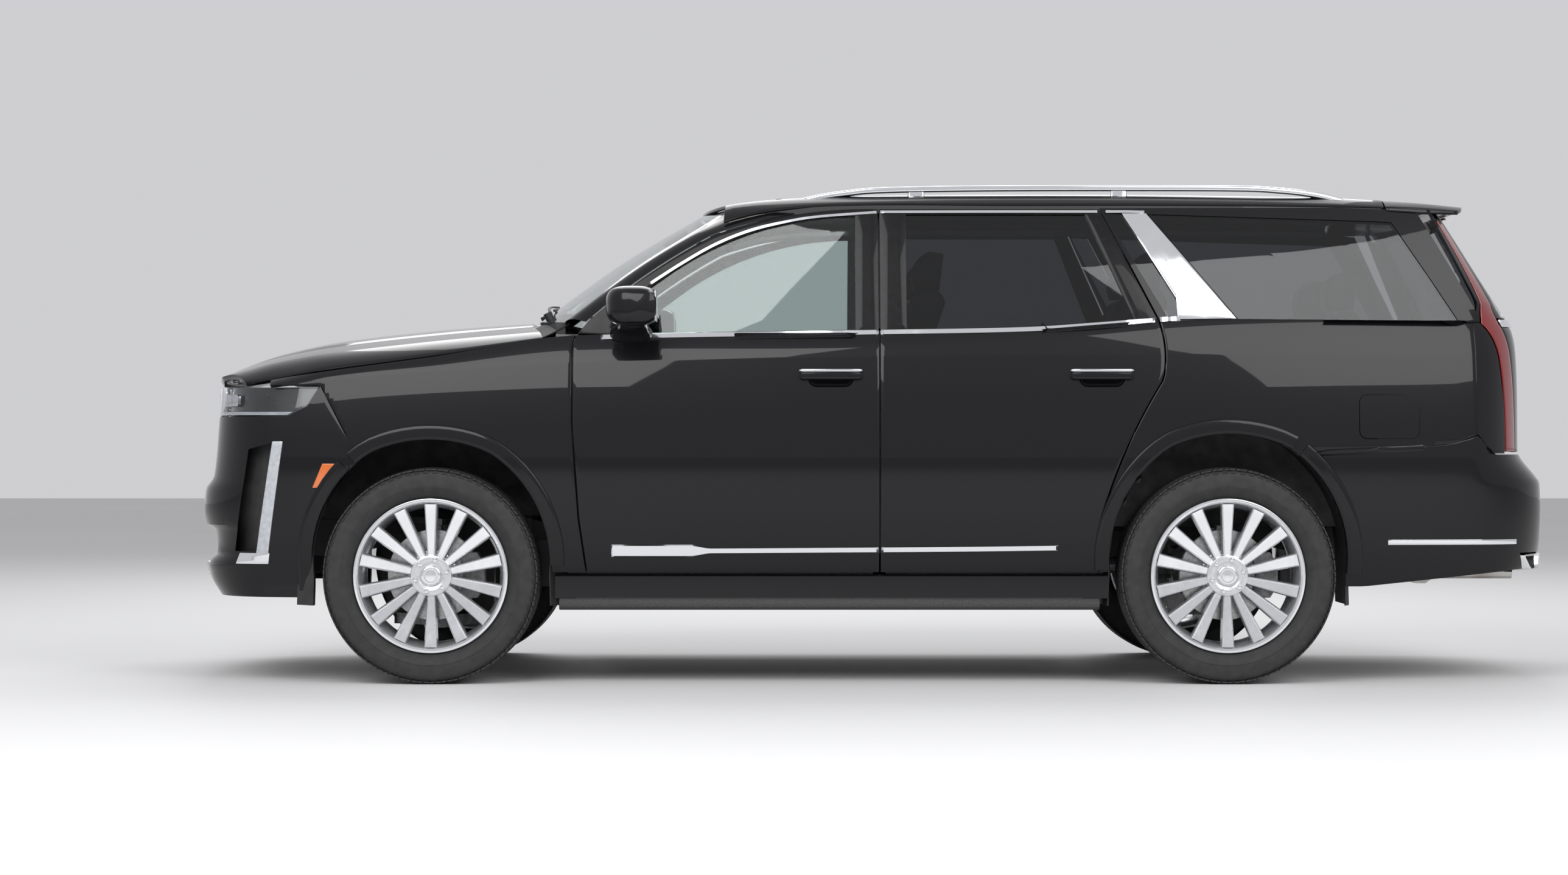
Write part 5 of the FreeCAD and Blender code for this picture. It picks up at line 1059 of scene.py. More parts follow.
def screen_at(side, up, depth=0.0):
    """Windscreen surface: side runs from -1 to 1 across the car, up from 0 at the cowl to 1 at the roof."""
    _, cx, cz, sx, sy, sz = faired(SCREEN_ROWS, min(max(up, 0.0), 1.0))
    return (cx + (sx - cx) * side**2 + depth * 0.62, sy * side, cz + (sz - cz) * side**2 - depth * 0.78)


glass_rows = [[screen_at(i / 24, j / 20, 0.001) for i in range(-24, 25)] for j in range(21)]
clear = finish("laminated windscreen glass", (0.86, 0.93, 0.91), 0.0, 0.01, Transmission_Weight=1.0,
    IOR=1.45)
worn(clear, 3, 0.005, 0.02)
screen = laid("windscreen_glass", glass_rows, clear, 0.005, towards=(-1, 0, 1), body="body", slot="glass")
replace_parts(screen, "windscreen")
print_black = grained(finish("black printed border", (0.006, 0.006, 0.006), rough=0.4), 200, 0.05)
border = []
for wide in (0.0, 0.5, 1.0):
    row = []
    for k in range(97):
        share = (k % 96) / 96 * 4
        side, up = ((-1 + 2 * share, 0) if share < 1 else (1,
            share - 1) if share < 2 else (1 - 2 * (share - 2), 1) if share < 3 else (-1, 4 - share))
        row.append(screen_at(side * (1 - 0.055 * wide), 0.5 + (up - 0.5) * (1 - 0.10 * wide), 0.0075))
    border.append(row)
laid("windscreen_border", border, print_black, 0.0008, towards=(-1, 0, 1), body="body",
    slot="frame_black")
pod = [[screen_at(side * 0.10 * (1 - 0.10 * j), 0.90 - 0.05 * j,
    0.012 + 0.035 * (1 - side**2) * (1 - abs(j - 1.5) / 3)) for side in [i / 6 for i in range(-6, 7)]]
    for j in range(4)]
laid("camera_cover", pod, print_black, 0.003, towards=(1, 0, -1), body="body", slot="cabin_black")
pillar_rows = []
for i in range(33):
    up = i / 32
    sx, sy, sz = screen_at(1.0, up)
    door_x = edge_at(FRONT_DOOR, min(sz, 1.8445), -1) - SHUT
    top = min(sz, 1.838)
    far = (door_x, upper_y(door_x, top), top)
    near = (sx + 0.001, sy + 0.003, sz + 0.002)
    row = [(sx + 0.012, sy - 0.010, sz - 0.030), near]
    for k in (0.15, 0.35, 0.6, 0.85):
        bulge = 0.011 * math.sin(math.pi * k)
        row.append((near[0] + (far[0] - near[0]) * k - bulge, near[1] + (far[1] - near[1]) * k + bulge,
            near[2] + (far[2] - near[2]) * k + bulge))
    row += [far, (far[0] + 0.001, far[1] - 0.030, far[2])]
    pillar_rows.append(row)
twin(laid("screen_pillar_right", pillar_rows, paint, 0.003, towards=(-1, 1, 0), body="body", slot="paint",
    crease=50))

# Hood
# A clamshell pressing with a raised centre, hinged at the cowl.
# Its section rises from low edges over soft shoulders; two crisp lines mark the raised middle.
HOOD_ROWS = [(-2.641, 0.800, 1.155, 1.158, 1.161), (-2.600, 0.802, 1.155, 1.166, 1.174),
    (-2.560, 0.812, 1.157, 1.184, 1.212), (-2.441, 0.842, 1.163, 1.214, 1.268),
    (-2.331, 0.870, 1.176, 1.242, 1.300), (-2.131, 0.932, 1.210, 1.276, 1.338),
    (-1.701, 0.958, 1.268, 1.326, 1.386), (-1.250, 0.948, 1.337, 1.372, 1.416),]


def hood_at(x, share):
    """Hood surface at a place along the car and a share of the way out to its right edge."""
    _, edge_y, low, shoulder, crown = faired(HOOD_ROWS, x)
    u = abs(share)
    if u < 0.86:
        z = crown - (crown - shoulder) * (u / 0.86) ** 2
        raised = min(1.0, max(0.0, (0.60 - u) / 0.045))
        z += 0.007 * raised * raised * (3 - 2 * raised) * min(1.0, max(0.0, (x + 2.60) / 0.5))
    else:
        t = (u - 0.86) / 0.14
        z = shoulder - (shoulder - low) * (0.52 * t + 0.48 * t**3)
    return share * edge_y, z


def hood_front(y):
    y = abs(y)
    return -2.625 + 0.062 * (y / 0.620) ** 2 if y < 0.620 else -2.563 + 0.5683 * (y - 0.620)


def hood_rear(y):
    return -1.367 + 0.112 * (y / 1.030) ** 2


def settled(limit, share, surface, guess):
    for _ in range(14):
        guess = limit(surface(guess, share)[0])
    return guess


hood_shares = [-1, -0.985, -0.96, -0.93, -0.90, -0.87] + [i / 40 * 0.85 for i in range(-40, 41)] + [0.87,
    0.90, 0.93, 0.96, 0.985, 1]
hood_rows = []
for share in hood_shares:
    start, stop = settled(hood_front, share, hood_at, -2.5), settled(hood_rear, share, hood_at, -1.3)
    row = []
    for i in range(65):
        t = i / 64
        x = start + (stop - start) * (t if t > 0.12 else t * (0.55 + 3.75 * t))
        y, z = hood_at(x, share)
        row.append((x, y, z))
    hood_rows.append(row)
hood = laid("hood_skin", hood_rows, paint, 0.020, towards=(0, 0, 1), edge=0.0025, body="hood",
    slot="paint", crease=28)
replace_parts(hood, "hood")

# Cowl and wipers
# A moulded scuttle fills the trough between hood and glass; two wiper arms lie along the glass.
# Arms and blades are thin bars laid on the windscreen's own surface, each with a spindle cap.
moulded = grained(speckled(finish("moulded black trim", (0.018, 0.018, 0.018), rough=0.6), 30,
    (0.015, 0.015, 0.015), (0.023, 0.023, 0.023)), 500, 0.15)
cowl_rows = []
for j in range(5):
    row = []
    for i in range(-24, 25):
        side = i / 24
        glass_edge = screen_at(side, 0.0)
        y = glass_edge[1]
        start = hood_rear(y) - 0.020
        x = start + (glass_edge[0] + 0.016 - start) * j / 4
        hood_z = hood_at(hood_rear(y), y / 0.95)[1]
        z = hood_z - 0.034 + (glass_edge[2] - 0.004 - hood_z + 0.034) * (j / 4) ** 1.3
        row.append((x, y, z))
    cowl_rows.append(row)
laid("cowl_trough", cowl_rows, moulded, 0.004, towards=(0, 0, 1), body="body", slot="frame_black")
for name, root, tip, low in (("left", -0.60, 0.10, 0.03), ("right", 0.10, 0.76, 0.03)):
    arm = [screen_at(root + 0.02 + (tip - root - 0.10) * k / 10, low + 0.02 + 0.07 * k / 10,
        -0.014 - 0.01 * math.sin(math.pi * k / 10)) for k in range(11)]
    swept(f"wiper_arm_{name}", arm, rounded(0.012, 0.007, 0.003, 2), moulded, "body", "frame_black")
    blade = [screen_at(root + 0.16 + (tip - root) * k / 14, low + 0.055 + 0.055 * k / 14, -0.006)
        for k in range(15)]
    swept(f"wiper_blade_{name}", blade, rounded(0.013, 0.009, 0.003, 2), moulded, "body", "frame_black")
    hub = screen_at(root, low, -0.012)
    swept(f"wiper_spindle_{name}", [(hub[0] + 0.01, hub[1], hub[2] - 0.02), (hub[0], hub[1], hub[2]),
        (hub[0] - 0.006, hub[1], hub[2] + 0.012)], rounded(0.034, 0.034, 0.0165, 5), moulded, "body",
        "frame_black", up=(0, 1, 0))

# Front bumper
# One moulded cover wraps the nose between the front wheel openings, with holes for grille, lamps and air.
# It is a skin round the nose, level over level; each hole is cut through it, over a black inner liner.
FACE_HALF = 0.620
# height, then how far the middle and the shoulder lie behind the nose
NOSE_ROWS = [(0.331, 0.062, 0.130), (0.400, 0.016, 0.088), (0.470, 0.014, 0.084), (0.490, 0.046, 0.112),
    (0.590, 0.040, 0.104), (0.610, 0.006, 0.070), (0.745, 0.002, 0.068), (0.800, 0.044, 0.100),
    (1.040, 0.072, 0.124), (1.150, 0.082, 0.132),]


def on_arc(a, via, b, t):
    """A place on the arc from a through via to b."""
    centre, radius, start, sweep = arc(Vector(a), Vector(via), Vector(b))
    angle = start + sweep * t
    return (centre.x + radius * math.cos(angle), centre.y + radius * math.sin(angle))


def corner_limit(z):
    """Where the nose cover ends on the side: at the fender's split line, or at the wheel opening."""
    edge = split_x(z) - SHUT
    return min(edge, edge_at(front_arch, z, -1)) if z < 0.940 else edge


def drawn_in(path, s, z, depth):
    """A place on a plan line, moved towards the inside of the car."""
    x, y = path(s, z)
    if depth:
        x0, y0 = path(max(0.0, s - 0.002), z)
        x1, y1 = path(min(1.0, s + 0.002), z)
        way = Vector((x1 - x0, y1 - y0)).normalized()
        turn = 1 if x1 > x0 else -1
        x, y = x + way.y * depth * turn, y - way.x * depth * turn
    return (x, y, z)


def nose_path(s, z):
    """Plan line of the nose: from the middle (0) over the shoulder (0.5) and corner (0.8) to the side (1)."""
    _, centre, shoulder = faired(NOSE_ROWS, z)
    face = NOSE + shoulder
    if s <= 0.5:
        y = FACE_HALF * s / 0.5
        return (NOSE + centre + (shoulder - centre) * (y / FACE_HALF) ** 2, y)
    join_y = lower_y(FRONT_JOIN, z)
    if s <= 0.8:
        return on_arc((face, FACE_HALF), ((FRONT_JOIN + 2 * face) / 3, 0.838 + (join_y - 0.950) * 0.6),
            (FRONT_JOIN, join_y), (s - 0.5) / 0.3)
    x = FRONT_JOIN + (corner_limit(z) - FRONT_JOIN) * (s - 0.8) / 0.2
    return (x, lower_y(x, z))


def nose(s, z, depth=0.0):
    return drawn_in(nose_path, s, z, depth)


def share_at(point, axis, value, z, low=0.0, high=1.0):
    """The share along a plan line at which it reaches a given x (axis 0) or y (axis 1)."""
    rising = point(high, z)[axis] > point(low, z)[axis]
    for _ in range(26):
        middle = (low + high) / 2
        if (point(middle, z)[axis] < value) == rising:
            low = middle
        else:
            high = middle
    return low


def panel(name, point, inner, outer, low, high, material, columns=24, levels=20, depth=0.0, top=None,
        bottom=None, both=False, **more):
    """A skin on a plan-line surface between two shares and two heights; both carries it over to the left."""
    rows = []
    for j in range(levels + 1):
        z = low + (high - low) * j / levels
        first, last = (edge(z) if callable(edge) else edge for edge in (inner, outer))
        row = []
        for i in range(columns + 1):
            s = first + (last - first) * i / columns
            place = point(s, z)[0]
            level = z + (bottom(place) - low) * (high - z) / (high - low) if bottom else z
            level = min(level, top(place)) if top else level
            row.append(point(s, level, depth))
        if both:
            row = [(x, -y, h) for x, y, h in reversed(row[1:])] + row
        rows.append(row)
    return laid(name, rows, material, **more)


GRILLE = traced([(0.632, 1.116), (0.488, 0.810), (0.0, 0.768), (-0.488, 0.810), (-0.632, 1.116)], 0.03)
surround_out = traced([(0.664, 1.148), (0.514, 0.792), (0.0, 0.737), (-0.514, 0.792), (-0.664, 1.148)],
    0.03)
cover = panel("front_bumper_skin", nose, 0.0, 1.0, 0.331, 1.1495, paint, 70, 56, both=True,
    thickness=0.012, towards=(-1, 0, 0), edge=0.0015, body="body", slot="paint")
holes = [boxed("grille_cut", pulled(surround_out, 0.001)[:-1] + [(-0.664, 1.20), (0.664, 1.20)], "x",
    -2.80, -2.40, paint, edge=0), boxed("lamp_cut", [(-2.740, 1.200), (-2.100, 1.200), (-2.127, 1.149),
    (-2.178, 1.071), (-2.253, 1.033), (-2.740, 1.030)], "y", -1.2, 1.2, paint, edge=0),
    boxed("air_cut", traced([(-0.562, 0.498), (0.562, 0.498), (0.522, 0.584), (-0.522, 0.584)], 0.2), "x",
    -2.80, -2.40, paint, edge=0),]
for sign in (-1, 1):
    pocket = [(-2.476, 0.508), (-2.335, 0.508), (-2.272, 0.940), (-2.413, 0.905)]
    holes.append(boxed("pocket_cut", pocket, "y", sign * 0.60, sign * 1.2, paint, edge=0))
for hole in holes:
    carved(cover, hole)
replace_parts(cover, "front_bumper")
panel("nose_liner", nose, 0.0, 0.92, 0.36, 1.140, moulded, 40, 20, depth=0.055, both=True,
    thickness=0.004, towards=(-1, 0, 0), body="body", slot="frame_black")

# Grille
# A tall polished frame holds a mesh of short bright dashes, staggered row over row before a black grid.
# The frame is a ring on the nose's surface; each dash is a small faceted bar, all set in one run.


def nose_x(y, z):
    return nose(share_at(nose, 1, abs(y), z, 0.0, 0.8), z)[0]


surround = ringed("grille_frame", surround_out, GRILLE, lambda y, z: (nose_x(y, z) - 0.004, y, z), chrome,
    steps=4, centre=(0.0, 0.95), thickness=0.034, towards=(-1, 0, 0), edge=0.004, body="body",
    slot="chrome")
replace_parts(surround, "grille_surround")
black_gloss = worn(finish("gloss black grid", (0.010, 0.010, 0.011), 0.0, 0.2, 0.5), 30, 0.16, 0.28)


def grille_bars(name, places, material, slot):
    """Faceted bars; a place is y, z, half length, half height, depth behind the surface and stand."""
    shape = bmesh.new()
    for y, z, half, tall, sunk, stand in places:
        x = nose_x(y, z) + sunk
        back = [shape.verts.new((x, y + a * half, z + b * tall))
            for a, b in ((-1, -1), (1, -1), (1, 1), (-1, 1))]
        rim = [shape.verts.new((x - 0.6 * stand, y + a * half, z + b * tall))
            for a, b in ((-1, -1), (1, -1), (1, 1), (-1, 1))]
        ridge = [shape.verts.new((x - stand, y + a * (half - tall), z)) for a in (-1, 1)]
        shape.faces.new(back)
        for i in range(4):
            shape.faces.new((back[i], back[(i + 1) % 4], rim[(i + 1) % 4], rim[i]))
        shape.faces.new((rim[0], rim[1], ridge[1], ridge[0]))
        shape.faces.new((rim[1], rim[2], ridge[1]))
        shape.faces.new((rim[2], rim[3], ridge[0], ridge[1]))
        shape.faces.new((rim[3], rim[0], ridge[0]))
    bmesh.ops.recalc_face_normals(shape, faces=shape.faces)
    mesh = bpy.data.meshes.new(name)
    shape.to_mesh(mesh)
    shape.free()
    piece = placed(name, mesh)
    return finished(piece, material, 0.0, 0.0, "body", slot, 20)


dashes, grid = [], []
for r in range(12):
    z = 0.794 + 0.0275 * r
    reach = 0.478 + 0.144 * max(0.0, min(1.0, (z - 0.810) / 0.306)) - 0.006
    y = -reach + (0.022 if r % 2 else 0.050)
    grid.append((0.0, z - 0.0137, reach - 0.002, 0.0035, 0.030, 0.008))
    while y < reach - 0.020:
        bottom = 0.768 + 0.042 * min(1.0, abs(y) / 0.488)
        if z > bottom + 0.010:
            half = min(0.038, reach - y, y + reach)
            dashes.append((y, z, half, 0.0055, 0.018, 0.013))
        y += 0.094
grid = [(y + (k - 5.5) / 12 * 2 * half, z, half / 12 + 0.002, tall, sunk, stand)
    for y, z, half, tall, sunk, stand in grid for k in range(12)]
grille_bars("grille_grid", grid, black_gloss, "grille_black")
mesh_bars = grille_bars("grille_dashes", dashes, chrome, "chrome")
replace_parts(mesh_bars, "grille")

# Headlamps and light blades
# Slim lamps wrap the corners above tall upright light guides; each has a clear cover over bright optics.
# Covers follow the nose's surface; optics are stepped cups in a row behind them.
lens_clear = finish("clear lamp cover", (0.92, 0.94, 0.95), 0.0, 0.02, Transmission_Weight=1.0, IOR=1.3)
worn(lens_clear, 5, 0.01, 0.03)
light_guide = speckled(finish("frosted light guide", (0.42, 0.44, 0.47), 0.0, 0.25, 0.6), 60,
    (0.38, 0.40, 0.43), (0.48, 0.50, 0.53))
optic = worn(finish("lamp reflector", (0.60, 0.61, 0.63), 1.0, 0.14), 40, 0.08, 0.22)


def lamp_inner(z):
    return share_at(nose, 1, 0.5145 + 0.150 * (z - 0.792) / 0.356 + 0.006, z, 0.0, 0.8)


def lamp_outer(z):
    x = -2.253 + 0.075 * (z - 1.034) / 0.038 if z < 1.072 else -2.178 + 0.049 * (z - 1.072) / 0.077
    return share_at(nose, 0, min(x, corner_limit(z)) - 0.003, z, 0.0, 1.0)


lamp = panel("headlamp_cover_right", nose, lamp_inner, lamp_outer, 1.0345, 1.1465, lens_clear, 34, 8,
    depth=0.0015, thickness=0.003, towards=(-1, 1, 0), body="body", slot="lamp_clear")
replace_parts(lamp, "front_lamps")
twin(lamp)
twin(panel("headlamp_tray_right", nose, lambda z: lamp_inner(z) + 0.004, lambda z: lamp_outer(z) - 0.004,
    1.037, 1.144, black_gloss, 30, 6, depth=0.040, thickness=0.003, towards=(-1, 1, 0), body="body",
    slot="frame_black"))
for k in range(4):
    s = lamp_inner(1.09) + 0.020 + 0.036 * k
    middle = Vector(nose(s, 1.094, 0.016))
    behind = Vector(nose(s, 1.094, 0.036))
    twin(swept(f"headlamp_optic_{k + 1}_right", [middle.lerp(behind, t) for t in (0, 0.15, 0.8, 1)],
        rounded(0.052, 0.046, 0.010), optic, "body", "lamp_clear", sizes=[0.86, 1.0, 1.0, 0.8]))
line = panel("headlamp_light_line_right", nose, lambda z: lamp_inner(z) + 0.006,
    lambda z: lamp_outer(z) - 0.008, 1.037, 1.049, light_guide, 30, 2, depth=0.008, thickness=0.010,
    towards=(-1, 1, 0), body="body", slot="lamp_clear")
twin(line)


def blade_share(front):
    rows = ((-2.391, -2.315), (-2.341, -2.273))[0 if front else 1]
    return lambda z: share_at(nose, 0, rows[0] + (rows[1] - rows[0]) * (z - 0.462) / 0.476, z)


blade = panel("light_blade_right", nose, blade_share(True), blade_share(False), 0.500, 0.936, light_guide,
    4, 24, depth=-0.003, thickness=0.022, towards=(-1, 1, 0), edge=0.004, body="body", slot="lamp_clear")
twin(blade)
twin(panel("blade_foot_right", nose, lambda z: share_at(nose, 0, -2.469 + 0.4 * (z - 0.459), z),
    lambda z: share_at(nose, 0, -2.334 + 0.14 * (z - 0.459), z), 0.459, 0.503, chrome, 16, 3,
    depth=-0.006, thickness=0.020, towards=(-1, 1, 0), edge=0.004, body="body", slot="chrome"))
air_grid = []
for r in range(3):
    for k in range(9):
        air_grid.append(((k - 4) * 0.118, 0.516 + 0.025 * r, 0.056, 0.004, 0.030, 0.010))
grille_bars("air_intake_bars", air_grid, black_gloss, "grille_black")
panel("front_skid_trim", nose, 0.0, 0.46, 0.405, 0.462, optic, 20, 4, depth=-0.004, both=True,
    thickness=0.010, towards=(-1, 0, 0), edge=0.003, body="body", slot="chrome")

# Rear bumper
# One moulded cover wraps the tail between the rear wheel openings, with two holes for the exhaust tips.
# It is a skin laid level over level round the tail, over a black liner; strips and reflectors sit on it.
# height, then how far the middle and the shoulder lie ahead of the tail
TAIL_ROWS = [(0.375, 0.070, 0.110), (0.450, 0.018, 0.062), (0.570, 0.000, 0.046), (0.770, 0.000, 0.046),
    (0.800, 0.022, 0.066), (0.884, 0.096, 0.136), (0.962, 0.102, 0.140)]
# the gate bends forward above this height
BEND_Z = 1.392
GATE_ROWS = [(0.880, 0.104, 0.140), (1.275, 0.110, 0.146), (BEND_Z, 0.134, 0.172), (1.640, 0.278, 0.320),
    (1.866, 0.412, 0.458)]


def tail_limit(z):
    """Where the tail cover ends on the side, at the rear wheel opening."""
    return edge_at(rear_arch, z, 1) if z < 0.940 else REAR_AXLE + 0.300


def tail_path(rows, limited):
    def path(s, z):
        _, centre, shoulder = faired(rows, z)
        face = TAIL - shoulder
        if z > BEND_Z and not limited:
            up = (z - BEND_Z) / 0.474
            wide = FACE_HALF - 0.035 * up - 0.02 * min(1.0, up * 8)
            join_x = REAR_JOIN + 0.060 * min(1.0, up * 6) - 0.215 * up
            join_y = upper_y(join_x, z)
        else:
            wide, join_x, join_y = FACE_HALF, REAR_JOIN, lower_y(REAR_JOIN, z)
        if s <= 0.5:
            y = wide * s / 0.5
            return (TAIL - centre - (shoulder - centre) * (y / wide) ** 2, y)
        if s <= 0.8:
            return on_arc((face, wide), ((join_x + 2 * face) / 3, wide + 0.218 + (join_y - 0.950) * 0.6),
                (join_x, join_y), (s - 0.5) / 0.3)
        x = REAR_JOIN + ((tail_limit(z) if limited else join_x) - REAR_JOIN) * (s - 0.8) / 0.2
        return (x, lower_y(x, z))
    return path


def tail(s, z, depth=0.0):
    return drawn_in(tail_path(TAIL_ROWS, True), s, z, depth)


def gate(s, z, depth=0.0):
    return drawn_in(tail_path(GATE_ROWS, False), s, z, depth)


def cover_top(x):
    if x < REAR_AXLE + 0.968:
        return max(quarter_low(x), 0.893) - SHUT
    return max(0.884, 0.956 - 1.2 * (x - REAR_AXLE - 0.968))


def cover_low(x):
    """The cover's lower edge, rising from the wheel opening to the tail."""
    return 0.375 + 0.078 * max(0.0, min(1.0, (x - 1.900) / 0.75))


rear_cover = panel("rear_bumper_skin", tail, 0.0, 1.0, 0.375, 0.960, paint, 84, 40, top=cover_top,
    bottom=cover_low, both=True, thickness=0.012, towards=(1, 0, 0), edge=0.0015, body="body",
    slot="paint")
for sign in (-1, 1):
    hole = boxed("tip_cut", [(sign * 0.562, 0.502), (sign * 0.852, 0.502), (sign * 0.812, 0.424),
        (sign * 0.592, 0.424)], "x", 2.35, 2.80, paint, edge=0)
    carved(rear_cover, hole)
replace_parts(rear_cover, "rear_bumper")
panel("tail_liner", tail, 0.0, 0.78, 0.520, 0.870, moulded, 30, 10, depth=0.050, both=True,
    thickness=0.004, towards=(1, 0, 0), body="body", slot="frame_black")
panel("rear_step_pad", tail, 0.0, 0.50, 0.806, 0.868, moulded, 20, 4, depth=-0.003, both=True,
    thickness=0.006, towards=(1, 0, 0), edge=0.002, body="body", slot="step_black")
panel("rear_valance", tail, 0.0, 0.42, 0.456, 0.512, black_gloss, 20, 6, depth=-0.003, both=True,
    thickness=0.006, towards=(1, 0, 0), edge=0.002, body="body", slot="frame_black")
twin(panel("rear_reflector_right", tail, 0.36, 0.46, 0.536, 0.556,
    worn(finish("red reflector", (0.42, 0.008, 0.008), 0.0, 0.12, 1.0), 40, 0.08, 0.2), 8, 2,
    depth=-0.004, thickness=0.008, towards=(1, 0, 0), edge=0.002, body="body", slot="lamp_red"))
twin(panel("rear_bumper_strip_right", tail, lambda z: share_at(tail, 0, 2.500, z, 0.5, 1.0),
    lambda z: share_at(tail, 0, 1.984, z, 0.5, 1.0), 0.536, 0.556, chrome, 26, 2, depth=-0.005,
    thickness=0.010, towards=(0, 1, 0), edge=0.002, body="body", slot="chrome"))

# Exhaust tips
# Two polished trapezoid tubes stand in the bumper's holes, rolled at the rim and dark inside.
# Each is a ring of rounded trapezoids run from the rim inwards, open at the back.


TIP_MIDDLE = (0.704, 0.464)


def tip_ring(grow, x):
    """A rounded trapezoid round a tip's middle, set back with the bumper's face."""
    outline_points = [(0.574, 0.494), (0.840, 0.494), (0.800, 0.434), (0.598, 0.434)]
    rounded_points = []
    for i, p in enumerate(outline_points):
        a, b = Vector(outline_points[i - 1]), Vector(outline_points[(i + 1) % 4])
        p = Vector(p)
        into, out = (a - p).normalized() * 0.016, (b - p).normalized() * 0.016
        for k in range(5):
            t = k / 4
            rounded_points.append((p + into) * (1 - t) ** 2 + p * 2 * t * (1 - t) + (p + out) * t**2)
    row = []
    for p in rounded_points + rounded_points[:1]:
        away = (p - Vector(TIP_MIDDLE)).normalized()
        face = tail(share_at(tail, 1, p.x, 0.470, 0.3, 0.8), 0.470)[0]
        row.append((x - 2.668 + face + 0.004, p.x + away.x * grow, p.y + away.y * grow * 0.8))
    return row


sooty = speckled(finish("sooty steel", (0.05, 0.05, 0.05), 0.6, 0.6), 60, (0.03, 0.03, 0.03),
    (0.08, 0.08, 0.08))
tip = laid("exhaust_tip_right", [tip_ring(g, x) for g, x in ((-0.010, 2.560), (0.0, 2.565), (0.0, 2.668),
    (-0.001, 2.676), (-0.004, 2.680), (-0.010, 2.677), (-0.0125, 2.668), (-0.013, 2.560))], chrome,
    towards=(0, 0, 0), body="body", slot="exhaust_steel")
twin(tip)
twin(laid("exhaust_throat_right", [tip_ring(g, x) for g, x in ((-0.0132, 2.655), (-0.0135, 2.620),
    (-0.03, 2.617))] + [[(2.560, *TIP_MIDDLE)] * 21], sooty, towards=(1, 0, 0), body="body",
    slot="exhaust_steel"))

# Tail lamps and rear corners
# Tall red lamps run from the bumper to the roof on painted corners, bent forward with the glass.
# Lenses and corners share the tail's surface; a red light guide stands behind each lens.


def lamp_edge(z, outer):
    if z <= BEND_Z:
        return 0.876 if outer else 0.806 + 0.011 * (z - 0.890) / 0.502
    t = (z - BEND_Z) / 0.412
    return 0.876 - 0.134 * t if outer else 0.817 - 0.108 * t


def gate_share(y_of):
    return lambda z: share_at(gate, 1, y_of(z), z, 0.3, 0.8)


lens_red = worn(finish("red lamp lens", (0.24, 0.003, 0.004), 0.0, 0.06, 1.0, Transmission_Weight=0.3,
    IOR=1.45), 20, 0.04, 0.1)
lens = panel("tail_lamp_lens_right", gate, gate_share(lambda z: lamp_edge(z, False) + 0.002),
    gate_share(lambda z: lamp_edge(z, True)), 0.896, 1.800, lens_red, 8, 60, depth=-0.004,
    thickness=0.006, towards=(1, 1, 0), edge=0.002, body="body", slot="lamp_red", crease=50)
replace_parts(lens, "tail_lamps")
twin(lens)
glow = worn(finish("red light guide", (0.45, 0.008, 0.010), 0.0, 0.3, 0.4), 60, 0.2, 0.4)
twin(panel("tail_light_guide_right", gate, gate_share(lambda z: lamp_edge(z, False) + 0.028),
    gate_share(lambda z: lamp_edge(z, True) - 0.018), 0.910, 1.785, glow, 4, 60, depth=0.004,
    thickness=0.006, towards=(1, 1, 0), edge=0.001, body="body", slot="lamp_red", crease=50))
twin(panel("tail_lamp_housing_right", gate, gate_share(lambda z: lamp_edge(z, False) + 0.002),
    gate_share(lambda z: lamp_edge(z, True)), 0.896, 1.800, black_gloss, 8, 40, depth=0.022,
    thickness=0.004, towards=(1, 1, 0), body="body", slot="frame_black", crease=50))


corner = []
for j in range(41):
    level = 0.888 + (1.400 - 0.888) * j / 40
    row = []
    for i in range(21):
        s = 0.8 + (share_at(gate, 1, 0.880, level, 0.3, 0.8) - 0.8) * i / 20
        x = gate(s, level)[0]
        z = max(level, cover_top(x) + SHUT)
        row.append(gate(s, z))
    corner.append(row)
twin(laid("rear_corner_skin_right", corner, paint, 0.012, towards=(1, 1, 0), edge=0.0015, body="body",
    slot="paint"))
twin(panel("upper_corner_skin_right", gate, gate_share(lambda z: lamp_edge(z, True) + 0.003), 0.8, 1.402,
    1.846, paint, 12, 30, thickness=0.010, towards=(1, 1, 0), body="body", slot="paint", crease=50))

# Tailgate
# A painted gate with a blank plate recess, a bright bar at the belt, tinted glass and a spoiler on top.
# Skins are cut from the tail's surface; the recess is a pressed tray with two screw sockets.


def gate_edge(z):
    if z <= BEND_Z:
        return 0.797 + 0.014 * (z - 0.890) / 0.502
    return 0.811 - 0.124 * (z - BEND_Z) / 0.446


def gate_x(y, z):
    return gate(share_at(gate, 1, abs(y), z, 0.0, 0.8), z)[0]


gate_skin = panel("tailgate_skin", gate, 0.0, gate_share(gate_edge), 0.893, 1.380, paint, 44, 36,
    both=True, thickness=0.018, towards=(1, 0, 0), edge=0.003, body="tailgate", slot="paint")
RECESS_Z, RECESS_X, SCREW_Y, SCREW_Z = 1.105, 2.559, 0.089, 1.160
recess = [(y, z + RECESS_Z) for y, z in rounded(0.620, 0.170, 0.030, 5)]
recess = [(y * (1.0 + (RECESS_Z - z) * 0.6), z) for y, z in recess]
carved(gate_skin, boxed("recess_cut", recess, "x", 2.50, 2.80, paint, edge=0))
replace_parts(gate_skin, "tailgate")
tray_rows = [[(gate_x(y, z) - 0.0005, y, z) for y, z in recess + recess[:1]]]
for x, share in ((2.566, 1.0), (2.561, 0.992), (RECESS_X, 0.97), (RECESS_X, 0.5)):
    tray_rows.append([(x, y * share, RECESS_Z + (z - RECESS_Z) * share) for y, z in recess + recess[:1]])
tray_rows.append([(RECESS_X, 0.0, RECESS_Z)] * len(tray_rows[0]))
laid("plate_recess_tray", tray_rows, paint, 0.002, towards=(1, 0, 0), body="tailgate", slot="paint")
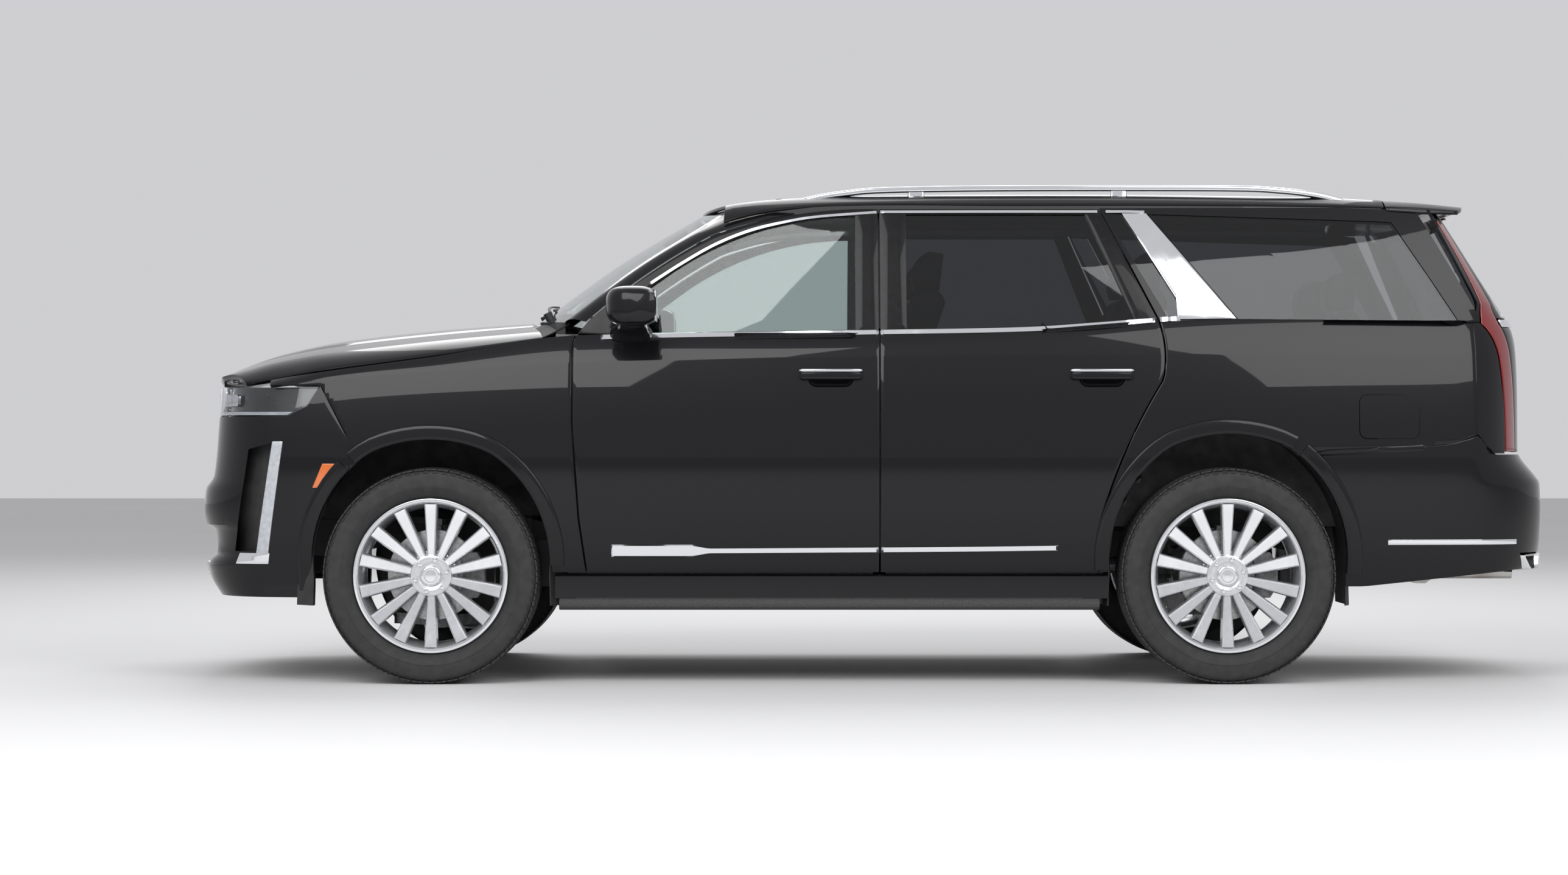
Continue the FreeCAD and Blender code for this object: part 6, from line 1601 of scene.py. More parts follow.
for side in (-1, 1):
    place = side * SCREW_Y
    name = "right" if side > 0 else "left"
    collar = []
    for x, r in ((2.556, 0.0095), (2.5605, 0.0095), (2.562, 0.0085), (2.562, 0.0034), (2.5605, 0.003),
            (2.548, 0.003)):
        collar.append([(x, place + r * math.cos(TURN * i / 20), SCREW_Z + r * math.sin(TURN * i / 20))
            for i in range(21)])
    laid(f"plate_socket_{name}", collar + [[(2.548, place, SCREW_Z)] * 21], moulded, 0.0,
        towards=(0, 0, 0), body="tailgate", slot="frame_black")
block("plate_lamp_bar", (2.566, -0.16, 1.176), (2.580, 0.16, 1.188), 0.003, moulded, "tailgate",
    "frame_black")
panel("tailgate_bright_bar", gate, 0.0, gate_share(lambda z: gate_edge(z) - 0.004), 1.384, 1.412, chrome,
    44, 3, depth=-0.007, both=True, thickness=0.016, towards=(1, 0, 0), edge=0.004, body="tailgate",
    slot="chrome")
gate_window = traced([(0.758, 1.422), (0.650, 1.790), (-0.650, 1.790), (-0.758, 1.422)], 0.03)
gate_upper = traced([(0.808, 1.416), (0.690, 1.836), (-0.690, 1.836), (-0.808, 1.416)], 0.03)
ringed("backlight_frame", gate_upper, gate_window, lambda y, z: (gate_x(y, z), y, z), frame_gloss,
    steps=3, centre=(0.0, 1.60), thickness=0.020, towards=(1, 0, 0), edge=0.002, body="tailgate",
    slot="paint")
glass_pane = paned("backlight_glass", pulled(gate_window, 0.0004),
    lambda y, z: (gate_x(y, z) - 0.002, y, z), privacy, steps=9, thickness=0.005, towards=(1, 0, 0),
    body="tailgate", slot="dark_glass")
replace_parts(glass_pane, "tailgate_glass")
SPOILER_ROWS = [(2.016, 0.750, 1.852, 1.892), (2.170, 0.742, 1.846, 1.882), (2.370, 0.722, 1.832, 1.862)]


def spoiler_at(x, share, drop=0.0):
    _, edge_y, edge_z, crown = faired(SPOILER_ROWS, x)
    u = abs(share)
    rise = crown - edge_z
    if u < 0.86:
        z = crown - 0.20 * rise * (u / 0.86) ** 2.2
    else:
        z = edge_z + rise * 0.80 * (1 - ((u - 0.86) / 0.14) ** 1.9)
    return (x, share * edge_y, z - drop)


spoiler_shares = [-1, -0.985, -0.95, -0.91, -0.87] + [i / 12 * 0.84 for i in range(-12, 13)] + [0.87,
    0.91, 0.95, 0.985, 1]
spoiler_rows = []
for drop, back in ((0.0, False), (0.030, True)):
    for i in range(17):
        row = []
        for share in spoiler_shares:
            tip_x = 2.362 - 0.032 * min(1.0, abs(share) / 0.93) ** 2 - 0.42 * max(0.0, abs(share) - 0.93)
            x = 2.016 + (tip_x - 2.016) * (i / 16 if not back else 1 - i / 16)
            fade = 1.0 if not back else 0.45 + 0.55 * (1 - (x - 2.016) / (tip_x - 2.016))
            row.append(spoiler_at(x, share, drop * fade))
        spoiler_rows.append(row)
spoiler_rows.append(spoiler_rows[0])
spoiler = laid("roof_spoiler", spoiler_rows, paint, 0.0, towards=(0, 0, 0), body="tailgate", slot="paint",
    crease=40)
shape = bmesh.new()
shape.from_mesh(spoiler.data)
bmesh.ops.holes_fill(shape, edges=[e for e in shape.edges if e.is_boundary], sides=0)
bmesh.ops.recalc_face_normals(shape, faces=shape.faces)
shape.to_mesh(spoiler.data)
shape.free()
block("stop_lamp", (2.352, -0.17, 1.838), (2.363, 0.17, 1.847), 0.002, lens_red, "tailgate", "lamp_red")

# Tyres
# Moulded road tyres with raised tread blocks between circling grooves, and ribbed shoulders.
# The carcass is its cross-section spun round the axle; tread blocks are set round it in staggered rows.
rubber = grained(speckled(finish("tyre rubber", (0.018, 0.018, 0.019), rough=0.72), 30,
    (0.015, 0.015, 0.016), (0.024, 0.024, 0.025)), 240, 0.25, 0.0006)


def spun(name, profile, material, steps=72, crease=35):
    """A closed ring: a cross-section of (radius, place along the axle) spun a full turn about the axle."""
    mesh = bpy.data.meshes.new(name)
    count = len(profile)
    mesh.from_pydata([(r, y, 0.0) for r, y in profile], [(i, (i + 1) % count) for i in range(count)], [])
    piece = placed(name, mesh)
    picked(piece)
    bpy.ops.object.mode_set(mode="EDIT")
    bpy.ops.mesh.select_all(action="SELECT")
    bpy.ops.mesh.spin(steps=steps, angle=TURN, center=(0, 0, 0), axis=(0, 1, 0))
    bpy.ops.mesh.select_all(action="SELECT")
    bpy.ops.mesh.remove_doubles(threshold=0.00005)
    bpy.ops.mesh.normals_make_consistent(inside=False)
    bpy.ops.object.mode_set(mode="OBJECT")
    return finished(piece, material, 0.0, 0.0, crease=crease)


def joined(name, pieces):
    """Several pieces made one object, keeping their own faces and finishes."""
    bpy.ops.object.select_all(action="DESELECT")
    for piece in pieces:
        piece.select_set(True)
    bpy.context.view_layer.objects.active = pieces[0]
    bpy.ops.object.join()
    piece = bpy.context.object
    piece.name = name
    piece.select_set(False)
    return piece


side = [(0.2822, 0.104), (0.288, 0.109), (0.296, 0.111), (0.300, 0.109), (0.304, 0.114), (0.318, 0.128),
    (0.334, 0.1375), (0.342, 0.1405), (0.3425, 0.1415), (0.346, 0.1415), (0.3465, 0.1405),
    (0.360, 0.1415), (0.376, 0.1395), (0.388, 0.1375), (0.397, 0.1340), (0.404, 0.1280), (0.4085, 0.1200)]
grooves = []
for middle in (-0.070, -0.024, 0.024, 0.070):
    grooves += [(0.4095, middle - 0.0062), (0.4035, middle - 0.0050), (0.4035, middle + 0.0050),
        (0.4095, middle + 0.0062)]
carcass = side + [(r, -y) for r, y in grooves] + [(r, -y) for r, y in reversed(side)] + [(0.2815, -0.060),
    (0.2815, 0.060)]
tyre = spun("tyre_carcass", carcass, rubber, 96, 30)
blocks = bmesh.new()
rows = [(-0.113, 0.041, 56, 0.0), (-0.047, 0.031, 64, 0.5), (0.0, 0.033, 64, 0.0),
    (0.047, 0.031, 64, 0.5), (0.113, 0.041, 56, 0.25)]
for middle, wide, count, offset in rows:
    for k in range(count):
        for share_low, share_high in ((0.06, 0.52), (0.58, 0.94)):
            corners = []
            for radius in (0.4070, 0.4168):
                for share, across_y in ((share_low, -1), (share_high, -1), (share_high, 1),
                        (share_low, 1)):
                    slant = 0.16 * across_y * (1 if middle >= 0 else -1)
                    angle = TURN * (k + offset + share + slant) / count
                    drop = 0.0045 if abs(middle) > 0.1 and across_y * middle > 0 and radius > 0.41 else 0.0
                    corners.append(blocks.verts.new(((radius - drop) * math.cos(angle),
                        middle + across_y * wide / 2, (radius - drop) * math.sin(angle))))
            low, high = corners[:4], corners[4:]
            blocks.faces.new(high)
            blocks.faces.new(list(reversed(low)))
            for i in range(4):
                blocks.faces.new((low[i], low[(i + 1) % 4], high[(i + 1) % 4], high[i]))
for k in range(72):
    for end in (-1, 1):
        corners = []
        for radius, y in ((0.4085, 0.1205), (0.3945, 0.1352), (0.3960, 0.1375), (0.4100, 0.1232)):
            for share in (0.15, 0.72):
                angle = TURN * (k + share) / 72
                corners.append(blocks.verts.new((radius * math.cos(angle), end * y,
                    radius * math.sin(angle))))
        a = corners
        for face in ((0, 1, 3, 2), (2, 3, 5, 4), (4, 5, 7, 6), (6, 7, 1, 0), (0, 2, 4, 6), (1, 7, 5, 3)):
            blocks.faces.new([a[i] for i in face])
bmesh.ops.recalc_face_normals(blocks, faces=blocks.faces)
tread_mesh = bpy.data.meshes.new("tread_blocks")
blocks.to_mesh(tread_mesh)
blocks.free()
tread = placed("tread_blocks", tread_mesh)
finished(tread, rubber, 0.0, 0.0, crease=20)
tyre = joined("tyre_pattern", [tyre, tread])

# Wheels
# Cast and painted silver wheels with fourteen flat spokes, bright machined faces and a plain domed cap.
# The rim and hub are spun sections; one spoke is a run of sections and is then turned round the hub.
silver = worn(speckled(finish("silver wheel paint", (0.62, 0.63, 0.65), 0.75, 0.26, 0.6), 400,
    (0.60, 0.61, 0.63), (0.64, 0.65, 0.67)), 20, 0.22, 0.32)
machined = worn(finish("machined face", (0.80, 0.81, 0.83), 1.0, 0.16), 60, 0.12, 0.2)
barrel = spun("barrel", [(0.2970, 0.1195), (0.2985, 0.1160), (0.2935, 0.1080), (0.2835, 0.1050),
    (0.2800, 0.0600), (0.2700, 0.0300), (0.2690, -0.0400), (0.2800, -0.0800), (0.2835, -0.1050),
    (0.2935, -0.1080), (0.2985, -0.1160), (0.2970, -0.1195), (0.2900, -0.1200), (0.2780, -0.1060),
    (0.2640, -0.0700), (0.2600, -0.0300), (0.2610, 0.0350), (0.2670, 0.0720), (0.2740, 0.0960),
    (0.2790, 0.1120), (0.2860, 0.1190), (0.2920, 0.1200)], silver, 112)
lip_ring = spun("lip", [(0.2968, 0.1203), (0.2925, 0.1212), (0.2868, 0.1206), (0.2810, 0.1150),
    (0.2845, 0.1165), (0.2900, 0.1185)], machined, 112)
hub = spun("hub", [(0.0300, 0.0300), (0.0760, 0.0300), (0.0860, 0.0500), (0.0850, 0.0860),
    (0.0780, 0.0965), (0.0700, 0.0985), (0.0520, 0.0985), (0.0480, 0.0960), (0.0400, 0.0950),
    (0.0300, 0.0950)], silver, 70)
cap = spun("cap", [(0.0001, 0.0900), (0.0390, 0.0900), (0.0405, 0.1000), (0.0395, 0.1050),
    (0.0360, 0.1085), (0.0310, 0.1098), (0.0240, 0.1092), (0.0230, 0.1080), (0.0100, 0.1085),
    (0.0001, 0.1086)], machined, 48)


def spoke(angle, name, inset, front_lift, material, deep):
    """One spoke from the hub to the rim, its face narrowing inwards, with rounded shoulders."""
    rows = []
    for r, half, front in ((0.066, 0.0135, 0.0890), (0.080, 0.0140, 0.0915), (0.100, 0.0150, 0.0930),
            (0.150, 0.0178, 0.0975), (0.200, 0.0203, 0.1030), (0.240, 0.0222, 0.1085),
            (0.262, 0.0232, 0.1120), (0.276, 0.0245, 0.1130)):
        half -= inset
        front += front_lift
        section = [(-half - deep * 0.004, front - deep * 0.030), (-half, front - 0.004),
            (-half + 0.0035, front - 0.0006), (0.0, front), (half - 0.0035, front - 0.0006),
            (half, front - 0.004), (half + deep * 0.004, front - deep * 0.030)]
        if not deep:
            section = [(-half, front - 0.004), (-half + 0.0015, front), (half - 0.0015, front),
                (half, front - 0.004)]
        rows.append([(r * math.cos(angle) - w * math.sin(angle), y,
            r * math.sin(angle) + w * math.cos(angle)) for w, y in section + section[:1]])
    for end in (0, -1):
        row = rows[end]
        middle = tuple(sum(p[k] for p in row[:-1]) / (len(row) - 1) for k in range(3))
        rows.insert(0 if end == 0 else len(rows), [middle] * len(row))
    return laid(name, rows, material, towards=(0, 0, 0), crease=30)


parts = [barrel, lip_ring, hub, cap]
SPOKES, NUTS = 14, 6
for i in range(SPOKES):
    angle = TURN * (i + 0.5) / SPOKES
    parts.append(spoke(angle, "spoke", 0.0, 0.0, silver, 1.0))
    parts.append(spoke(angle, "spoke_face", 0.0035, 0.0006, machined, 0.0))
for i in range(NUTS):
    angle = TURN * (i + 0.25) / NUTS
    place = (0.0625 * math.cos(angle), 0.0625 * math.sin(angle))
    nut_rows = []
    for y, r in ((0.0960, 0.0001), (0.0960, 0.0105), (0.1035, 0.0105), (0.1060, 0.0085), (0.1068, 0.0050),
            (0.1070, 0.0001)):
        nut_rows.append([(place[0] + r * math.cos(math.pi * k / 3), y,
            place[1] + r * math.sin(math.pi * k / 3)) for k in range(7)])
    parts.append(laid("nut", nut_rows, chrome, towards=(0, 0, 0), crease=30))
wheel = joined("wheel_pattern", parts)

# Brakes
# A cast disc turns with each wheel behind its spokes, on a hat bolted to the hub.
# Disc and hat are one spun section with vent slots marked round the edge.
disc_steel = worn(speckled(finish("turned brake disc", (0.42, 0.42, 0.43), 1.0, 0.3), 90,
    (0.36, 0.36, 0.37), (0.48, 0.48, 0.49), stretch=(1, 6, 1)), 80, 0.24, 0.4)
disc = spun("disc_pattern", [(0.0300, 0.0337), (0.0900, 0.0337), (0.0960, 0.0300), (0.0970, 0.0137),
    (0.1750, 0.0137), (0.1760, 0.0120), (0.1760, 0.0020), (0.1700, 0.0010), (0.1700, -0.0040),
    (0.1760, -0.0050), (0.1760, -0.0150), (0.1750, -0.0163), (0.0970, -0.0163), (0.0880, 0.0200),
    (0.0300, 0.0200)], disc_steel, 72)
HALF_TRACK = 0.870
for end, axle in (("front", FRONT_AXLE), ("rear", REAR_AXLE)):
    for side, sign in (("left", -1), ("right", 1)):
        for pattern, name, node, slot in ((tyre, "tyre_dressed", "tyre", "tyre"),
                (wheel, "wheel_dressed", "wheel", "wheel_silver"),
                (disc, "brake_disc", None, "castings")):
            mesh = pattern.data.copy()
            shape = bmesh.new()
            shape.from_mesh(mesh)
            for v in shape.verts:
                v.co = Vector((v.co.x + axle, sign * (HALF_TRACK + v.co.y), v.co.z + AXLE_Z))
            if sign < 0:
                bmesh.ops.reverse_faces(shape, faces=shape.faces)
            shape.to_mesh(mesh)
            shape.free()
            copy = placed(f"{name}_{end}_{side}", mesh)
            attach(copy, f"wheel_{end}_{side}")
            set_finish(copy, slot)
            if node:
                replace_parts(copy, f"{node}_{end}_{side}")
for pattern in (tyre, wheel, disc):
    bpy.data.objects.remove(pattern)

# Wheel houses and inner side walls
# Moulded liners arch over each wheel, and trimmed walls line the cabin and load space.
# Liners follow the wheel openings inwards; walls and rails are laid a hand's width inside the skin.
trim_black = grained(speckled(finish("soft cabin trim", (0.030, 0.028, 0.027), rough=0.62), 40,
    (0.026, 0.024, 0.023), (0.036, 0.034, 0.033)), 500, 0.2)
for end, arch, room, deepest in (("front", front_arch, 0.062, 0.560), ("rear", rear_arch, 0.014, 0.600)):
    wide = pulled(arch, -room)
    chosen = [i for i in range(1, len(arch) - 1) if arch[i][1] > 0.30][::2]
    rows = [[(arch[i][0], lower_y(*arch[i]) - 0.020, arch[i][1]) for i in chosen]]
    for share, y in ((0.0, 0.965), (0.6, 0.945), (1.0, 0.915), (1.0, 0.760), (1.0, deepest)):
        rows.append([(arch[i][0] + (wide[i][0] - arch[i][0]) * share,
            y - 0.05 * max(0.0, 0.7 - arch[i][1]) * (share < 1),
            arch[i][1] + (wide[i][1] - arch[i][1]) * share) for i in chosen])
    twin(laid(f"{end}_wheel_liner_right", rows, moulded, 0.004, towards=(0, 0, -1), body="body",
        slot="frame_black", crease=50))
twin(boxed("rear_wheel_house_right", [p for p in rear_arch if p[1] > 0.60], "y", 0.604, 0.612, trim_black,
    "body", "cabin_black", edge=0.002))


def inner_wall(name, first, last, low, high, depth, body="body", columns=24, levels=18, material=None):
    """A trim wall that follows the skin at a depth, between two places and two heights."""
    rows = []
    for j in range(levels + 1):
        row = []
        for i in range(columns + 1):
            x = first + (last - first) * i / columns
            z = low(x) + (high(x) - low(x)) * j / levels
            row.append((x, lower_y(x, min(z, belt_height(x))) - depth - max(0.0,
                z - belt_height(x)) * 0.3, z))
        rows.append(row)
    return laid(name, rows, material or trim_black, 0.004, towards=(0, -1, 0), body=body,
        slot="cabin_black")


wall = inner_wall("quarter_trim_right", DOOR_REAR + 0.010, REAR_JOIN + 0.010,
    lambda x: max(0.620, arch_height(rear_arch, x, 0.620) + 0.016), lambda x: belt_height(x) - 0.004,
    0.095)
twin(wall)
wall = inner_wall("fender_inner_right", FRONT_JOIN + 0.02, DOOR_FRONT - 0.060,
    lambda x: max(0.760, arch_height(front_arch, x, 0.760) + 0.016), lambda x: belt_height(x) - 0.050,
    0.085, material=inner_paint)
twin(wall)
rail_rows = []
for i in range(49):
    x = -0.560 + (2.000 + 0.560) * i / 48
    edge = upper_y(x, 1.850)
    top = faired(ROOF_ROWS, x)[2] - 0.006
    low = min(top - 0.030, 1.838 if x > -0.10 else 1.838 - 0.12 * (-0.10 - x) ** 1.5)
    rail_rows.append([(x, edge - 0.004, top), (x, edge - 0.002, low), (x, edge - 0.030, low - 0.004),
        (x, edge - 0.075, low + 0.006), (x, edge - 0.110, top - 0.012), (x, edge - 0.090, top - 0.004),
        (x, edge - 0.004, top)])
rail_rows = [[rail_rows[0][2]] * 7] + rail_rows + [[rail_rows[-1][2]] * 7]
cant = laid("cant_rail_right", rail_rows, inner_paint, towards=(0, 0, 0), body="body", slot="paint")
twin(cant)
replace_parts(cant, "body_sides")
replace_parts(fender_right, "fenders")

# Door insides
# Each door closes its skin with a folded edge and a soft trim panel, with an armrest and a pocket.
# The edge is a band round the door's outline; the trim fills the same outline further in.


def door_outline(points):
    """A door's outline below the belt, drawn in by the shut gap."""
    front, rear = [], []
    for j in range(29):
        z = SILL_Z + SHUT + (1.330 - SILL_Z - SHUT) * j / 28
        front.append((edge_at(points, z, -1) + SHUT, z))
        rear.append((edge_at(points, z, 1) - SHUT, z))
    span = rear[-1][0] - front[-1][0]
    top = [(front[-1][0] + span * k / 24, belt_height(front[-1][0] + span * k / 24) - 0.002)
        for k in range(25)]
    return front[:-1] + top + list(reversed(rear[:-1]))


stitched = grained(speckled(finish("black leather", (0.045, 0.040, 0.037), rough=0.5), 16,
    (0.040, 0.035, 0.032), (0.054, 0.048, 0.044)), 300, 0.35, 0.0006, cells=True)
for end, points, skin in (("front", FRONT_DOOR, door_front_right), ("rear", REAR_DOOR, door_rear_right)):
    body = f"{end}_door_right"
    shape_points = door_outline(points)
    closed = shape_points + shape_points[:1]
    edge = laid(f"{end}_door_edge_right", [[(x, lower_y(x, z) - depth, z) for x, z in closed]
        for depth in (0.0155, 0.040, 0.080, 0.098)], paint, 0.002, towards=(0, 0, 0), body=body,
        slot="paint", crease=50)
    twin(edge)
    trim = paned(f"{end}_door_trim_right", shape_points, lambda x, z: (x, lower_y(x, z) - 0.096, z),
        trim_black, steps=5, thickness=0.012, towards=(0, -1, 0), edge=0.004, body=body,
        slot="cabin_black")
    twin(trim)
    first, last = (DOOR_FRONT + 0.330, DOOR_SPLIT - 0.120) if end == "front" else (DOOR_SPLIT + 0.120,
        DOOR_REAR - 0.330)
    arm_y = lower_y(first, 0.95) - 0.108
    arm = block(f"{end}_door_armrest_right", (first, arm_y - 0.075, 0.905), (last, arm_y, 0.975), 0.024,
        stitched, body, "seat_leather", 4)
    twin(arm)
    twin(block(f"{end}_door_pocket_right", (first - 0.02, arm_y - 0.045, 0.560),
        (last + 0.04, arm_y, 0.720), 0.020, trim_black, body, "cabin_black"))
    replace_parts(skin, f"{end}_door_right", f"{end}_door_glass_right")
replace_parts(door_front_left, "front_door_left", "front_door_glass_left")
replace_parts(door_rear_left, "rear_door_left", "rear_door_glass_left")

# Seats
# Two front and two middle armchairs and a rear bench: foam cushions in stitched leather on low bases.
# Each pad is a profile carried across the seat, rounded at its ends, crowned, with raised side rolls.


def pad(name, profile, low, high, roll, pleats=0.0, ends=0.034):
    """A stuffed pad: its side profile carried from low to high across the car."""
    points = traced(profile, 0.022)
    middle = middle_of(points)
    width = high - low
    places = sorted(set([-1 + 2 * k / 30 for k in range(31)] + [sign * (1 - 2 * ends * e / width)
        for sign in (-1, 1) for e in (0.0, 0.04, 0.14, 0.3, 0.55, 0.8)] + [sign * (roll + d)
        for sign in (-1, 1) for d in (-0.03, -0.012, 0.0, 0.012, 0.03)]))
    rows = []
    for t in places:
        from_end = (1 - abs(t)) * width / 2
        inset = ends - math.sqrt(max(0.0, ends**2 - (ends - min(ends, from_end)) ** 2))
        if abs(t) < roll:
            inset -= 0.012 * (1 - (t / roll) ** 2)
        else:
            inset -= 0.016 * math.sin(math.pi * min(1.0, (abs(t) - roll) / (1 - roll)))
        seam = (abs(abs(t) - roll) * width / 2) / 0.008
        if seam < 1:
            inset += 0.006 * (1 - seam**2)
        loop = pulled(points, inset)
        if pleats and abs(t) < roll:
            drawn = pulled(points, inset + 0.005)
            length, eased = 0.0, []
            for i, p in enumerate(loop):
                length += (Vector(p) - Vector(loop[i - 1])).length if i else 0.0
                near = abs((length % pleats) - pleats / 2) / (pleats / 2)
                eased.append(tuple(Vector(p).lerp(Vector(drawn[i]), max(0.0, near - 0.6) / 0.4)))
            loop = eased
        rows.append([(x, low + (t + 1) / 2 * width, z) for x, z in loop + loop[:1]])
    for end in (0, -1):
        y = rows[end][0][1]
        shrunk = [(middle[0] + (x - middle[0]) * 0.6, y, middle[1] + (z - middle[1]) * 0.6)
            for x, _, z in rows[end]]
        centre = [(middle[0], y, middle[1])] * len(rows[end])
        rows = [centre, shrunk] + rows if end == 0 else rows + [shrunk, centre]
    piece = laid(name, rows, stitched, towards=(0, 0, 0), body="body", slot="seat_leather", crease=55)
    return piece


FLOOR_TOP, SEAT_Y = 0.6283, 0.430


def seat(name, x, y, width, depth=0.520, back=0.640):
    """Cushion, backrest, headrests on posts and a base; a wide seat is a bench."""
    base, half = FLOOR_TOP, width / 2
    pad(f"{name}_cushion", [(x, base + 0.150), (x - 0.012, base + 0.225, 1), (x + 0.040, base + 0.280),
        (x + depth, base + 0.246), (x + depth, base + 0.150)], y - half, y + half,
        0.70 if width < 0.8 else 0.94, 0.110)
    lean = 0.34 * back
    pad(f"{name}_backrest", [(x + depth - 0.058, base + 0.246), (x + depth + 0.058, base + 0.204),
        (x + depth + 0.058 + lean, base + 0.215 + back), (x + depth + lean, base + 0.254 + back, 1),
        (x + depth - 0.040 + lean, base + 0.215 + back)], y - half + 0.012, y + half - 0.012,
        0.70 if width < 0.8 else 0.94, 0.120)
    heads = (0.0,) if width < 0.8 else (-0.36, 0.36)
    hx, hz = x + depth + lean + 0.006, base + 0.240 + back
    for k, shift in enumerate(heads):
        pad(f"{name}_headrest_{k + 1}", [(hx - 0.040, hz + 0.040), (hx - 0.042, hz + 0.120, 1),
            (hx + 0.010, hz + 0.170), (hx + 0.054, hz + 0.162), (hx + 0.040, hz + 0.040)],
            y + shift - 0.125, y + shift + 0.125, 0.80, 0.0, 0.030)
        for side in (-1, 1):
            swept(f"{name}_headrest_post_{k + 1}_{'right' if side > 0 else 'left'}",
                [(hx - 0.006, y + shift + side * 0.055, hz - 0.050),
                (hx - 0.002, y + shift + side * 0.055, hz),
                (hx + 0.002, y + shift + side * 0.055, hz + 0.060)], rounded(0.012, 0.012, 0.0058, 3),
                chrome, "body", "chrome", up=(1, 0, 0))
    return block(f"{name}_base", (x + 0.070, y - half + 0.060, base),
        (x + depth - 0.040, y + half - 0.060, base + 0.154), 0.012, trim_black, "body", "cabin_black")


first = seat("front_seat_left", -0.515, -SEAT_Y, 0.540)
seat("front_seat_right", -0.515, SEAT_Y, 0.540)
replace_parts(first, "front_seats")
second = seat("middle_seat_left", 0.359, -SEAT_Y, 0.540)
seat("middle_seat_right", 0.359, SEAT_Y, 0.540)
seat("rear_bench", 1.220, 0.0, 1.220, 0.470, 0.560)
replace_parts(second, "rear_seats")

# Dashboard, console and steering wheel
# A moulded dashboard with a wide curved screen, a tall console between the seats and a leather wheel.
# The dashboard is one profile carried across the car; the wheel is a spun rim with a pad and spokes.
dash_x = DOOR_FRONT + 0.030
dash = boxed("dashboard_moulding", traced([(dash_x - 0.0357, 0.980), (dash_x + 0.260, 0.960),
    (dash_x + 0.350, 1.080), (dash_x + 0.330, 1.230), (dash_x + 0.180, 1.320, 1),
    (dash_x - 0.0357, 1.326)], 0.03), "y", -0.770, 0.770, trim_black, "body", "cabin_black", edge=0.014,
    crease=50)
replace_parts(dash, "dashboard")
boxed("centre_console", traced([(dash_x + 0.230, FLOOR_TOP), (dash_x + 1.150, FLOOR_TOP),
    (dash_x + 1.150, 0.880), (dash_x + 1.110, 0.905, 1), (dash_x + 0.500, 0.930), (dash_x + 0.340, 1.020),
    (dash_x + 0.230, 1.000)], 0.05), "y", -0.150, 0.150, trim_black, "body", "cabin_black", edge=0.014,
    crease=50)
screen_glass = worn(finish("dark display glass", (0.006, 0.007, 0.009), 0.0, 0.08, 1.0), 20, 0.05, 0.12)
display = []
for z, x in ((1.205, 0.338), (1.215, 0.345), (1.330, 0.290), (1.338, 0.283)):
    display.append([(dash_x + x - 0.05 * ((y + 0.12) / 0.56) ** 2, y, z)
        for y in [-0.68 + 1.12 * k / 28 for k in range(29)]])
laid("dashboard_display", display, screen_glass, 0.012, towards=(1, 0, 0), edge=0.003, body="body",
    slot="frame_black")
for k, y in enumerate((-0.66, -0.10, 0.10, 0.66)):
    block(f"air_vent_{k + 1}", (dash_x + 0.336, y - 0.060, 1.125), (dash_x + 0.352, y + 0.060, 1.165),
        0.006, black_gloss, "body", "frame_black")
lean = math.radians(68)
wheel_axis = Vector((math.sin(lean), 0, math.cos(lean)))
across_axis = Vector((0, 1, 0))
third = across_axis.cross(wheel_axis)
steering = [spun("rim", [(0.1815 + 0.0135 * math.cos(TURN * k / 12), 0.0135 * math.sin(TURN * k / 12))
    for k in range(12)], stitched, 56)]
steering.append(block("pad", (-0.070, -0.030, -0.050), (0.070, 0.006, 0.048), 0.018, trim_black))
for angle in (0, 180, 270):
    a = math.radians(angle)
    steering.append(swept("arm", [(0.05 * math.cos(a), -0.004, 0.05 * math.sin(a)),
        (0.12 * math.cos(a), -0.002, 0.12 * math.sin(a)),
        (0.176 * math.cos(a), 0.0, 0.176 * math.sin(a))], rounded(0.032, 0.012, 0.005, 3), trim_black,
        up=(0, 1, 0)))
wheel_piece = joined("steering_wheel", steering)
swept("steering_column", [(-0.855, -SEAT_Y, 1.060), (-0.740, -SEAT_Y, 1.108), (-0.655, -SEAT_Y, 1.142)],
    rounded(0.070, 0.070, 0.030, 4), trim_black, "body", "cabin_black")
for v in wheel_piece.data.vertices:
    v.co = Vector((-0.635, -SEAT_Y, 1.150)) + across_axis * v.co.x + wheel_axis * v.co.y + third * v.co.z
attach(wheel_piece, "body")
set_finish(wheel_piece, "cabin_black")
block("inner_mirror", (-0.700, -0.120, 1.715), (-0.682, 0.120, 1.780), 0.009, black_gloss, "body",
    "frame_black")

# Running boards
# Textured black plastic steps hang under the doors on the sills.
# Each is a rounded section run along the car, with a ribbed top laid on it as a row of low bars.
step_grain = grained(speckled(finish("textured step", (0.030, 0.030, 0.031), rough=0.68), 120,
    (0.024, 0.024, 0.025), (0.040, 0.040, 0.041)), 400, 0.5)
board = boxed("running_board_right", [(0.855, 0.300), (0.868, 0.288), (0.978, 0.286), (0.992, 0.296),
    (0.992, 0.316), (0.982, 0.3295), (0.862, 0.3295), (0.855, 0.322)], "x", FRONT_AXLE + 0.495, 0.875,
    step_grain, "body", "step_black", edge=0.003)
twin(board)
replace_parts(board, "running_boards")
ribs = []
for k in range(7):
    ribs.append(block(f"rib_{k}", (FRONT_AXLE + 0.560, 0.872 + 0.016 * k, 0.3285),
        (0.810, 0.880 + 0.016 * k, 0.3320), 0.0012, step_grain, segments=1))
tread_strip = joined("running_board_ribs_right", ribs)
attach(tread_strip, "body")
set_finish(tread_strip, "step_black")
twin(tread_strip)
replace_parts(band, "quarter_glass", "pillar_trims")

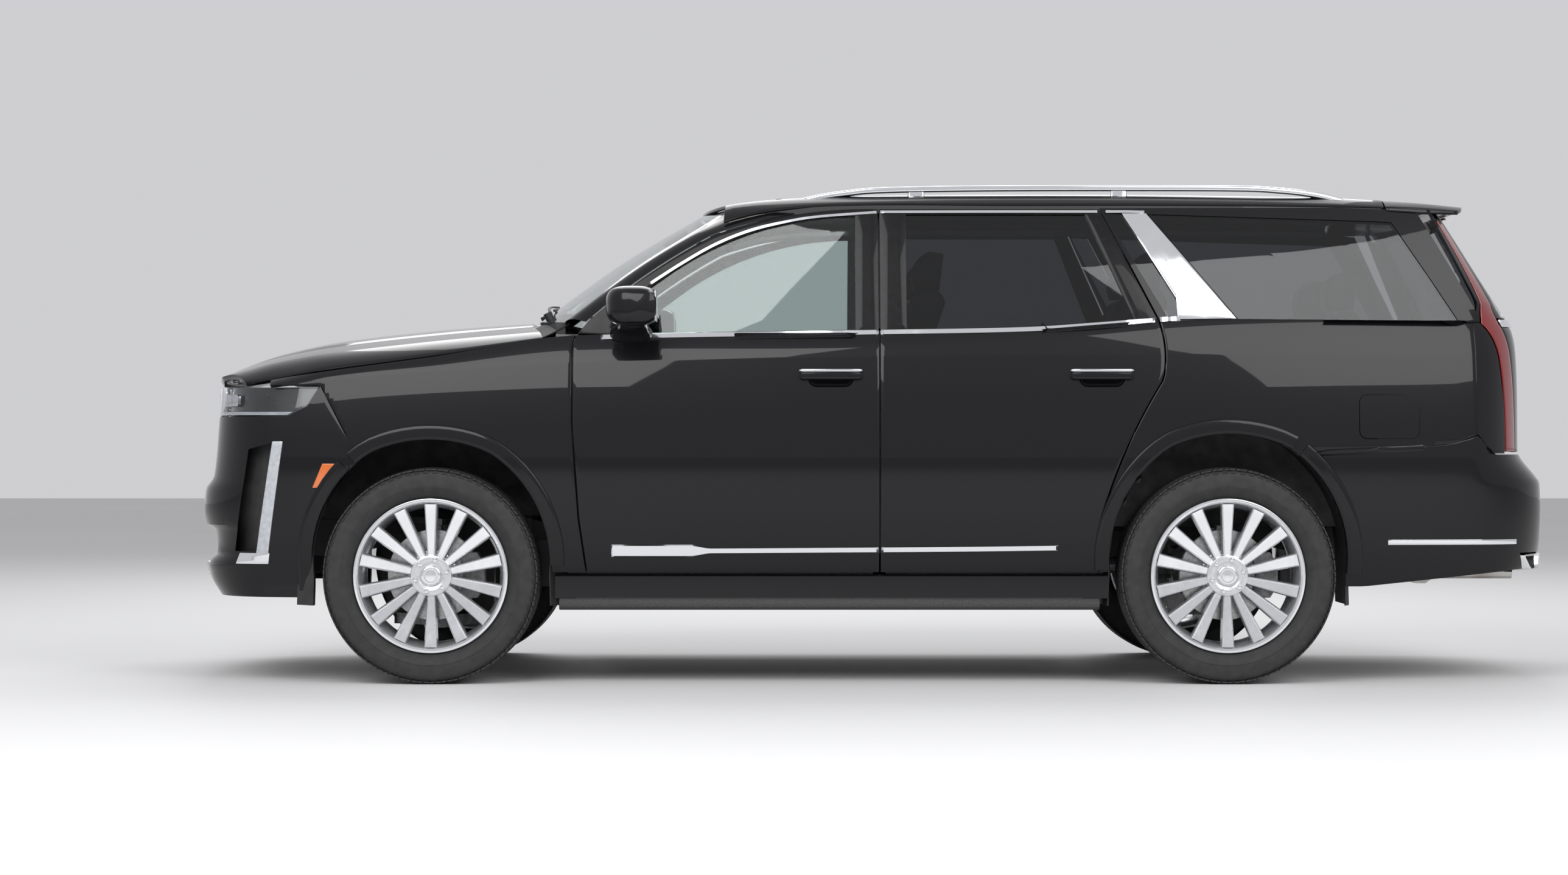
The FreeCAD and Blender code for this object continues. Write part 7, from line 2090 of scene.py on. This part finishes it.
# Floor, light and camera
# A pale matt floor, three broad softboxes and an even sky; the camera looks square at the left side.
# The camera stands as low and as far off as the photograph's, with the same spread of view.
bpy.ops.mesh.primitive_plane_add(size=80)
floor = bpy.context.object
floor.name = "studio_floor"
floor.data.materials.append(speckled(finish("pale floor", (0.72, 0.72, 0.73), rough=0.6), 0.2,
    (0.71, 0.71, 0.72), (0.74, 0.74, 0.75)))
for place, turn, size, power in (((-4, -9, 7), (52, 0, -22), 7, 700), ((5, -8, 6), (55, 0, 30), 6, 450),
        ((0, 7, 8), (-45, 0, 0), 8, 500)):
    bpy.ops.object.light_add(type="AREA", location=place, rotation=[math.radians(v) for v in turn])
    softbox = bpy.context.object
    softbox.name = "softbox"
    softbox.data.size = size
    softbox.data.energy = power
world = bpy.data.worlds.new("studio")
bpy.context.scene.world = world
world.use_nodes = True
tree = world.node_tree
sky = tree.nodes["Background"]
sky.inputs["Color"].default_value = (0.8, 0.8, 0.8, 1)
sky.inputs["Strength"].default_value = 0.6
backdrop = tree.nodes.new("ShaderNodeBackground")
backdrop.inputs["Color"].default_value = (0.62, 0.62, 0.64, 1)
backdrop.inputs["Strength"].default_value = 1.0
seen = tree.nodes.new("ShaderNodeLightPath")
shown = seen.outputs["Is Camera Ray"]
for ray in ("Is Glossy Ray", "Is Transmission Ray"):
    either = tree.nodes.new("ShaderNodeMath")
    either.operation = "MAXIMUM"
    tree.links.new(shown, either.inputs[0])
    tree.links.new(seen.outputs[ray], either.inputs[1])
    shown = either.outputs["Value"]
choose = tree.nodes.new("ShaderNodeMixShader")
tree.links.new(shown, choose.inputs["Fac"])
tree.links.new(sky.outputs["Background"], choose.inputs[1])
tree.links.new(backdrop.outputs["Background"], choose.inputs[2])
tree.links.new(choose.outputs["Shader"], tree.nodes["World Output"].inputs["Surface"])
bpy.context.scene.view_settings.view_transform = "Standard"
bpy.ops.object.camera_add(location=(-0.34, -14.4, 0.95), rotation=(math.radians(90), 0, 0))
camera = bpy.context.object
camera.data.lens = 80
bpy.context.scene.camera = camera
